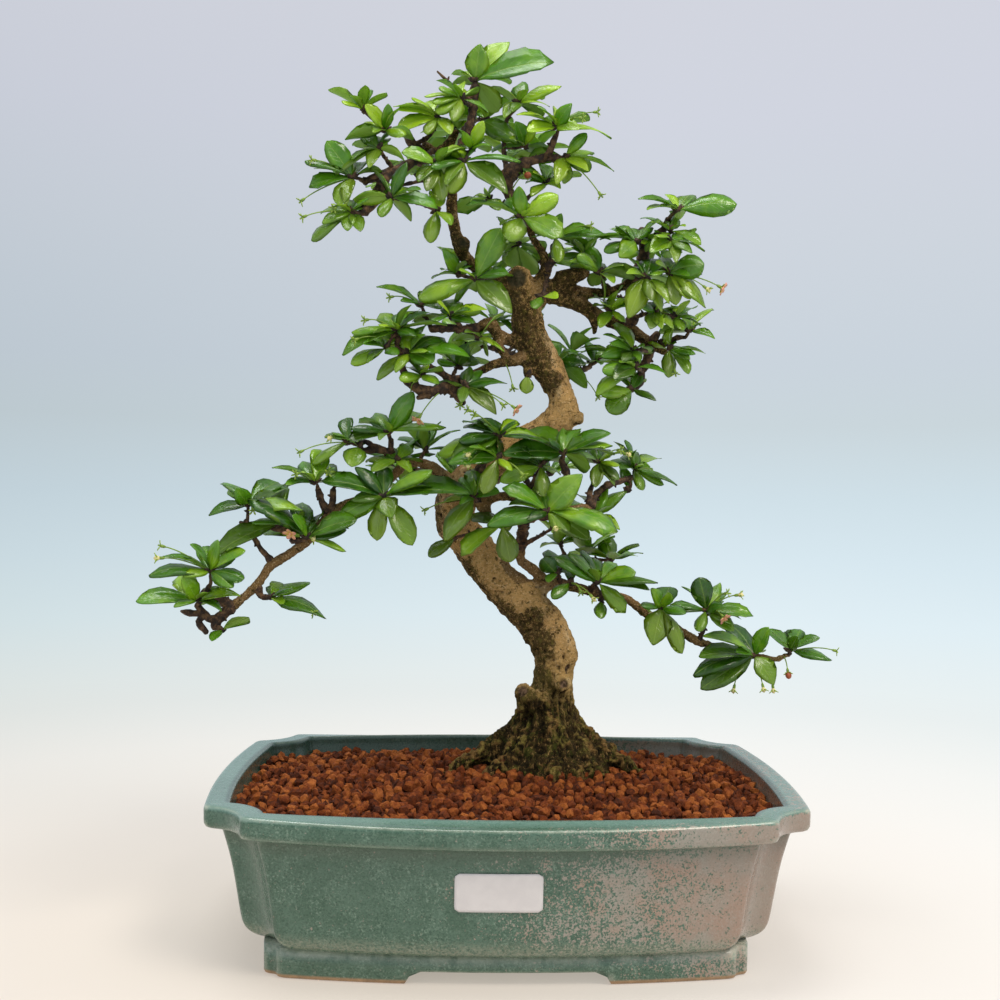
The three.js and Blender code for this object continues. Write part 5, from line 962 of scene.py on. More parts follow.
@dataclass(frozen=True)
class TwigFinish:
    """Knobbly brown twigs, darker on their spurs."""

    brown: str = "#432c1b"
    light: str = "#7a5a3b"
    dark: str = "#160d07"

    def build(self) -> Material:
        """Makes the material, which reads the attribute shade.

        Returns:
            The material.
        """
        g = ShaderGraph("twig_bark")
        tone = g.span(g.noise(3.2, 4, 0.65), 0.3, 0.7)
        colour = g.ramp(tone, (0, self.dark), (0.45, self.brown), (1, self.light))
        colour = g.over(colour, self.dark, g.attribute("shade"), 0, 1, 0.7)
        return g.finish(Base_Color=colour, Roughness=0.8, Normal=g.bump(g.noise(1.1, 3, 0.7), 0.5, 0.9))


@dataclass(frozen=True)
class GlazeFinish:
    """A stippled glaze that runs from grey-green at the left to mauve-grey at the right."""

    green: str = "#3c5c49"
    green_light: str = "#567261"
    green_dark: str = "#1f4433"
    green_pale: str = "#7f9583"
    lip: str = "#6c8c82"
    mauve: str = "#8f877b"
    mauve_pink: str = "#977d6c"
    mauve_pale: str = "#a39c90"
    bloom: str = "#a2a28c"
    under_lip: str = "#4a4f3e"
    cream: str = "#b9beaa"
    inside: str = "#22352e"
    clay: str = "#c29a70"
    clay_dark: str = "#6b5640"

    def build(self) -> Material:
        """Makes the material, which reads the attributes edge, pool and inner, and where a point lies.

        Returns:
            The material.
        """
        g = ShaderGraph("pot_glaze")
        x, z = g.axis(g.place(), 0), g.axis(g.place(), 2)
        colour = g.mix(self.share(g, x, z), self.left(g, z), self.right(g, x))
        band = g.times(g.span(z, 0.0165, 0.023, 0.5, 0), g.span(z, 0.0115, 0.0155, 0.1, 1))
        colour = g.mix(g.times(band, g.span(g.noise(1.2, 4, 0.7), 0.35, 0.6)), colour, self.bloom)
        shadow = g.times(g.span(z, 0.053, 0.062, 0, 0.35), g.span(z, 0.0625, 0.0645, 1, 0))
        colour = g.mix(shadow, colour, self.under_lip)
        # edges turn cream: partly the glaze breaking thin, partly a painted highlight
        edge_break_and_highlight = g.times(g.span(g.attribute("edge"), 0.35, 1, 0, 0.6), g.span(g.noise(7, 3, 0.6), 0.3, 0.62, 0.3, 1))
        colour = g.mix(edge_break_and_highlight, colour, self.cream)
        colour = g.mix(g.times(g.attribute("pool"), 0.8), colour, self.green_dark)
        # the inside wall is painted dark: painted shade inside the pot
        colour = g.mix(g.times(g.attribute("inner"), 0.6), colour, self.inside)
        bare = g.span(z, 0.0014, 0.0026, 1, 0)
        colour = g.mix(bare, colour, g.mix(g.noise(4, 3), self.clay, self.clay_dark))
        roughness = g.plus(g.span(g.noise(3, 3, 0.7), 0.3, 0.7, 0.22, 0.38), g.times(bare, 0.4))
        normal = g.bump(g.noise(16, 2), 0.5, 0.3, g.bump(g.noise(1.3, 3, 0.6), 0.1, 0.5))
        return g.finish(Base_Color=colour, Roughness=roughness, Normal=normal, Coat_Weight=0.25, Coat_Roughness=0.15)

    def share(self, g: ShaderGraph, x: Socket, z: Socket) -> Socket:
        """Returns where the stipple is mauve.

        Args:
            g: the material's graph.
            x: how far to the right a point lies.
            z: its height.

        Returns:
            The socket of a number from 0 to 1.
        """
        collar = g.times(g.span(z, 0.056, 0.063, 0, -0.045), g.span(z, 0.063, 0.066, 1, 0.2))
        foot = g.plus(g.span(z, 0.012, 0.026, -0.05, 0), collar)
        change = g.plus(x, g.span(g.noise(26, 4, 0.7), 0.25, 0.75, -0.028, 0.028))
        change = g.plus(change, g.plus(foot, g.span(z, 0.0725, 0.0745, 0, -0.1)))
        stipple = g.plus(g.times(g.noise(0.9, 2, 0.6), 0.6), g.times(g.noise(2.4, 3, 0.7), 0.4))
        lean = g.times(g.math("SUBTRACT", g.span(change, -0.035, 0.115, how="LINEAR"), 0.5), 0.3)
        return g.span(g.plus(stipple, lean), 0.46, 0.54)

    def left(self, g: ShaderGraph, z: Socket) -> Socket:
        """Returns the green of the left.

        Args:
            g: the material's graph.
            z: the height of a point.

        Returns:
            The socket of the colour.
        """
        green = g.over(self.green, self.green_light, g.noise(12, 5, 0.7), 0.35, 0.65, 0.6)
        fleck = g.times(g.span(g.noise(1, 3, 0.65), 0.36, 0.5, 0.75, 0), g.span(g.noise(14, 4, 0.7), 0.4, 0.62, 0.2, 1))
        green = g.mix(fleck, green, self.green_pale)
        green = g.over(green, self.green_dark, g.noise(0.8, 2, 0.6, (1, 1.1, 1.2)), 0.5, 0.62, 0.7)
        # the top of the lip is painted lighter: a painted highlight where light falls on the rim's top
        return g.over(green, self.lip, z, 0.0725, 0.0745, 0.6)

    def right(self, g: ShaderGraph, x: Socket) -> Socket:
        """Returns the mauve of the right.

        Args:
            g: the material's graph.
            x: how far to the right a point lies.

        Returns:
            The socket of the colour.
        """
        mauve = g.over(self.mauve, self.mauve_pink, g.noise(22, 3), 0.4, 0.65)
        mauve = g.over(mauve, self.mauve_pink, x, 0.07, 0.12, 0.5)
        return g.over(mauve, self.mauve_pale, g.noise(0.9, 2), 0.5, 0.7, 0.4)


@dataclass(frozen=True)
class GranuleFinish:
    """Rough baked granules, each with a tone of its own, over a bed kept dark as painted shade between them."""

    dark: str = "#3b1b0c"
    rust: str = "#763815"
    light: str = "#a55e29"

    def build(self) -> Material:
        """Makes the material, which reads the attribute shade.

        Returns:
            The material.
        """
        g = ShaderGraph("baked_granules")
        tone = g.plus(g.attribute("shade"), g.span(g.noise(2.2, 3, 0.7), 0.25, 0.75, -0.3, 0.3))
        colour = g.ramp(tone, (0, self.dark), (0.5, self.rust), (1, self.light))
        colour = g.over(colour, self.dark, g.noise(0.7, 2), 0.55, 0.7, 0.45)
        normal = g.bump(g.noise(1.3, 4, 0.75), 0.9)
        return g.finish(Base_Color=colour, Roughness=0.95, Normal=normal, Specular_IOR_Level=0.25)


@dataclass(frozen=True)
class PlainFinish:
    """A quiet surface of two tones with a fine grain: blank coated paper, or matt moulded plastic under dust."""

    name: str
    tone: str
    other: str
    cloud: tuple[float, float, float, float]
    grain: Triple
    roughness: float

    def build(self) -> Material:
        """Makes the material.

        Returns:
            The material.
        """
        g = ShaderGraph(self.name)
        size, low, high, most = self.cloud
        grain, depth, strength = self.grain
        return g.finish(Base_Color=g.over(self.tone, self.other, g.noise(size, 3), low, high, most),
                        Roughness=self.roughness, Normal=g.bump(g.noise(grain, 2), depth, strength))


@dataclass(frozen=True)
class PetalFinish:
    """Soft petals, buds or sepals that run from one colour at the foot to another at the tip."""

    name: str
    foot: str
    tip: str

    def build(self) -> Material:
        """Makes the material, which reads the attribute age.

        Returns:
            The material.
        """
        g = ShaderGraph(self.name)
        colour = g.ramp(g.uneven("age", 0.2, g.noise(1.5, 2)), (0.1, self.foot), (0.9, self.tip))
        return g.finish(through=(self.tip, 0.15), Base_Color=colour, Roughness=0.5,
                        Normal=g.bump(g.noise(0.8, 2), 0.08, 0.5))


def pot_middle() -> np.ndarray:
    """Returns where the middle of the pot stands in the row frame: the measured routes start there."""
    low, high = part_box("pot")
    return np.array([(low[0] + high[0]) / 2, (low[1] + high[1]) / 2, 0.0])


OFFSET = pot_middle()


def show(mesh: Mesh) -> Object:
    """Puts a mesh in the scene as an object at the origin, under the mesh's name.

    Args:
        mesh: the mesh.

    Returns:
        The piece.
    """
    piece = bpy.data.objects.new(mesh.name, mesh)
    bpy.context.scene.collection.objects.link(piece)
    return piece


def dress(piece: Object, finish: Material) -> Object:
    """Gives a piece one finish.

    Args:
        piece: the piece.
        finish: its finish.

    Returns:
        The piece.
    """
    piece.data.materials.clear()
    piece.data.materials.append(finish)
    return piece


def settled(piece: Object) -> Object:
    """Turns a piece with live modifiers into a plain mesh, and drops the modifiers.

    Args:
        piece: the piece.

    Returns:
        The piece.
    """
    graph = bpy.context.evaluated_depsgraph_get()
    mesh = bpy.data.meshes.new_from_object(piece.evaluated_get(graph), depsgraph=graph)
    piece.modifiers.clear()
    old, piece.data = piece.data, mesh
    mesh.name = old.name
    bpy.data.meshes.remove(old)
    return piece


def hand_over(piece: Object, slot: str, *nodes: str) -> None:
    """Makes a finished piece ride with the pot.

    Args:
        piece: the piece.
        slot: not used.
        nodes: the CAD nodes that it stands for.
    """
    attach(piece, "root")
    if nodes:
        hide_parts(*nodes)
    log.info("%s: %d faces", piece.name, len(piece.data.polygons))


def give(mesh: Mesh, name: str, values: Iterable[float]) -> None:
    """Stores a number a vertex on a mesh under a name."""
    mesh.attributes.new(name, "FLOAT", "POINT").data.foreach_set("value", np.asarray(values, float))


def smooth(mesh: Mesh, on: bool = True) -> Mesh:
    """Shades a mesh smooth or flat.

    Args:
        mesh: the mesh.
        on: whether it is smooth.

    Returns:
        The mesh.
    """
    mesh.polygons.foreach_set("use_smooth", [on] * len(mesh.polygons))
    mesh.update()
    return mesh


class Shell:
    """Vertices and faces of one piece, gathered from its parts, with a number a vertex under each name."""

    def __init__(self, points: np.ndarray | None = None, faces: Faces = (), **values: float | np.ndarray) -> None:
        """Starts with nothing, or with one part that join would take.

        Args:
            points: the part's vertices.
            faces: its faces.
            values: its numbers.
        """
        self.points, self.faces, self.values, self.count = [], [], {}, 0
        if points is not None:
            self.join(points, faces, **values)

    def join(self, points: np.ndarray, faces: Faces, **values: float | np.ndarray) -> None:
        """Adds a part.

        Args:
            points: its vertices, in millimetres.
            faces: its faces, by its own vertex numbers.
            values: a number for the whole part, or one a vertex, under each name.
        """
        for name in values.keys() | self.values.keys():
            earlier = self.values.setdefault(name, [np.zeros(self.count)] if self.count else [])
            earlier.append(np.broadcast_to(values.get(name, 0.0), len(points)).astype(float))
        self.faces.extend(tuple(i + self.count for i in face) for face in faces)
        self.points.append(points)
        self.count += len(points)

    def mesh(self, name: str, soft: bool = True) -> Mesh:
        """Makes the mesh in the row frame, in metres.

        Args:
            name: its name.
            soft: whether it is shaded smooth.

        Returns:
            The mesh.
        """
        mesh = bpy.data.meshes.new(name)
        mesh.from_pydata((np.vstack(self.points) * MM + OFFSET).tolist(), [], self.faces)
        for key, parts in self.values.items():
            give(mesh, key, np.concatenate(parts))
        smooth(mesh, soft)
        mesh.validate()
        mesh.update()
        return mesh

    def piece(self, name: str, finish: Material, slot: str, *nodes: str) -> None:
        """Makes a finished piece of the parts and hands it over."""
        hand_over(dress(show(self.mesh(name)), finish), slot, *nodes)


def points_of(mesh: Mesh) -> tuple[np.ndarray, np.ndarray]:
    """Reads a mesh.

    Args:
        mesh: the mesh.

    Returns:
        Its vertices and their normals, as rows.
    """
    points, normals = np.empty((2, len(mesh.vertices) * 3))
    mesh.vertices.foreach_get("co", points)
    mesh.vertices.foreach_get("normal", normals)
    return points.reshape(-1, 3), normals.reshape(-1, 3)


def convexity(mesh: Mesh, rounds: int) -> np.ndarray:
    """Returns how far each vertex stands out of its neighbours, in units of their distance.

    Args:
        mesh: the mesh.
        rounds: how often the result is averaged with the neighbours.

    Returns:
        A number a vertex, above 0 on edges and below 0 in hollows.
    """
    points, normals = points_of(mesh)
    edges = np.empty(len(mesh.edges) * 2, int)
    mesh.edges.foreach_get("vertices", edges)
    a, b = edges.reshape(-1, 2).T
    away = points[a] - points[b]
    size = np.linalg.norm(away, axis=1) + 1e-12
    total, share = np.zeros((2, len(points)))
    for end, sign in ((a, 1), (b, -1)):
        np.add.at(total, end, sign * (away * normals[end]).sum(1) / size)
        np.add.at(share, end, 1)
    share = np.maximum(share, 1)
    value = total / share
    for _ in range(rounds):
        near = np.zeros(len(points))
        np.add.at(near, a, value[b])
        np.add.at(near, b, value[a])
        value = 0.5 * value + 0.5 * near / share
    return value


def fine_route(route: list[Station], step: float) -> np.ndarray:
    """Returns a route as closely spaced stations on one smooth curve through its own.

    Args:
        route: the stations.
        step: the spacing to aim at, in millimetres.

    Returns:
        An array of x, y, z, radius rows.
    """
    given = np.array(route, float)
    if len(given) == 2:
        count = max(2, int(np.linalg.norm(given[1, :3] - given[0, :3]) / step) + 1)
        return given[0] + np.linspace(0, 1, count)[:, None] * (given[1] - given[0])
    padded = np.vstack([2 * given[0] - given[1], given, 2 * given[-1] - given[-2]])
    rows = []
    for i in range(1, len(padded) - 2):
        a, b, c, d = padded[i - 1:i + 3]
        count = max(1, int(round(np.linalg.norm(c[:3] - b[:3]) / step)))
        rows += [0.5 * (2 * b + (c - a) * t + (2 * a - 5 * b + 4 * c - d) * t ** 2 + (3 * b - a - 3 * c + d) * t ** 3)
                 for t in np.arange(count) / count]
    fine = np.array([*rows, given[-1]])
    fine[:, 3] = np.maximum(fine[:, 3], 0.3)
    return fine


def band(start: int, size: int, inward: bool = False) -> Faces:
    """Returns the faces from one ring of vertices to the next.

    Args:
        start: the first vertex of the ring.
        size: how many vertices a ring has.
        inward: whether they are turned round.

    Returns:
        The faces.
    """
    turns = [(start + j, start + (j + 1) % size) for j in range(size)]
    return [(a, a + size, b + size, b) if inward else (a, b, b + size, a + size) for a, b in turns]


def skin(rings: list[np.ndarray], first: Iterable[float], last: Iterable[float]) -> tuple[np.ndarray, Faces]:
    """Joins rings of equal size into one closed skin.

    Args:
        rings: the vertices, ring by ring.
        first: the point that closes the first ring.
        last: the point that closes the last ring.

    Returns:
        The vertices and faces.
    """
    size, top = len(rings[0]), (len(rings) - 1) * len(rings[0])
    faces = [face for k in range(len(rings) - 1) for face in band(k * size, size)]
    for j in range(size):
        faces += [(top + size, (j + 1) % size, j), (top + size + 1, top + j, top + (j + 1) % size)]
    return np.vstack([*rings, [first], [last]]), faces


def tube(stations: np.ndarray, sides: int, knobs: float = 0.0, seed: float = 0) -> tuple[np.ndarray, Faces]:
    """Returns a round limb with closed, rounded ends.

    Args:
        stations: rows of x, y, z, radius.
        sides: how many sides it has.
        knobs: how unevenly it swells, as a share of its radius.
        seed: which unevenness.

    Returns:
        The vertices and faces.
    """
    spots, radii = stations[:, :3], stations[:, 3]
    tangents = np.gradient(spots, axis=0)
    tangents /= np.linalg.norm(tangents, axis=1)[:, None] + 1e-9
    spots = np.vstack([spots, spots[-1] + 0.45 * (tangents[-1] * radii[-1])])
    radii = np.append(radii, radii[-1] * 0.62)
    tangents = np.vstack([tangents, tangents[-1]])
    side = np.array([0.0, 1.0, 0.0]) if abs(tangents[0][1]) < 0.9 else np.array([1.0, 0.0, 0.0])
    rings = []
    angles = np.linspace(0, 2 * math.pi, sides, endpoint=False)
    for k, (spot, radius, tangent) in enumerate(zip(spots, radii, tangents)):
        side = side - tangent * side.dot(tangent)
        side /= np.linalg.norm(side) + 1e-9
        other = np.cross(tangent, side)
        swell = np.array([1 + knobs * (draw(k * 31 + j, seed) - 0.5) * 2 for j in range(sides)])
        swell *= 1 + knobs * 0.8 * (draw(k, seed + 3) - 0.5)
        rings.append(spot + (np.cos(angles) * radius * swell)[:, None] * side
                     + (np.sin(angles) * radius * swell)[:, None] * other)
    return skin(rings, spots[0] - tangents[0] * radii[0] * 0.3, spots[-1] + tangents[-1] * radii[-1] * 0.45)


def slab(front: Iterable, back: Iterable, wide: int) -> tuple[np.ndarray, Faces]:
    """Returns a thin closed sheet.

    Args:
        front: the points of one side, row by row.
        back: those of the other side.
        wide: how many points a row has.

    Returns:
        The vertices and faces.
    """
    points = np.array([tuple(p) for p in (*front, *back)])
    count = len(points) // 2
    faces = []
    for i in range(0, count - wide, wide):
        for a in range(i, i + wide - 1):
            quad = (a, a + wide, a + wide + 1, a + 1)
            faces += [quad, tuple(k + count for k in reversed(quad))]
    edge = [*range(wide), *range(2 * wide - 1, count, wide), *range(count - 2, count - wide - 1, -1),
            *range(count - 2 * wide, 0, -wide)]
    faces += [(a, b, b + count, a + count) for a, b in zip(edge, edge[1:] + edge[:1])]
    return points, faces


def stocked(name: str, meshes: Iterable[Mesh]) -> Collection:
    """Returns a collection that holds shapes to be set out.

    Args:
        name: its name.
        meshes: the shapes.

    Returns:
        The collection.
    """
    collection = bpy.data.collections.new(name)
    for mesh in meshes:
        collection.objects.link(bpy.data.objects.new(mesh.name, mesh))
    return collection


def discard(collection: Collection) -> None:
    """Removes a collection and the shapes in it.

    Args:
        collection: the collection.
    """
    for item in list(collection.objects):
        mesh = item.data
        bpy.data.objects.remove(item)
        bpy.data.meshes.remove(mesh)
    bpy.data.collections.remove(collection)


@dataclass
class Pot:
    """The glazed pot: an oblong with indented corners, a broad lip, a tapered wall and four corner feet."""

    height: float = 75
    half_length: float = 135
    half_width: float = 98.6
    notch: Pair = (115.8, 77.7)
    side_bow: float = 11
    end_bow: float = 5
    rim_sag: float = 2.2
    hole: Pair = (58, 10)
    foot_inset: Pair = (27, 17.6)
    foot_notch: Pair = (127, 92)
    foot_width: float = 13
    arch: tuple[float, float, float, float] = (46, 30, 6, 8)
    outer: tuple[Pair, ...] = (
        (13.2, 29.4), (12.9, 27.6), (13.2, 25.2), (14.4, 22), (16.6, 18.8), (19.5, 16.8), (24, 15.5), (33, 14),
        (42, 12.5), (50, 10.9), (58, 8.8), (62.4, 7.5), (63.6, 6.6), (64.2, 4.6), (64.7, 2.2), (65.5, 0.8), (67, 0.1),
        (70, 0), (73.4, 0), (74.5, 0.4), (75, 1.5), (75, 3), (75, 7.6), (75, 9.2), (74.6, 10.2), (73.6, 10.6),
        (70, 11), (65, 12.4), (58, 15), (40, 21), (27, 24), (22, 26), (20, 29))

    @staticmethod
    def bend(a: tuple, b: tuple, c: tuple, places: Iterable[float]) -> list[tuple[float, ...]]:
        """Returns the points at places from 0 to 1 on the curve from a to c that is drawn to b."""
        return [tuple((1 - t) ** 2 * p + 2 * t * (1 - t) * q + t * t * r for p, q, r in zip(a, b, c)) for t in places]

    def quarter(self, corner: Pair) -> np.ndarray:
        """Returns a quarter of a plan, from the middle of a long side to the middle of a short one.

        Args:
            corner: where the long side ends along x, and the short side along y.

        Returns:
            Rows of x and y.
        """
        nx, ny = corner
        length, width = self.half_length, self.half_width
        side = [(nx * s, width + self.side_bow * (1 - s * s)) for s in np.linspace(0, 0.97, 26)]
        short = [(length + self.end_bow * (1 - t * t), ny * t) for t in np.linspace(0.96, 0.03, 22)]
        start, end = (nx + 0.5, width - 2.6), (length - 2.6, ny + 0.6)
        middle = (nx + 0.23 * (length - nx), ny + 0.23 * (width - ny))
        rounded = (0.2, 0.4, 0.6, 0.8)
        return np.array([*side, *self.bend(side[-1], (nx, width), start, rounded),
                         *self.bend(start, middle, end, np.linspace(0, 1, 18)),
                         *self.bend(end, (length, ny), short[0], rounded), *short])

    def plan(self, corner: Pair | None = None) -> np.ndarray:
        """Returns the whole outline of the pot or, given its corner, of the foot, against the clock.

        Args:
            corner: what quarter takes.

        Returns:
            Rows of x and y.
        """
        quarter = self.quarter(corner or self.notch)
        right = np.vstack([quarter, [[self.half_length + self.end_bow, 0]], quarter[:0:-1] * (1, -1)])
        left = np.vstack([[[0, -(self.half_width + self.side_bow)]], quarter[1:] * (-1, -1),
                          [[-(self.half_length + self.end_bow), 0]], quarter[:0:-1] * (-1, 1)])
        return np.vstack([right, left])[::-1]

    def side_inset(self, inset: float) -> float:
        """Returns how far the long sides stand in where the short ones stand in by inset."""
        return inset if inset < 7 else 7 + (inset - 7) * 0.52

    def ring(self, z: float, end: float, side: float, sag: float = 1.0, foot: bool = False) -> np.ndarray:
        """Returns the outline of the wall or the foot at one height.

        Args:
            z: the height.
            end: how far the short sides stand in.
            side: how far the long sides stand in.
            sag: how much of the rim's sag it takes.
            foot: whether it is the foot's.

        Returns:
            Rows of x, y and z.
        """
        plan = self.plan(self.foot_notch if foot else None) * (
            (self.half_length - end) / self.half_length, (self.half_width - side) / self.half_width)
        share = np.minimum(np.abs(plan[:, 0]) / self.notch[0], 1)
        dip = self.rim_sag * sag * (1 - share ** 2) * (z / self.height) ** 3 * (not foot)
        return np.column_stack([plan, z - dip])

    def wall(self, x: float, z: float, proud: float) -> Triple:
        """Returns a point proud of the front wall.

        Args:
            x: where it is along the wall.
            z: its height.
            proud: how far it stands out.

        Returns:
            The point.
        """
        inset = float(np.interp(z, *zip(*self.outer[3:17])))
        share = x * self.half_length / (self.half_length - inset) / self.notch[0]
        y = self.half_width + self.side_bow * (1 - share ** 2)
        return x, -(y * (self.half_width - self.side_inset(inset)) / self.half_width + proud), z

    def shell(self) -> Shell:
        """Returns the walls and floor as one closed skin, from the foot over the lip and down inside.

        Returns:
            The skin.
        """
        rows = fine_route([(z, inset, 0, 1) for z, inset in self.outer], 1.3)[:, :2]
        crest = int(np.argmax(rows[:, 0] > self.height - 0.01))
        rings, inner = [], []
        for k, (z, end) in enumerate(rows):
            sag = 1.0 if k <= crest else min(max((9 - end) / 6, 0), 1)
            rings.append(self.ring(z, end, self.side_inset(end), sag))
            # inner marks the inside wall below the lip, which the glaze darkens as painted shade
            inner += [k > crest and end > 9] * len(rings[-1])
        points, faces = skin(rings, (0, 0, rows[0][0]), (0, 0, rows[-1][0]))
        return Shell(points, faces, inner=np.array([*inner, 0, 1], float))

    def foot(self) -> Shell:
        """Returns the foot ring as one closed skin.

        Returns:
            The skin.
        """
        end, side = self.foot_inset
        width = self.foot_width
        steps = [(13.6, 0, 0), (7, 0, 0), (1.6, 0.1, 0.1), (0.6, 0.5, 0.5), (0, 1.5, 1.5),
                 (0, width - 1.5, width - 1.5), (0.6, width - 0.5, width - 0.5), (13.6, width, width)]
        rings = np.array([self.ring(z, end + a, side + b, foot=True) for z, a, b in steps])
        size, total = len(rings[0]), rings.size // 3
        faces = [face for start in range(0, total, size) for face in band(start, size, True)]
        return Shell(np.vstack(rings), [tuple(i % total for i in face) for face in faces])

    def cutters(self) -> list[Shell]:
        """Returns the drainage holes and the arches between the feet, to be cut away.

        Returns:
            The two holes, then the two arches.
        """
        x, radius = self.hole
        cuts = [Shell(*tube(np.array([(side * x, 0, z, radius) for z in (5, 17.5, 30)]), 48)) for side in (-1, 1)]
        half_x, half_y, height, slope = self.arch
        for half, reach, turn in ((half_x, 300, False), (half_y, 400, True)):
            section = [(-half, -1), (half, -1), (half - slope * 0.35, height * 0.62), (half - slope, height),
                       (-half + slope, height), (-half + slope * 0.35, height * 0.62)]
            points = [(x, y, z) for y in (-reach / 2, reach / 2) for x, z in section]
            if turn:
                points = [(y, -x, z) for x, y, z in points]
            count = len(section)
            faces = [*band(0, count, True), tuple(range(count)), tuple(range(count, 2 * count))[::-1]]
            cuts.append(Shell(np.array(points, float), faces))
        return cuts

    def build(self) -> None:
        """Makes the pot, cuts its holes and arches, glazes it and hands it over."""
        body, ring = both = [show(self.shell().mesh("pot_glazed")), show(self.foot().mesh("foot_ring"))]
        cuts = [show(shell.mesh("cut")) for shell in self.cutters()]
        for target, tools in ((body, cuts[:2]), (ring, cuts[2:])):
            for tool in tools:
                modifier = target.modifiers.new("cut", "BOOLEAN")
                modifier.operation, modifier.solver, modifier.object = "DIFFERENCE", "EXACT", tool
            settled(target)
        for tool in cuts:
            bpy.data.objects.remove(tool)
        with bpy.context.temp_override(active_object=body, object=body, selected_editable_objects=both,
                                       selected_objects=both):
            bpy.ops.object.join()
        self.mark(body.data)
        hand_over(dress(body, GlazeFinish().build()), "glaze", "pot")

    def mark(self, mesh: Mesh) -> None:
        """Stores where the glaze breaks at an edge, painted lighter there as glaze break and painted highlight, and
        where it pools in a hollow.

        Args:
            mesh: the pot's.
        """
        z = points_of(smooth(mesh))[0][:, 2] / MM
        bend = convexity(mesh, 1) * CREASE
        give(mesh, "edge", np.clip(bend, 0, 1))
        give(mesh, "pool", np.clip(-bend, 0, 1) * (z > 9))


@dataclass
class SoilBed:
    """The bed of baked granules: a closed bed with loose grains lying on it, a little mounded at the trunk."""

    pot: Pot
    base: Pair = (25, 30)
    edge: float = 66.5
    crown: float = 3.5
    mound: float = 4.5
    spread: float = 34
    banked: float = 1.8
    sunk: float = 2.6
    floor: float = 20.3
    top_inset: Pair = (12.6, 10.2)
    floor_inset: Pair = (27.9, 18.2)
    steps: int = 26
    spacing: float = 4.1
    grain: float = 2.95
    seed: int = 5

    def level(self, x: float | np.ndarray, y: float | np.ndarray) -> np.ndarray:
        """Returns the height of the surface at a place.

        Args:
            x: where it is from left to right.
            y: where it is from front to back.

        Returns:
            The height, or one a place.
        """
        rho = np.minimum((np.asarray(x) / 122) ** 4 + (np.asarray(y) / 90) ** 4, 1)
        near = ((x - self.base[0]) ** 2 + (y - self.base[1]) ** 2) / (2 * self.spread ** 2)
        ends = self.banked * np.clip((np.abs(x) - 95) / 25, 0, 1)
        return self.edge + self.crown * (1 - rho) + self.mound * np.exp(-near) + ends

    def bed(self) -> Shell:
        """Returns the bed as one closed skin, with its top marked for the grains.

        Returns:
            The bed.
        """
        plan = self.pot.plan()
        half = np.array((self.pot.half_length, self.pot.half_width))
        rings = []
        for k in range(1, self.steps + 1):
            spots = plan * ((half - self.top_inset) / half * k / self.steps)
            z = self.level(spots[:, 0], spots[:, 1]) - self.sunk
            bumps = [0.9 * noise.noise(Vector((x / 7, y / 7, 1.3))) for x, y in spots]
            rings.append(np.column_stack([spots, z + np.array(bumps)]))
        low = plan * ((half - self.floor_inset) / half)
        rings.append(np.column_stack([low, np.full(len(low), self.floor)]))
        size = len(plan)
        middle = [[0, 0, float(self.level(0, 0)) - self.sunk], [0, 0, self.floor]]
        points = np.vstack([*rings, middle])
        high, bottom, last = len(points) - 2, len(points) - 1, self.steps * size
        faces = [(high, j, (j + 1) % size) for j in range(size)]
        for k in range(self.steps):
            faces += band(k * size, size, True)
        faces += [(bottom, last + (j + 1) % size, last + j) for j in range(size)]
        top = np.zeros(len(points))
        top[:last] = top[high] = 1
        # the bed takes a low tone: painted shade in the gaps between the grains
        return Shell(points, faces, top=top, shade=0.12)

    def grains(self) -> Collection:
        """Returns angular grain shapes of unit size, each the hull of a few scattered points.

        Returns:
            The shapes.
        """
        meshes, count = [], 17
        for kind in range(9):
            shape = bmesh.new()
            for k in range(count):
                turn, height = 2.4 * k + 3 * draw(k, kind), 1 - 2 * (k + 0.5) / count
                wide = math.sqrt(1 - height * height)
                far = 0.82 + 0.36 * draw(k, kind + 20)
                shape.verts.new(Vector((wide * math.cos(turn), wide * math.sin(turn) * 0.86, height * 0.78)) * far)
            bmesh.ops.convex_hull(shape, input=shape.verts[:])
            bmesh.ops.recalc_face_normals(shape, faces=shape.faces[:])
            meshes.append(bpy.data.meshes.new(f"grain_{kind}"))
            shape.to_mesh(meshes[-1])
            shape.free()
        return stocked("grain_shapes", meshes)

    def recipe(self) -> NodeRecipe:
        """Returns the tree that strews grains on the marked top and keeps the bed under them.

        Returns:
            The tree.
        """
        r = NodeRecipe("strewn_grains", Grains="Collection", Spacing="Float", Grain_Size="Float", Seed="Int",
                       Finish="Material")
        bed = r.source["Geometry"]
        marked = r.add("FunctionNodeCompare data_type=FLOAT operation=GREATER_THAN", r.named("top", "FLOAT"), 0.5)
        spots = r.add("GeometryNodeDistributePointsOnFaces distribute_method=POISSON", Mesh=bed,
                      Selection=marked.outputs[0], Distance_Min=r.source["Spacing"], Density_Max=400000.0,
                      Seed=r.source["Seed"])
        lift = r.add("ShaderNodeCombineXYZ", Z=r.random("FLOAT", -0.0004, 0.0024, 4))
        raised = r.add("GeometryNodeSetPosition", Geometry=spots.outputs["Points"], Offset=lift.outputs[0])
        size = r.add("ShaderNodeMath operation=MULTIPLY", r.source["Grain Size"], r.random("FLOAT", 0.62, 1.25, 2))
        laid = r.add("GeometryNodeInstanceOnPoints", Points=raised.outputs[0], Instance=r.shapes("Grains"),
                     Pick_Instance=True, Instance_Index=r.random("INT", 0, 8, 3),
                     Rotation=r.random("FLOAT_VECTOR", (0, 0, 0), (6.28, 6.28, 6.28), 1), Scale=size.outputs[0])
        shaded = r.add("GeometryNodeStoreNamedAttribute data_type=FLOAT domain=INSTANCE", Geometry=laid.outputs[0],
                       Name="shade")
        r.feed(next(s for s in shaded.inputs if s.name == "Value" and s.enabled), r.random("FLOAT", 0.1, 0.95, 6))
        r.end(shaded.outputs[0], bed)
        return r

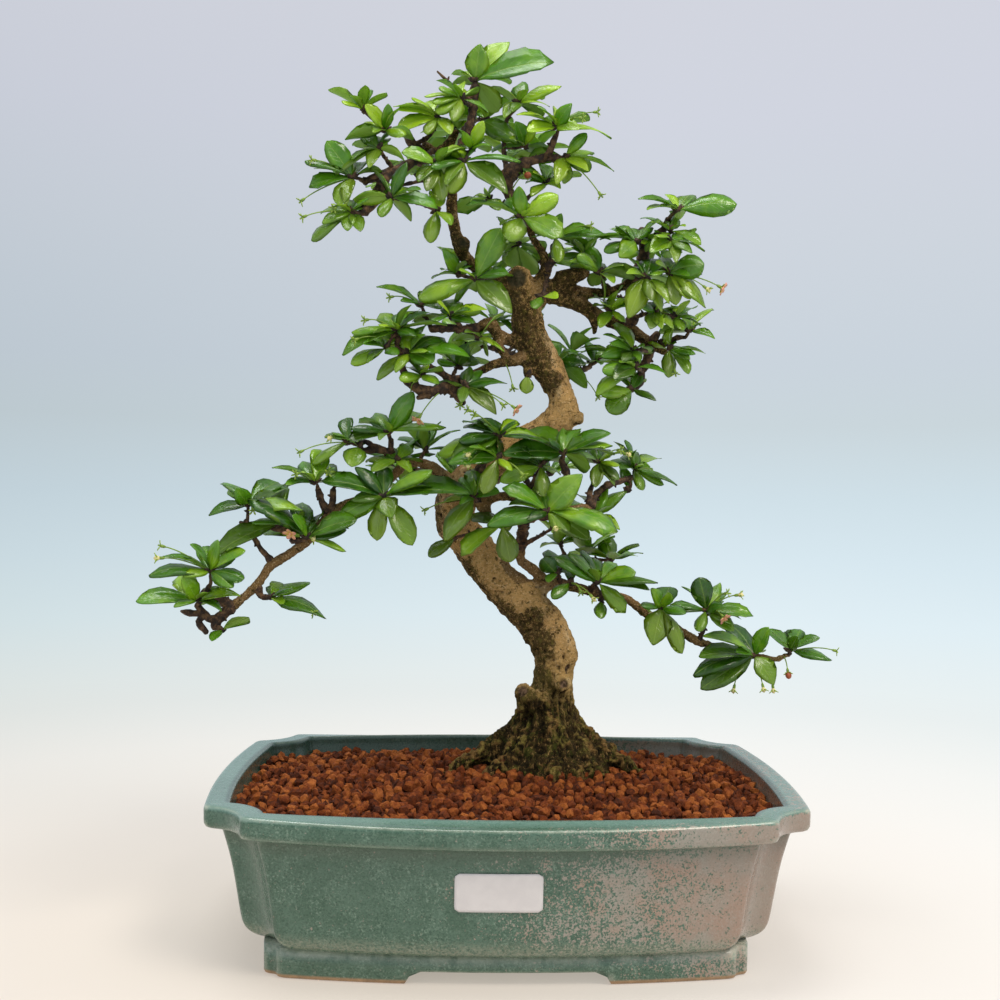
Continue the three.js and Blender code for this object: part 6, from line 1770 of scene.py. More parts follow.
    def build(self) -> None:
        """Makes the bed with its grains and hands it over."""
        shapes = self.grains()
        bed = show(self.bed().mesh("soil_granules", soft=False))
        self.recipe().run(bed, grains=shapes, spacing=self.spacing * MM, grain_size=self.grain * MM,
                          seed=self.seed, finish=GranuleFinish().build())
        discard(shapes)
        hand_over(bed, "granules", "soil")


@dataclass
class Trunk:
    """The trunk with its root flare, bare branches, stubs and knots, grown into one skin of old bark."""

    soil: SoilBed
    voxel: float = 1.05
    roots: tuple[Station, ...] = (
        (188, 50, 18, 6.6), (214, 36, 21, 7), (244, 25, 22, 7.2), (280, 25, 20, 7), (314, 35, 19, 6.6),
        (348, 45, 18, 6.6), (22, 42, 19, 6.6), (68, 36, 20, 7), (112, 38, 18, 6.6), (150, 42, 19, 6.6))
    slim: float = 0.72
    knots: tuple[tuple[Station, Station], ...] = (
        ((15, 18, 106, 7.6), (8.5, 11, 113.5, 5.6)), ((29, 22, 116.5, 7), (30.5, 11.5, 117.5, 5.2)),
        ((30, 8, 254, 5.6), (36, 3, 252.6, 3.6)),
        ((22, 6, 273, 5), (26, -1, 273.6, 2.6)), ((16, 22, 150, 6), (19, 12, 151, 3.2)))
    flare: tuple[Station, ...] = ((25, 31, 60, 38), (25, 30, 74, 33), (24.5, 30, 84, 24), (24, 30, 94, 17))
    cuts: tuple[Station, ...] = (
        (3.4, -2.4, 322.4, 5.4), (-24, -15.5, 337, 4), (8.6, 6.4, 115.4, 4.4), (30.5, 6.4, 117.8, 4.1),
        (26, -3, 273.6, 1.8), (34.6, 18.6, 124.2, 2.6))
    mossy: tuple[Station, ...] = (
        (20, 137, 8, 0.45), (14, 151, 6, 0.4), (28, 145, 4, 0.4), (24, 157, 5, 0.3), (33, 128, 8, -0.4),
        (3, 172, 11, -0.5), (29, 262, 9, -0.3), (13, 110, 6, 0.3), (34, 136, 7, -0.35), (-22, 196, 9, -0.3))

    def root(self, azimuth: float, reach: float, rise: float, girth: float) -> list[Station]:
        """Returns the route of one root, from the flare down into the soil.

        Args:
            azimuth: where it heads, in degrees.
            reach: how far it goes.
            rise: how high above the soil it starts.
            girth: its radius there.

        Returns:
            Its stations.
        """
        heading = math.radians(azimuth)
        route = []
        for share, lift, size in ((0.3, rise, 1.0), (0.6, rise * 0.42, 0.95), (0.92, 1.6, 0.8), (1.26, -6, 0.45)):
            x = self.soil.base[0] + math.cos(heading) * reach * share
            y = self.soil.base[1] + math.sin(heading) * reach * share
            route.append((x, y, float(self.soil.level(x, y)) + lift, girth * size))
        return route

    def routes(self) -> dict[str, list[Station]]:
        """Returns every limb of the trunk by its name.

        Returns:
            The stations of the limbs, the flare, the roots and the knots.
        """
        named = {"main": TRUNK_ROUTES["main"]}
        for name, route in TRUNK_ROUTES.items():
            if name != "main":
                share = 0.86 if len(route) < 5 else self.slim
                named[name] = [(x, y, z, r * max(share, 1 - 0.09 * k)) for k, (x, y, z, r) in enumerate(route)]
        named["flare"] = list(self.flare)
        named |= {f"root_{k}": self.root(*root) for k, root in enumerate(self.roots)}
        return named | {f"knot_{k}": list(knot) for k, knot in enumerate(self.knots)}

    def build(self) -> None:
        """Makes the trunk and hands it over."""
        shell, limbs = Shell(), []
        for k, (name, route) in enumerate(self.routes().items()):
            fine = fine_route(route, 2.0)
            shell.join(*tube(fine, 26 if name in ("main", "flare") else 14, 0.04, k))
            if not name.startswith(("root", "knot", "flare")):
                limbs.append(fine)
        piece = show(shell.mesh("trunk_bark"))
        remesh = piece.modifiers.new("skin", "REMESH")
        remesh.mode, remesh.voxel_size, remesh.use_smooth_shade = "VOXEL", self.voxel * MM, True
        soften = piece.modifiers.new("soften", "SMOOTH")
        soften.iterations, soften.factor = 4, 0.5
        self.relief(settled(piece).data, np.vstack(limbs))
        hand_over(dress(piece, BarkFinish().build()), "bark", "trunk")

    @staticmethod
    def lump(spot: np.ndarray, wide: float, tall: float, shift: float = 0) -> float:
        """Returns smooth noise at a spot, in lumps that wide and tall."""
        return noise.noise(Vector((spot[0] / wide, spot[1] / wide, spot[2] / tall + shift)))

    def crags(self, spot: np.ndarray) -> float:
        """Returns how far the root flare stands out at a spot.

        Args:
            spot: the point.

        Returns:
            The distance, below 0 in a furrow.
        """
        x, y, z = spot
        turn = math.atan2(y - self.soil.base[1], x - self.soil.base[0])
        ridge = noise.noise(Vector((math.cos(turn) * 4.6, math.sin(turn) * 4.6, z / 40)))
        crag = noise.turbulence(Vector((x / 6, y / 6, z / 15)), 5, False)
        return 2.6 * ridge + 2.2 * (crag - 0.75) + 0.9 * self.lump(spot, 1.9, 3)

    def relief(self, mesh: Mesh, limbs: np.ndarray) -> None:
        """Gives the bark its ridges, hollows and knots, and stores where it is mossy, where painted shade darkens it,
        and where it is cut.

        Args:
            mesh: the trunk's.
            limbs: the stations of its limbs.
        """
        points, normals = points_of(mesh)
        places = (points - OFFSET) / MM
        tree = KDTree(len(limbs))
        for k, station in enumerate(limbs):
            tree.insert(station[:3], k)
        tree.balance()
        radius = limbs[[tree.find(p)[1] for p in places], 3]
        height = places[:, 2]
        flare = np.clip((128 - height) / 25, 0, 1)
        shift, moss, cut = np.zeros((3, len(points)))
        for x, y, z, size in self.cuts:
            away = np.linalg.norm(places - (x, y, z), axis=1)
            cut = np.maximum(cut, np.clip((size - away) * 1.5, 0, 1))
        for k, (spot, r) in enumerate(zip(places, radius)):
            broad, plates, fine = self.lump(spot, 9, 13), self.lump(spot, 3.2, 4.4), self.lump(spot, 1.5, 1.8)
            pits = max(self.lump(spot, 2.6, 2.8, 9) - 0.3, 0)
            shift[k] = broad * 0.09 * r + plates * 0.08 * min(r, 9) + fine * 0.42 - pits * 0.5 * min(r, 7)
            if flare[k] > 0:
                shift[k] += flare[k] * self.crags(spot)
            moss[k] = 0.5 + 0.5 * self.lump(spot, 11, 14, 4)
        # moss leans to left-facing and downward faces: partly real moss, partly painted shade on the sides away from
        # the light
        moss = moss * 0.6 + 0.12 * np.clip((205 - height) / 60, 0, 1) - 0.25 * normals[:, 0] - 0.2 * normals[:, 2]
        moss = moss + 0.3 * flare + 0.42 * np.clip((height - 262) / 12, 0, 1)
        for x, z, size, strength in self.mossy:
            away = np.hypot(places[:, 0] - x, places[:, 2] - z)
            moss = moss + strength * np.clip(1.3 - away / size, 0, 1)
        step = np.clip(shift - 1.8 * cut, -4.5, 4) * MM
        mesh.vertices.foreach_set("co", (points + normals * step[:, None]).ravel())
        mesh.update()
        bend = convexity(mesh, 2)
        # shade is painted shade in the hollows and in the low knot holes
        for name, values in (("shade", -bend * CREASE - 0.1 + 0.8 * cut * (height < 200)), ("moss", moss), ("cut", cut),
                             ("crest", 0.35 + bend * 3.5 + 0.12 * shift * flare), ("flare", (119 - height) / 20),
                             ("girth", radius / 10)):
            give(mesh, name, np.clip(values, 0, 1))


class Apex(Enum):
    """How a leaf ends: half its width at stations along its length."""

    ROUND = ((0, 0.05), (0.08, 0.06), (0.17, 0.2), (0.31, 0.38), (0.52, 0.5), (0.73, 0.46), (0.88, 0.32),
             (0.96, 0.18))
    BLUNT = ((0, 0.05), (0.09, 0.06), (0.21, 0.2), (0.4, 0.39), (0.61, 0.5), (0.8, 0.45), (0.91, 0.32), (0.97, 0.18))
    OVAL = ((0, 0.05), (0.07, 0.06), (0.16, 0.22), (0.29, 0.41), (0.46, 0.5), (0.66, 0.43), (0.83, 0.28),
            (0.95, 0.13))
    TOOTHED = ((0, 0.05), (0.09, 0.06), (0.23, 0.24), (0.44, 0.43), (0.7, 0.5), (0.73, 0.44), (0.86, 0.42),
               (0.89, 0.32))


@dataclass
class LeafShape:
    """One blade of unit length and width, arched along its rib and folded or cupped across it."""

    apex: Apex
    arch: float
    fold: float
    twist: float
    thick: float = 0.02

    def build(self, name: str) -> Mesh:
        """Makes the blade, closed, with a UV map along and across it.

        Args:
            name: the mesh's name.

        Returns:
            The mesh.
        """
        across = (-1, -0.5, 0, 0.5, 1)
        rows = [*self.apex.value, (1.0, 0.05)]
        upper, lower = [], []
        for t, half in rows:
            for u in across:
                z = self.arch * 4 * t * (1 - t) + self.fold * abs(u) ** 1.6 * half
                z += 0.018 * math.sin(7 * t + 2.5 * u) * abs(u) + self.twist * (t - 0.4) * u * half
                x, y = u * half, t - 0.015 * u * u * (t > 0)
                upper.append((x, y, z))
                lower.append((x, y, z - self.thick * (1 - u * u) * (0.35 + 0.65 * (1 - t))))
        count, wide = len(rows), len(across)
        points, index = list(upper), {}
        for i in range(count):
            for j in range(wide):
                if j in (0, wide - 1) or i == count - 1:
                    index[i, j] = i * wide + j
                else:
                    index[i, j] = len(points)
                    points.append(lower[i * wide + j])
        faces, places = [], []
        for i in range(count - 1):
            for j in range(wide - 1):
                quad = [(i, j), (i, j + 1), (i + 1, j + 1), (i + 1, j)]
                faces += [[r * wide + c for r, c in quad], [index[r, c] for r, c in quad][::-1]]
                places += quad + quad[::-1]
        back = list(range(wide - 2, 0, -1))
        faces.append([index[0, j] for j in range(wide)] + back)
        places += [(0, j) for j in [*range(wide), *back]]
        mesh = bpy.data.meshes.new(name)
        mesh.from_pydata(points, [], faces)
        flat = [(0.5 + across[c] * rows[r][1], rows[r][0]) for r, c in places]
        mesh.uv_layers.new(name="blade").data.foreach_set("uv", np.array(flat).ravel())
        give(mesh, "under", np.arange(len(points)) >= len(upper))
        return smooth(mesh)


@dataclass
class Foliage:
    """The leafy sprays: knobbly twigs with tufts of small glossy leaves, one pair of pieces a spray."""

    shapes: tuple[LeafShape, ...] = (
        LeafShape(Apex.ROUND, 0.07, 0.12, 0.0), LeafShape(Apex.ROUND, 0.12, -0.16, 0.2),
        LeafShape(Apex.BLUNT, 0.09, 0.1, -0.15), LeafShape(Apex.BLUNT, 0.13, -0.2, 0.0),
        LeafShape(Apex.TOOTHED, 0.09, 0.12, 0.15), LeafShape(Apex.TOOTHED, 0.14, -0.12, -0.2),
        LeafShape(Apex.OVAL, 0.08, 0.14, 0.0), LeafShape(Apex.OVAL, 0.12, -0.1, 0.25))
    young: frozenset[str] = frozenset({"crown_top", "crown_left_high", "crown_right", "low_tip", "left_end"})
    slender: float = 0.45
    number: int = 0

    def recipe(self) -> NodeRecipe:
        """Returns the tree that sets a leaf on each point.

        Returns:
            The tree.
        """
        r = NodeRecipe("set_leaves", Leaves="Collection", Leaf_Scale="Float", Finish="Material")
        turn = r.add("FunctionNodeEulerToRotation", Euler=r.named("turn", "FLOAT_VECTOR"))
        size = r.add("ShaderNodeVectorMath operation=SCALE", r.named("size", "FLOAT_VECTOR"),
                     Scale=r.source["Leaf Scale"])
        set_on = r.add("GeometryNodeInstanceOnPoints", Points=r.source["Geometry"], Instance=r.shapes("Leaves"),
                       Pick_Instance=True, Instance_Index=r.named("kind", "INT"), Rotation=turn.outputs[0],
                       Scale=size.outputs[0])
        r.end(set_on.outputs[0])
        return r

    def whorl(self, count: int, around: bool, index: int) -> list[Leaf]:
        """Returns added leaves.

        Args:
            count: how many.
            around: whether they stand all round a tuft that the view hides, or turn away from the viewer.
            index: where their draws start.

        Returns:
            The leaves.
        """
        leaves = []
        for k in range(count):
            azimuth = k * 137.5 if around else 90 + (k - (count - 1) / 2) * (140 / max(count, 1))
            azimuth = math.radians(azimuth + 24 * (draw(index + k, 1) - 0.5))
            rise = math.radians(-12 + 62 * draw(index + k, 2))
            length = 17 + 8 * draw(index + k, 3)
            flat = math.cos(rise) * length
            leaves.append((math.cos(azimuth) * flat, math.sin(azimuth) * flat, math.sin(rise) * length,
                           0 if around else -2, 0.46 * length))
        return leaves

    def companions(self, measured: list[Leaf], index: int) -> list[Leaf]:
        """Returns a leaf behind most of the measured ones, turned aside and a little shorter.

        Args:
            measured: those of one tuft.
            index: where the draws start.

        Returns:
            The leaves.
        """
        leaves = []
        for k, (x, y, z, _, width) in enumerate(measured):
            if x * x + y * y + z * z < 150 or draw(index + k, 12) < 0.4:
                continue
            turn = math.radians(32 + 26 * draw(index + k, 13)) * (1 if draw(index + k, 14) < 0.5 else -1)
            size = 0.72 + 0.2 * draw(index + k, 15)
            back = 0.6 * math.hypot(x, z)
            side, up = x * math.cos(turn) - z * math.sin(turn), x * math.sin(turn) + z * math.cos(turn)
            reach = Vector((side * 0.8, abs(y) + back, 0.55 * abs(up) + 3))
            leaves.append((*(reach * size), 2, width * size))
        return leaves

    def stance(self, leaf: Leaf, index: int) -> Matrix:
        """Returns how a leaf is turned.

        Args:
            leaf: the leaf.
            index: which draw.

        Returns:
            A matrix with its across, along and normal as columns.
        """
        along = Vector(leaf[:3]).normalized()
        turn = math.radians(leaf[3] * 10 + (9 if 0 < leaf[3] < 7 else 0) + 30 * (draw(index, 4) - 0.5))
        normal = Vector((0.6 * (draw(index, 5) - 0.5), -math.sin(turn), math.cos(turn)))
        normal -= along * normal.dot(along)
        if normal.length < 0.2:
            normal = Vector((0.3, -1, 0.3))
            normal -= along * normal.dot(along)
        normal.normalize()
        return Matrix((along.cross(normal), along, normal)).transposed()

    def leaf_points(self, key: str, tufts: list[Tuft]) -> Object:
        """Returns the points of one spray that carry a leaf, with each leaf's turn, size, kind and age.

        Args:
            key: the spray's name.
            tufts: its tufts.

        Returns:
            The piece.
        """
        spots, turns, sizes, kinds, ages, olives = [], [], [], [], [], []
        for foot, added, measured in tufts:
            leaves = [*measured, *self.whorl(added, not measured, self.number), *self.companions(measured, self.number)]
            lengths = [Vector(leaf[:3]).length for leaf in leaves]
            order = sorted(range(len(leaves)), key=lengths.__getitem__)
            for k, (leaf, length) in enumerate(zip(leaves, lengths)):
                self.number += 1
                sprout = 1 - order.index(k) / len(order)
                spots.append(np.array(foot) * MM + OFFSET)
                turns.append(tuple(self.stance(leaf, self.number).to_euler()))
                width = max(leaf[4], self.slender * length) * (0.92 + 0.16 * draw(self.number, 16))
                sizes.append((width * MM, length * MM, length * MM))
                toothed = length > 21 and draw(self.number, 7) < 0.2
                options = (4, 5) if toothed else (0, 1, 2, 3, 6, 7)
                kinds.append(options[int(draw(self.number, 8) * len(options))])
                age = 0.05 + 0.75 * draw(self.number, 9) ** 1.2 + 0.3 * sprout * (length < 14)
                age += 0.0012 * (foot[2] - 250) + (0.14 if key in self.young else 0)
                ages.append(min(max(age, 0), 1))
                # hanging leaves take olive as painted backlight, the glow of light through them; the random share is a
                # real olive tone
                hangs = max(0.0, -leaf[2] / length - 0.25)
                olives.append(min(0.9 * hangs + 0.5 * max(0.0, draw(self.number, 10) - 0.6), 0.7))
        mesh = bpy.data.meshes.new(f"leaves_{key}")
        mesh.from_pydata([tuple(p) for p in spots], [], [])
        for name, rows in (("turn", turns), ("size", sizes)):
            mesh.attributes.new(name, "FLOAT_VECTOR", "POINT").data.foreach_set("vector", np.array(rows).ravel())
        mesh.attributes.new("kind", "INT", "POINT").data.foreach_set("value", kinds)
        give(mesh, "age", ages)
        give(mesh, "olive", olives)
        return show(mesh)

    def twigs(self, key: str, spray: Spray, finish: Material) -> None:
        """Makes the twigs of one spray, with knobs where leaves have grown, and hands them over.

        Args:
            key: the spray's name.
            spray: the spray.
            finish: the twigs' finish.
        """
        shell = Shell()
        for k, route in enumerate(spray.wood):
            fine = fine_route(route, 1.8)
            sides = 10 if fine[0][3] > 2 else 7
            nodes = [1 + 0.3 * max(0.0, math.sin(i * 1.3 + k)) ** 3 for i in range(len(fine))]
            slim = 0.72 + 0.1 * np.clip((fine[:, 3] - 2.5) / 2, 0, 1)
            fine[:, 3] = np.maximum(fine[:, 3] * nodes * slim, 0.55)
            shell.join(*tube(fine, sides, 0.16, k + len(key)), shade=0.25)
            for i in range(2, len(fine) - 1, 2):
                girth = fine[i, 3]
                self.spur(shell, fine[i, :3], girth + 0.4 + 1.5 * draw(i, k + 40), 0.45 + 0.3 * girth, i * 7 + k)
        for k, (foot, *_) in enumerate(spray.tufts):
            for j in range(4):
                self.spur(shell, np.array(foot), 2.2 + 1.8 * draw(j, k + 50), 1.1 + 0.4 * draw(j, k + 51), k * 5 + j)
        shell.piece(f"twigs_{key}", finish, "bark")

    def spur(self, shell: Shell, foot: np.ndarray, length: float, girth: float, index: int) -> None:
        """Adds a short woody spur or bud scale that points out from its foot, in a drawn direction.

        Args:
            shell: where it goes.
            foot: where it starts.
            length: how long it is.
            girth: its radius at the foot.
            index: which draw.
        """
        lean = np.array([draw(index, 30) - 0.5, draw(index, 31) - 0.5, draw(index, 32) - 0.4])
        lean = lean / (np.linalg.norm(lean) + 1e-6)
        middle, end = foot + lean * length * 0.6, foot + lean * length
        route = np.array([[*foot, girth], [*middle, girth * 0.9], [*end, girth * 0.35]])
        shell.join(*tube(route, 5, 0.2, index), shade=0.6)

    def build(self) -> None:
        """Makes every spray."""
        shapes = stocked("leaf_shapes", [shape.build(f"leaf_{k}") for k, shape in enumerate(self.shapes)])
        recipe, green, wood = self.recipe(), LeafFinish().build(), TwigFinish().build()
        for key, spray in SPRAYS.items():
            self.twigs(key, spray, wood)
            leaves = recipe.run(self.leaf_points(key, spray.tufts), leaves=shapes, leaf_scale=1.0, finish=green)
            hand_over(leaves, "foliage", f"spray_{key}")
        discard(shapes)


@dataclass
class Blooms:
    """The small pink flowers, spent stars, buds and berries on their thin curved stalks."""

    stalk: float = 0.3
    arch: float = 3.0
    calyx: float = 2.4
    petal: Pair = (3.6, 2.3)
    sepal: Pair = (2.6, 0.9)
    bud: float = 1.25
    berry: float = 1.7
    lobe: tuple[Pair, ...] = ((0, 0.3), (0.3, 0.75), (0.6, 1.0), (0.85, 0.7), (1.0, 0.15))
    pink: PetalFinish = PetalFinish("petal_pink", "#e8c257", "#f0a797")
    green: PetalFinish = PetalFinish("stalk_green", "#6f8f2c", "#a9c24a")
    cream: PetalFinish = PetalFinish("bud_cream", "#d3cf6a", "#efe2a0")
    red: PetalFinish = PetalFinish("berry_red", "#7c3a1f", "#a6532c")

    def stalk_of(self, shell: Shell, foot: Vector, head: Vector, index: int) -> Vector:
        """Adds a bent stalk that thickens into its calyx.

        Args:
            shell: where it goes.
            foot: where it starts.
            head: where it ends.
            index: which unevenness.

        Returns:
            The way that the head looks.
        """
        bend = foot.lerp(head, 0.55) + Vector((0, 0, self.arch))
        look = (head - bend).normalized()
        neck = head - look * self.calyx
        curve = [(1 - t) ** 2 * foot + 2 * t * (1 - t) * bend + t * t * neck for t in np.linspace(0, 1, 9)]
        route = [(*p, self.stalk * (1.25 - 0.25 * i / 8)) for i, p in enumerate(curve)]
        route += [(*(head - look * self.calyx * 0.6), 0.75), (*head, 0.85)]
        shell.join(*tube(np.array(route), 6, 0.05, index), age=0.3)
        return look

    def lobes(self, shell: Shell, head: Vector, look: Vector, size: Pair, lift: float) -> None:
        """Adds five pointed lobes round a head.

        Args:
            shell: where they go.
            head: their middle.
            look: the way that the head looks.
            size: their length and width.
            lift: how far their tips rise, as a share of their length.
        """
        across = look.orthogonal().normalized()
        length, width = size
        half = look * 0.16
        ages = np.repeat([t for t, _ in self.lobe], 3)
        for k in range(5):
            turn = Matrix.Rotation(math.radians(72 * k + 9), 3, look)
            out, side = turn @ across, turn @ look.cross(across)
            blade = []
            for t, w in self.lobe:
                middle = head + out * (t * length) + look * (lift * length * t * (1.6 - 0.6 * t))
                blade += [middle + side * (u * w * width / 2) + look * (0.12 * width * abs(u)) for u in (-1, 0, 1)]
            shell.join(*slab([p + half for p in blade], [p - half for p in blade], 3), age=np.tile(ages, 2))

    def ball(self, shell: Shell, head: Vector, look: Vector, radius: float, index: int) -> None:
        """Adds a bud or a berry, a little longer than wide.

        Args:
            shell: where it goes.
            head: its foot.
            look: the way that it looks.
            radius: half its width.
            index: which unevenness.
        """
        turns = np.linspace(0.25, math.pi - 0.12, 8)
        route = [(*(head + look * radius * 1.15 * (1 - math.cos(a))), radius * math.sin(a)) for a in turns]
        shell.join(*tube(np.array(route), 9, 0.06, index), age=0.8)

    def build(self) -> None:
        """Makes the green stalks and stars, the petals of each open flower, the buds and the berries."""
        stalks, buds, berries = Shell(), Shell(), Shell()
        pink = self.pink.build()
        for k, (kind, name, foot, head) in enumerate(BLOOMS):
            head = Vector(head)
            look = self.stalk_of(stalks, Vector(foot), head, k)
            self.lobes(stalks, head, look, self.sepal, 0.9 if kind == "bud" else 0.35)
            if kind == "bud":
                self.ball(buds, head, look, self.bud, k)
            elif kind == "berry":
                self.ball(berries, head, look, self.berry, k)
            elif kind == "flower":
                corolla = Shell()
                self.lobes(corolla, head + look * 0.5, look, self.petal, 0.3)
                self.ball(corolla, head + look * 0.3, look, 0.7, k)
                corolla.piece(f"corolla_{name}", pink, "petal", f"petals_{name}")
        stalks.piece("bloom_stalks", self.green.build(), "foliage")
        buds.piece("bloom_buds", self.cream.build(), "petal")
        berries.piece("bloom_berries", self.red.build(), "petal")


@dataclass
class Label:
    """A blank paper label stuck on the front wall."""

    pot: Pot
    middle: Pair = (-5, 43.5)
    width: float = 38
    height: float = 17
    gap: float = 0.25
    thick: float = 0.45
    corner: float = 2
    cells: tuple[int, int] = (28, 14)
    finish: PlainFinish = PlainFinish(
        "blank_paper", "#d8d2d0", "#c9c3c2", (6, 0.35, 0.65, 0.35), (0.5, 0.03, 0.4), 0.42)

    def build(self) -> None:
        """Makes the label and hands it over."""
        columns, rows = self.cells
        front, back = [], []
        for i in range(rows + 1):
            v = (i / rows - 0.5) * self.height
            over = max(0.0, abs(v) - (self.height / 2 - self.corner))
            half = self.width / 2 - self.corner + math.sqrt(max(self.corner ** 2 - over ** 2, 0))
            for j in range(columns + 1):
                x, z = self.middle[0] + half * (2 * j / columns - 1), self.middle[1] + v
                front.append(self.pot.wall(x, z, self.gap + self.thick))
                back.append(self.pot.wall(x, z, self.gap))
        Shell(*slab(back, front, columns + 1)).piece("label_sheet", self.finish.build(), "paper", "label_blank")


@dataclass
class DrainScreens:
    """The two plastic nets over the drainage holes: their solids stay, in a better finish."""

    names: tuple[str, ...] = ("drain_screen_left", "drain_screen_right")
    finish: PlainFinish = PlainFinish("black_net", "#161716", "#4a2f22", (3, 0.5, 0.75, 0.5), (1, 0.1, 0.5), 0.6)

    def build(self) -> None:
        """Gives both nets their finish."""
        finish = self.finish.build()
        for name in self.names:
            dress(bpy.data.objects[name], finish)
            log.info("%s: new finish", name)


@dataclass(frozen=True)
class SweepFinish:
    """Pale paper that glows, a painted light: half glow near the tree and all glow far from it, in the painted tones of
    light that the view has from its top to its foot.
    """

    backdrop: tuple[tuple[float, str], ...] = (
        (0.0, "#d2d5df"), (0.13, "#d1d5e0"), (0.25, "#ced5de"), (0.37, "#cad4dd"), (0.43, "#cad6dc"),
        (0.5, "#d0e0e8"), (0.56, "#d8e8f0"), (0.62, "#e1eff5"), (0.68, "#e9f1f2"), (0.74, "#ecedea"),
        (0.8, "#e9e5df"), (0.86, "#e8e1d8"), (0.92, "#e8dccf"), (1.0, "#ecdaca"))
    left_tint: tuple[tuple[float, str], ...] = (
        (0, "#f9f9f9"), (0.3, "#f0f2f3"), (0.5, "#edeeef"), (0.62, "#eeefed"), (0.74, "#f6f3f0"), (0.88, "#f9f3ec"),
        (1, "#fcf9f5"))
    right_tint: str = "#ffffff"

    def build(self) -> Material:
        """Makes the material, which reads the attributes seen, glow and aside.

        Returns:
            The material.
        """
        g = ShaderGraph("studio_paper")
        seen = g.attribute("seen")
        # towards the left the tones dim a little: a painted fall of light across the backdrop
        rightward = g.span(g.attribute("aside"), -0.36, 0.15, how="LINEAR")
        tint = g.mix(rightward, g.ramp(seen, *self.left_tint), self.right_tint)
        colour = g.mix(1.0, g.ramp(seen, *self.backdrop), tint, "MULTIPLY")
        paper = g.add("ShaderNodeBsdfPrincipled", Base_Color=colour, Roughness=0.7,
                      Normal=g.bump(g.noise(3, 2), 0.05, 0.2)).outputs[0]
        lit = g.add("ShaderNodeEmission", Color=colour, Strength=1.0).outputs[0]
        both = g.add("ShaderNodeMixShader", g.attribute("glow"), paper, lit).outputs[0]
        g.feed(g.output.inputs["Surface"], both)
        return g.material


@dataclass(frozen=True)
class Lamp:
    """A soft square light that faces the tree."""

    name: str
    spot: Triple
    size: float
    power: float
    colour: str = "#ffffff"

    def build(self) -> None:
        """Puts the light in the scene."""
        data = bpy.data.lights.new(self.name, "AREA")
        data.shape, data.size, data.size_y = "RECTANGLE", self.size, self.size
        data.energy, data.color = self.power, tint_of(self.colour)[:3]
        lamp = bpy.data.objects.new(self.name, data)
        lamp.location = self.spot
        lamp.rotation_euler = (Vector((0, 0, 0.2)) - Vector(self.spot)).to_track_quat("-Z", "Y").to_euler()
        bpy.context.scene.collection.objects.link(lamp)


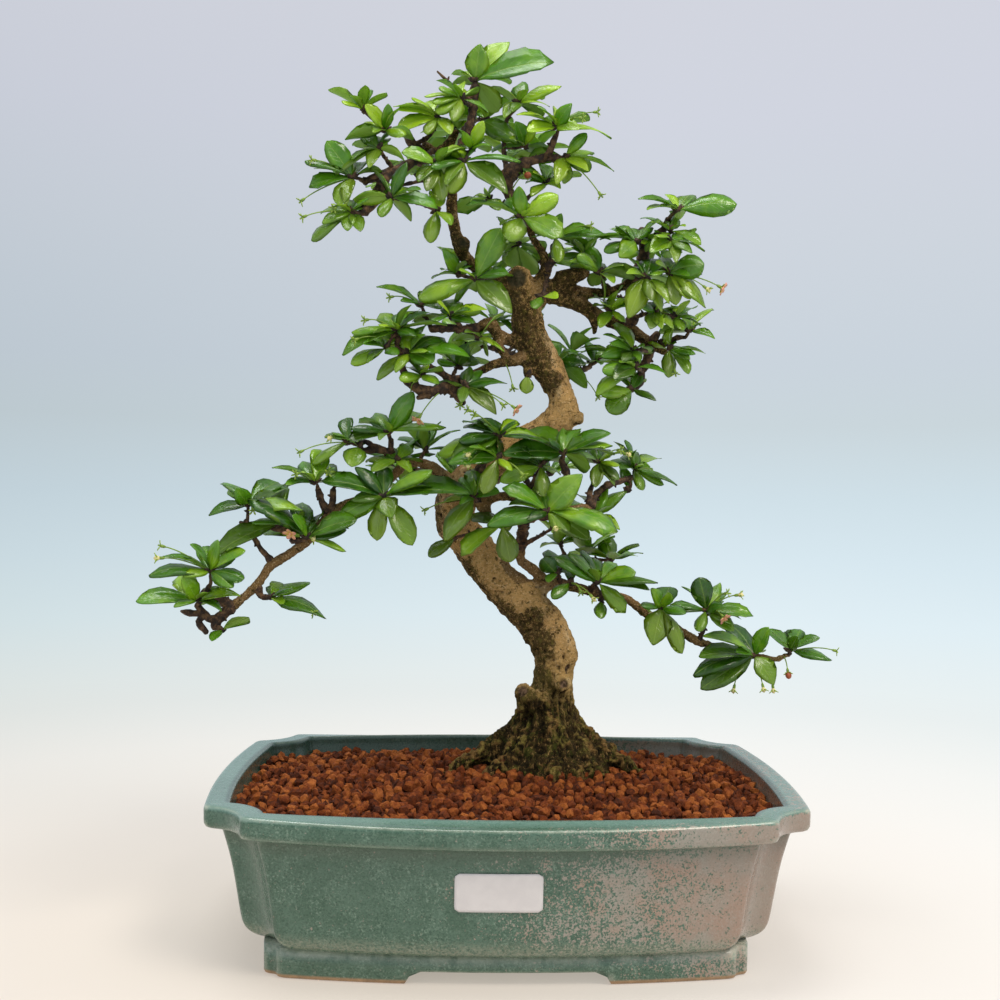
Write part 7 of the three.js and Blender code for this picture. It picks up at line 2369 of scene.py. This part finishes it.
@dataclass
class Studio:
    """The camera at the photograph's angle, soft light and a pale floor that sweeps up all round."""

    lens: float = 47.7
    sensor: float = 36
    spot: Triple = (-25.3066, -664.2692, 213.9288)
    yaw: float = -0.0325
    pitch: float = 0.0043
    roll: float = 0.0144
    floor_reach: float = 1000
    wall_reach: float = 2300
    wall_height: float = 2500
    sides: int = 96
    lamps: tuple[Lamp, ...] = (
        Lamp("key", (0.9, -1.0, 1.9), 0.8, 30, "#fff6ea"), Lamp("top", (-0.3, 0.1, 2.2), 1.1, 26),
        Lamp("fill", (-1.3, -1.4, 0.9), 1.2, 5))
    sky: str = "#eef2f6"
    sky_strength: float = 0.55

    def camera(self) -> None:
        """Sets up the camera."""
        forward = Vector((-math.sin(self.yaw), math.cos(self.yaw), 0)) * math.cos(self.pitch)
        forward.z = -math.sin(self.pitch)
        level = Vector((math.cos(self.yaw), math.sin(self.yaw), 0))
        up = level.cross(forward)
        across = level * math.cos(self.roll) + up * math.sin(self.roll)
        upright = up * math.cos(self.roll) - level * math.sin(self.roll)
        data = bpy.data.cameras.new("camera")
        data.lens, data.sensor_width = self.lens, self.sensor
        data.clip_start, data.clip_end = 0.02, 20
        camera = bpy.data.objects.new("camera", data)
        camera.matrix_world = Matrix((across, upright, -forward)).transposed().to_4x4()
        camera.location = Vector(self.spot) * MM + Vector(OFFSET)
        bpy.context.scene.collection.objects.link(camera)
        bpy.context.scene.camera = camera

    def sweep(self) -> None:
        """Makes the floor and the backdrop as one round sweep."""
        rise = self.wall_reach - self.floor_reach
        rows = [(r, 0.0) for r in (0, 60, 120, 180, 260, 340, 420, 520, 640, 760, 880, self.floor_reach)]
        rows += [(self.floor_reach + rise * math.sin(a), rise * (1 - math.cos(a)))
                 for a in np.linspace(0.1, 1.57, 26)]
        rows += [(self.wall_reach, z) for z in np.linspace(rise + 100, self.wall_height, 6)]
        points, seen, glow, aside = [], [], [], []
        for r, z in rows:
            # seen sets each ring's painted tone of light, and glow sets how much painted light the paper gives off
            seen += [0.5 + self.lens / self.sensor * (self.spot[2] - z) / (r - self.spot[1])] * self.sides
            glow += [0.5 + 0.5 * min(max((r - 300) / 500, 0), 1)] * self.sides
            for k in range(self.sides):
                angle = 2 * math.pi * k / self.sides
                x, y = math.cos(angle) * r, math.sin(angle) * r
                points.append((x, y, z - 0.02))
                aside.append(x / max(y - self.spot[1], 150))
        faces = [face[:3] for face in band(0, self.sides, True)]
        for i in range(1, len(rows) - 1):
            faces += band(i * self.sides, self.sides, True)
        shell = Shell(np.array(points), faces, seen=np.array(seen), glow=np.array(glow), aside=np.array(aside))
        dress(show(shell.mesh("studio_sweep")), SweepFinish().build())

    def build(self) -> None:
        """Sets up the camera, the sweep, the lights and the sky above them."""
        self.camera()
        self.sweep()
        for lamp in self.lamps:
            lamp.build()
        scene = bpy.context.scene
        scene.world = bpy.data.worlds.new("sky")
        scene.world.use_nodes = True
        light = scene.world.node_tree.nodes["Background"].inputs
        light["Color"].default_value, light["Strength"].default_value = tint_of(self.sky), self.sky_strength
        scene.view_settings.view_transform, scene.view_settings.look = "Standard", "None"
        log.info("studio: camera, %d lights, sweep", len(self.lamps))


def main() -> None:
    """Builds the bonsai's pieces in order."""
    logging.basicConfig(level=logging.INFO, format="%(message)s")
    Studio().build()
    pot = Pot()
    pot.build()
    soil = SoilBed(pot)
    soil.build()
    Trunk(soil).build()
    Foliage().build()
    Blooms().build()
    Label(pot).build()
    DrainScreens().build()


if __name__ == "__main__":
    main()
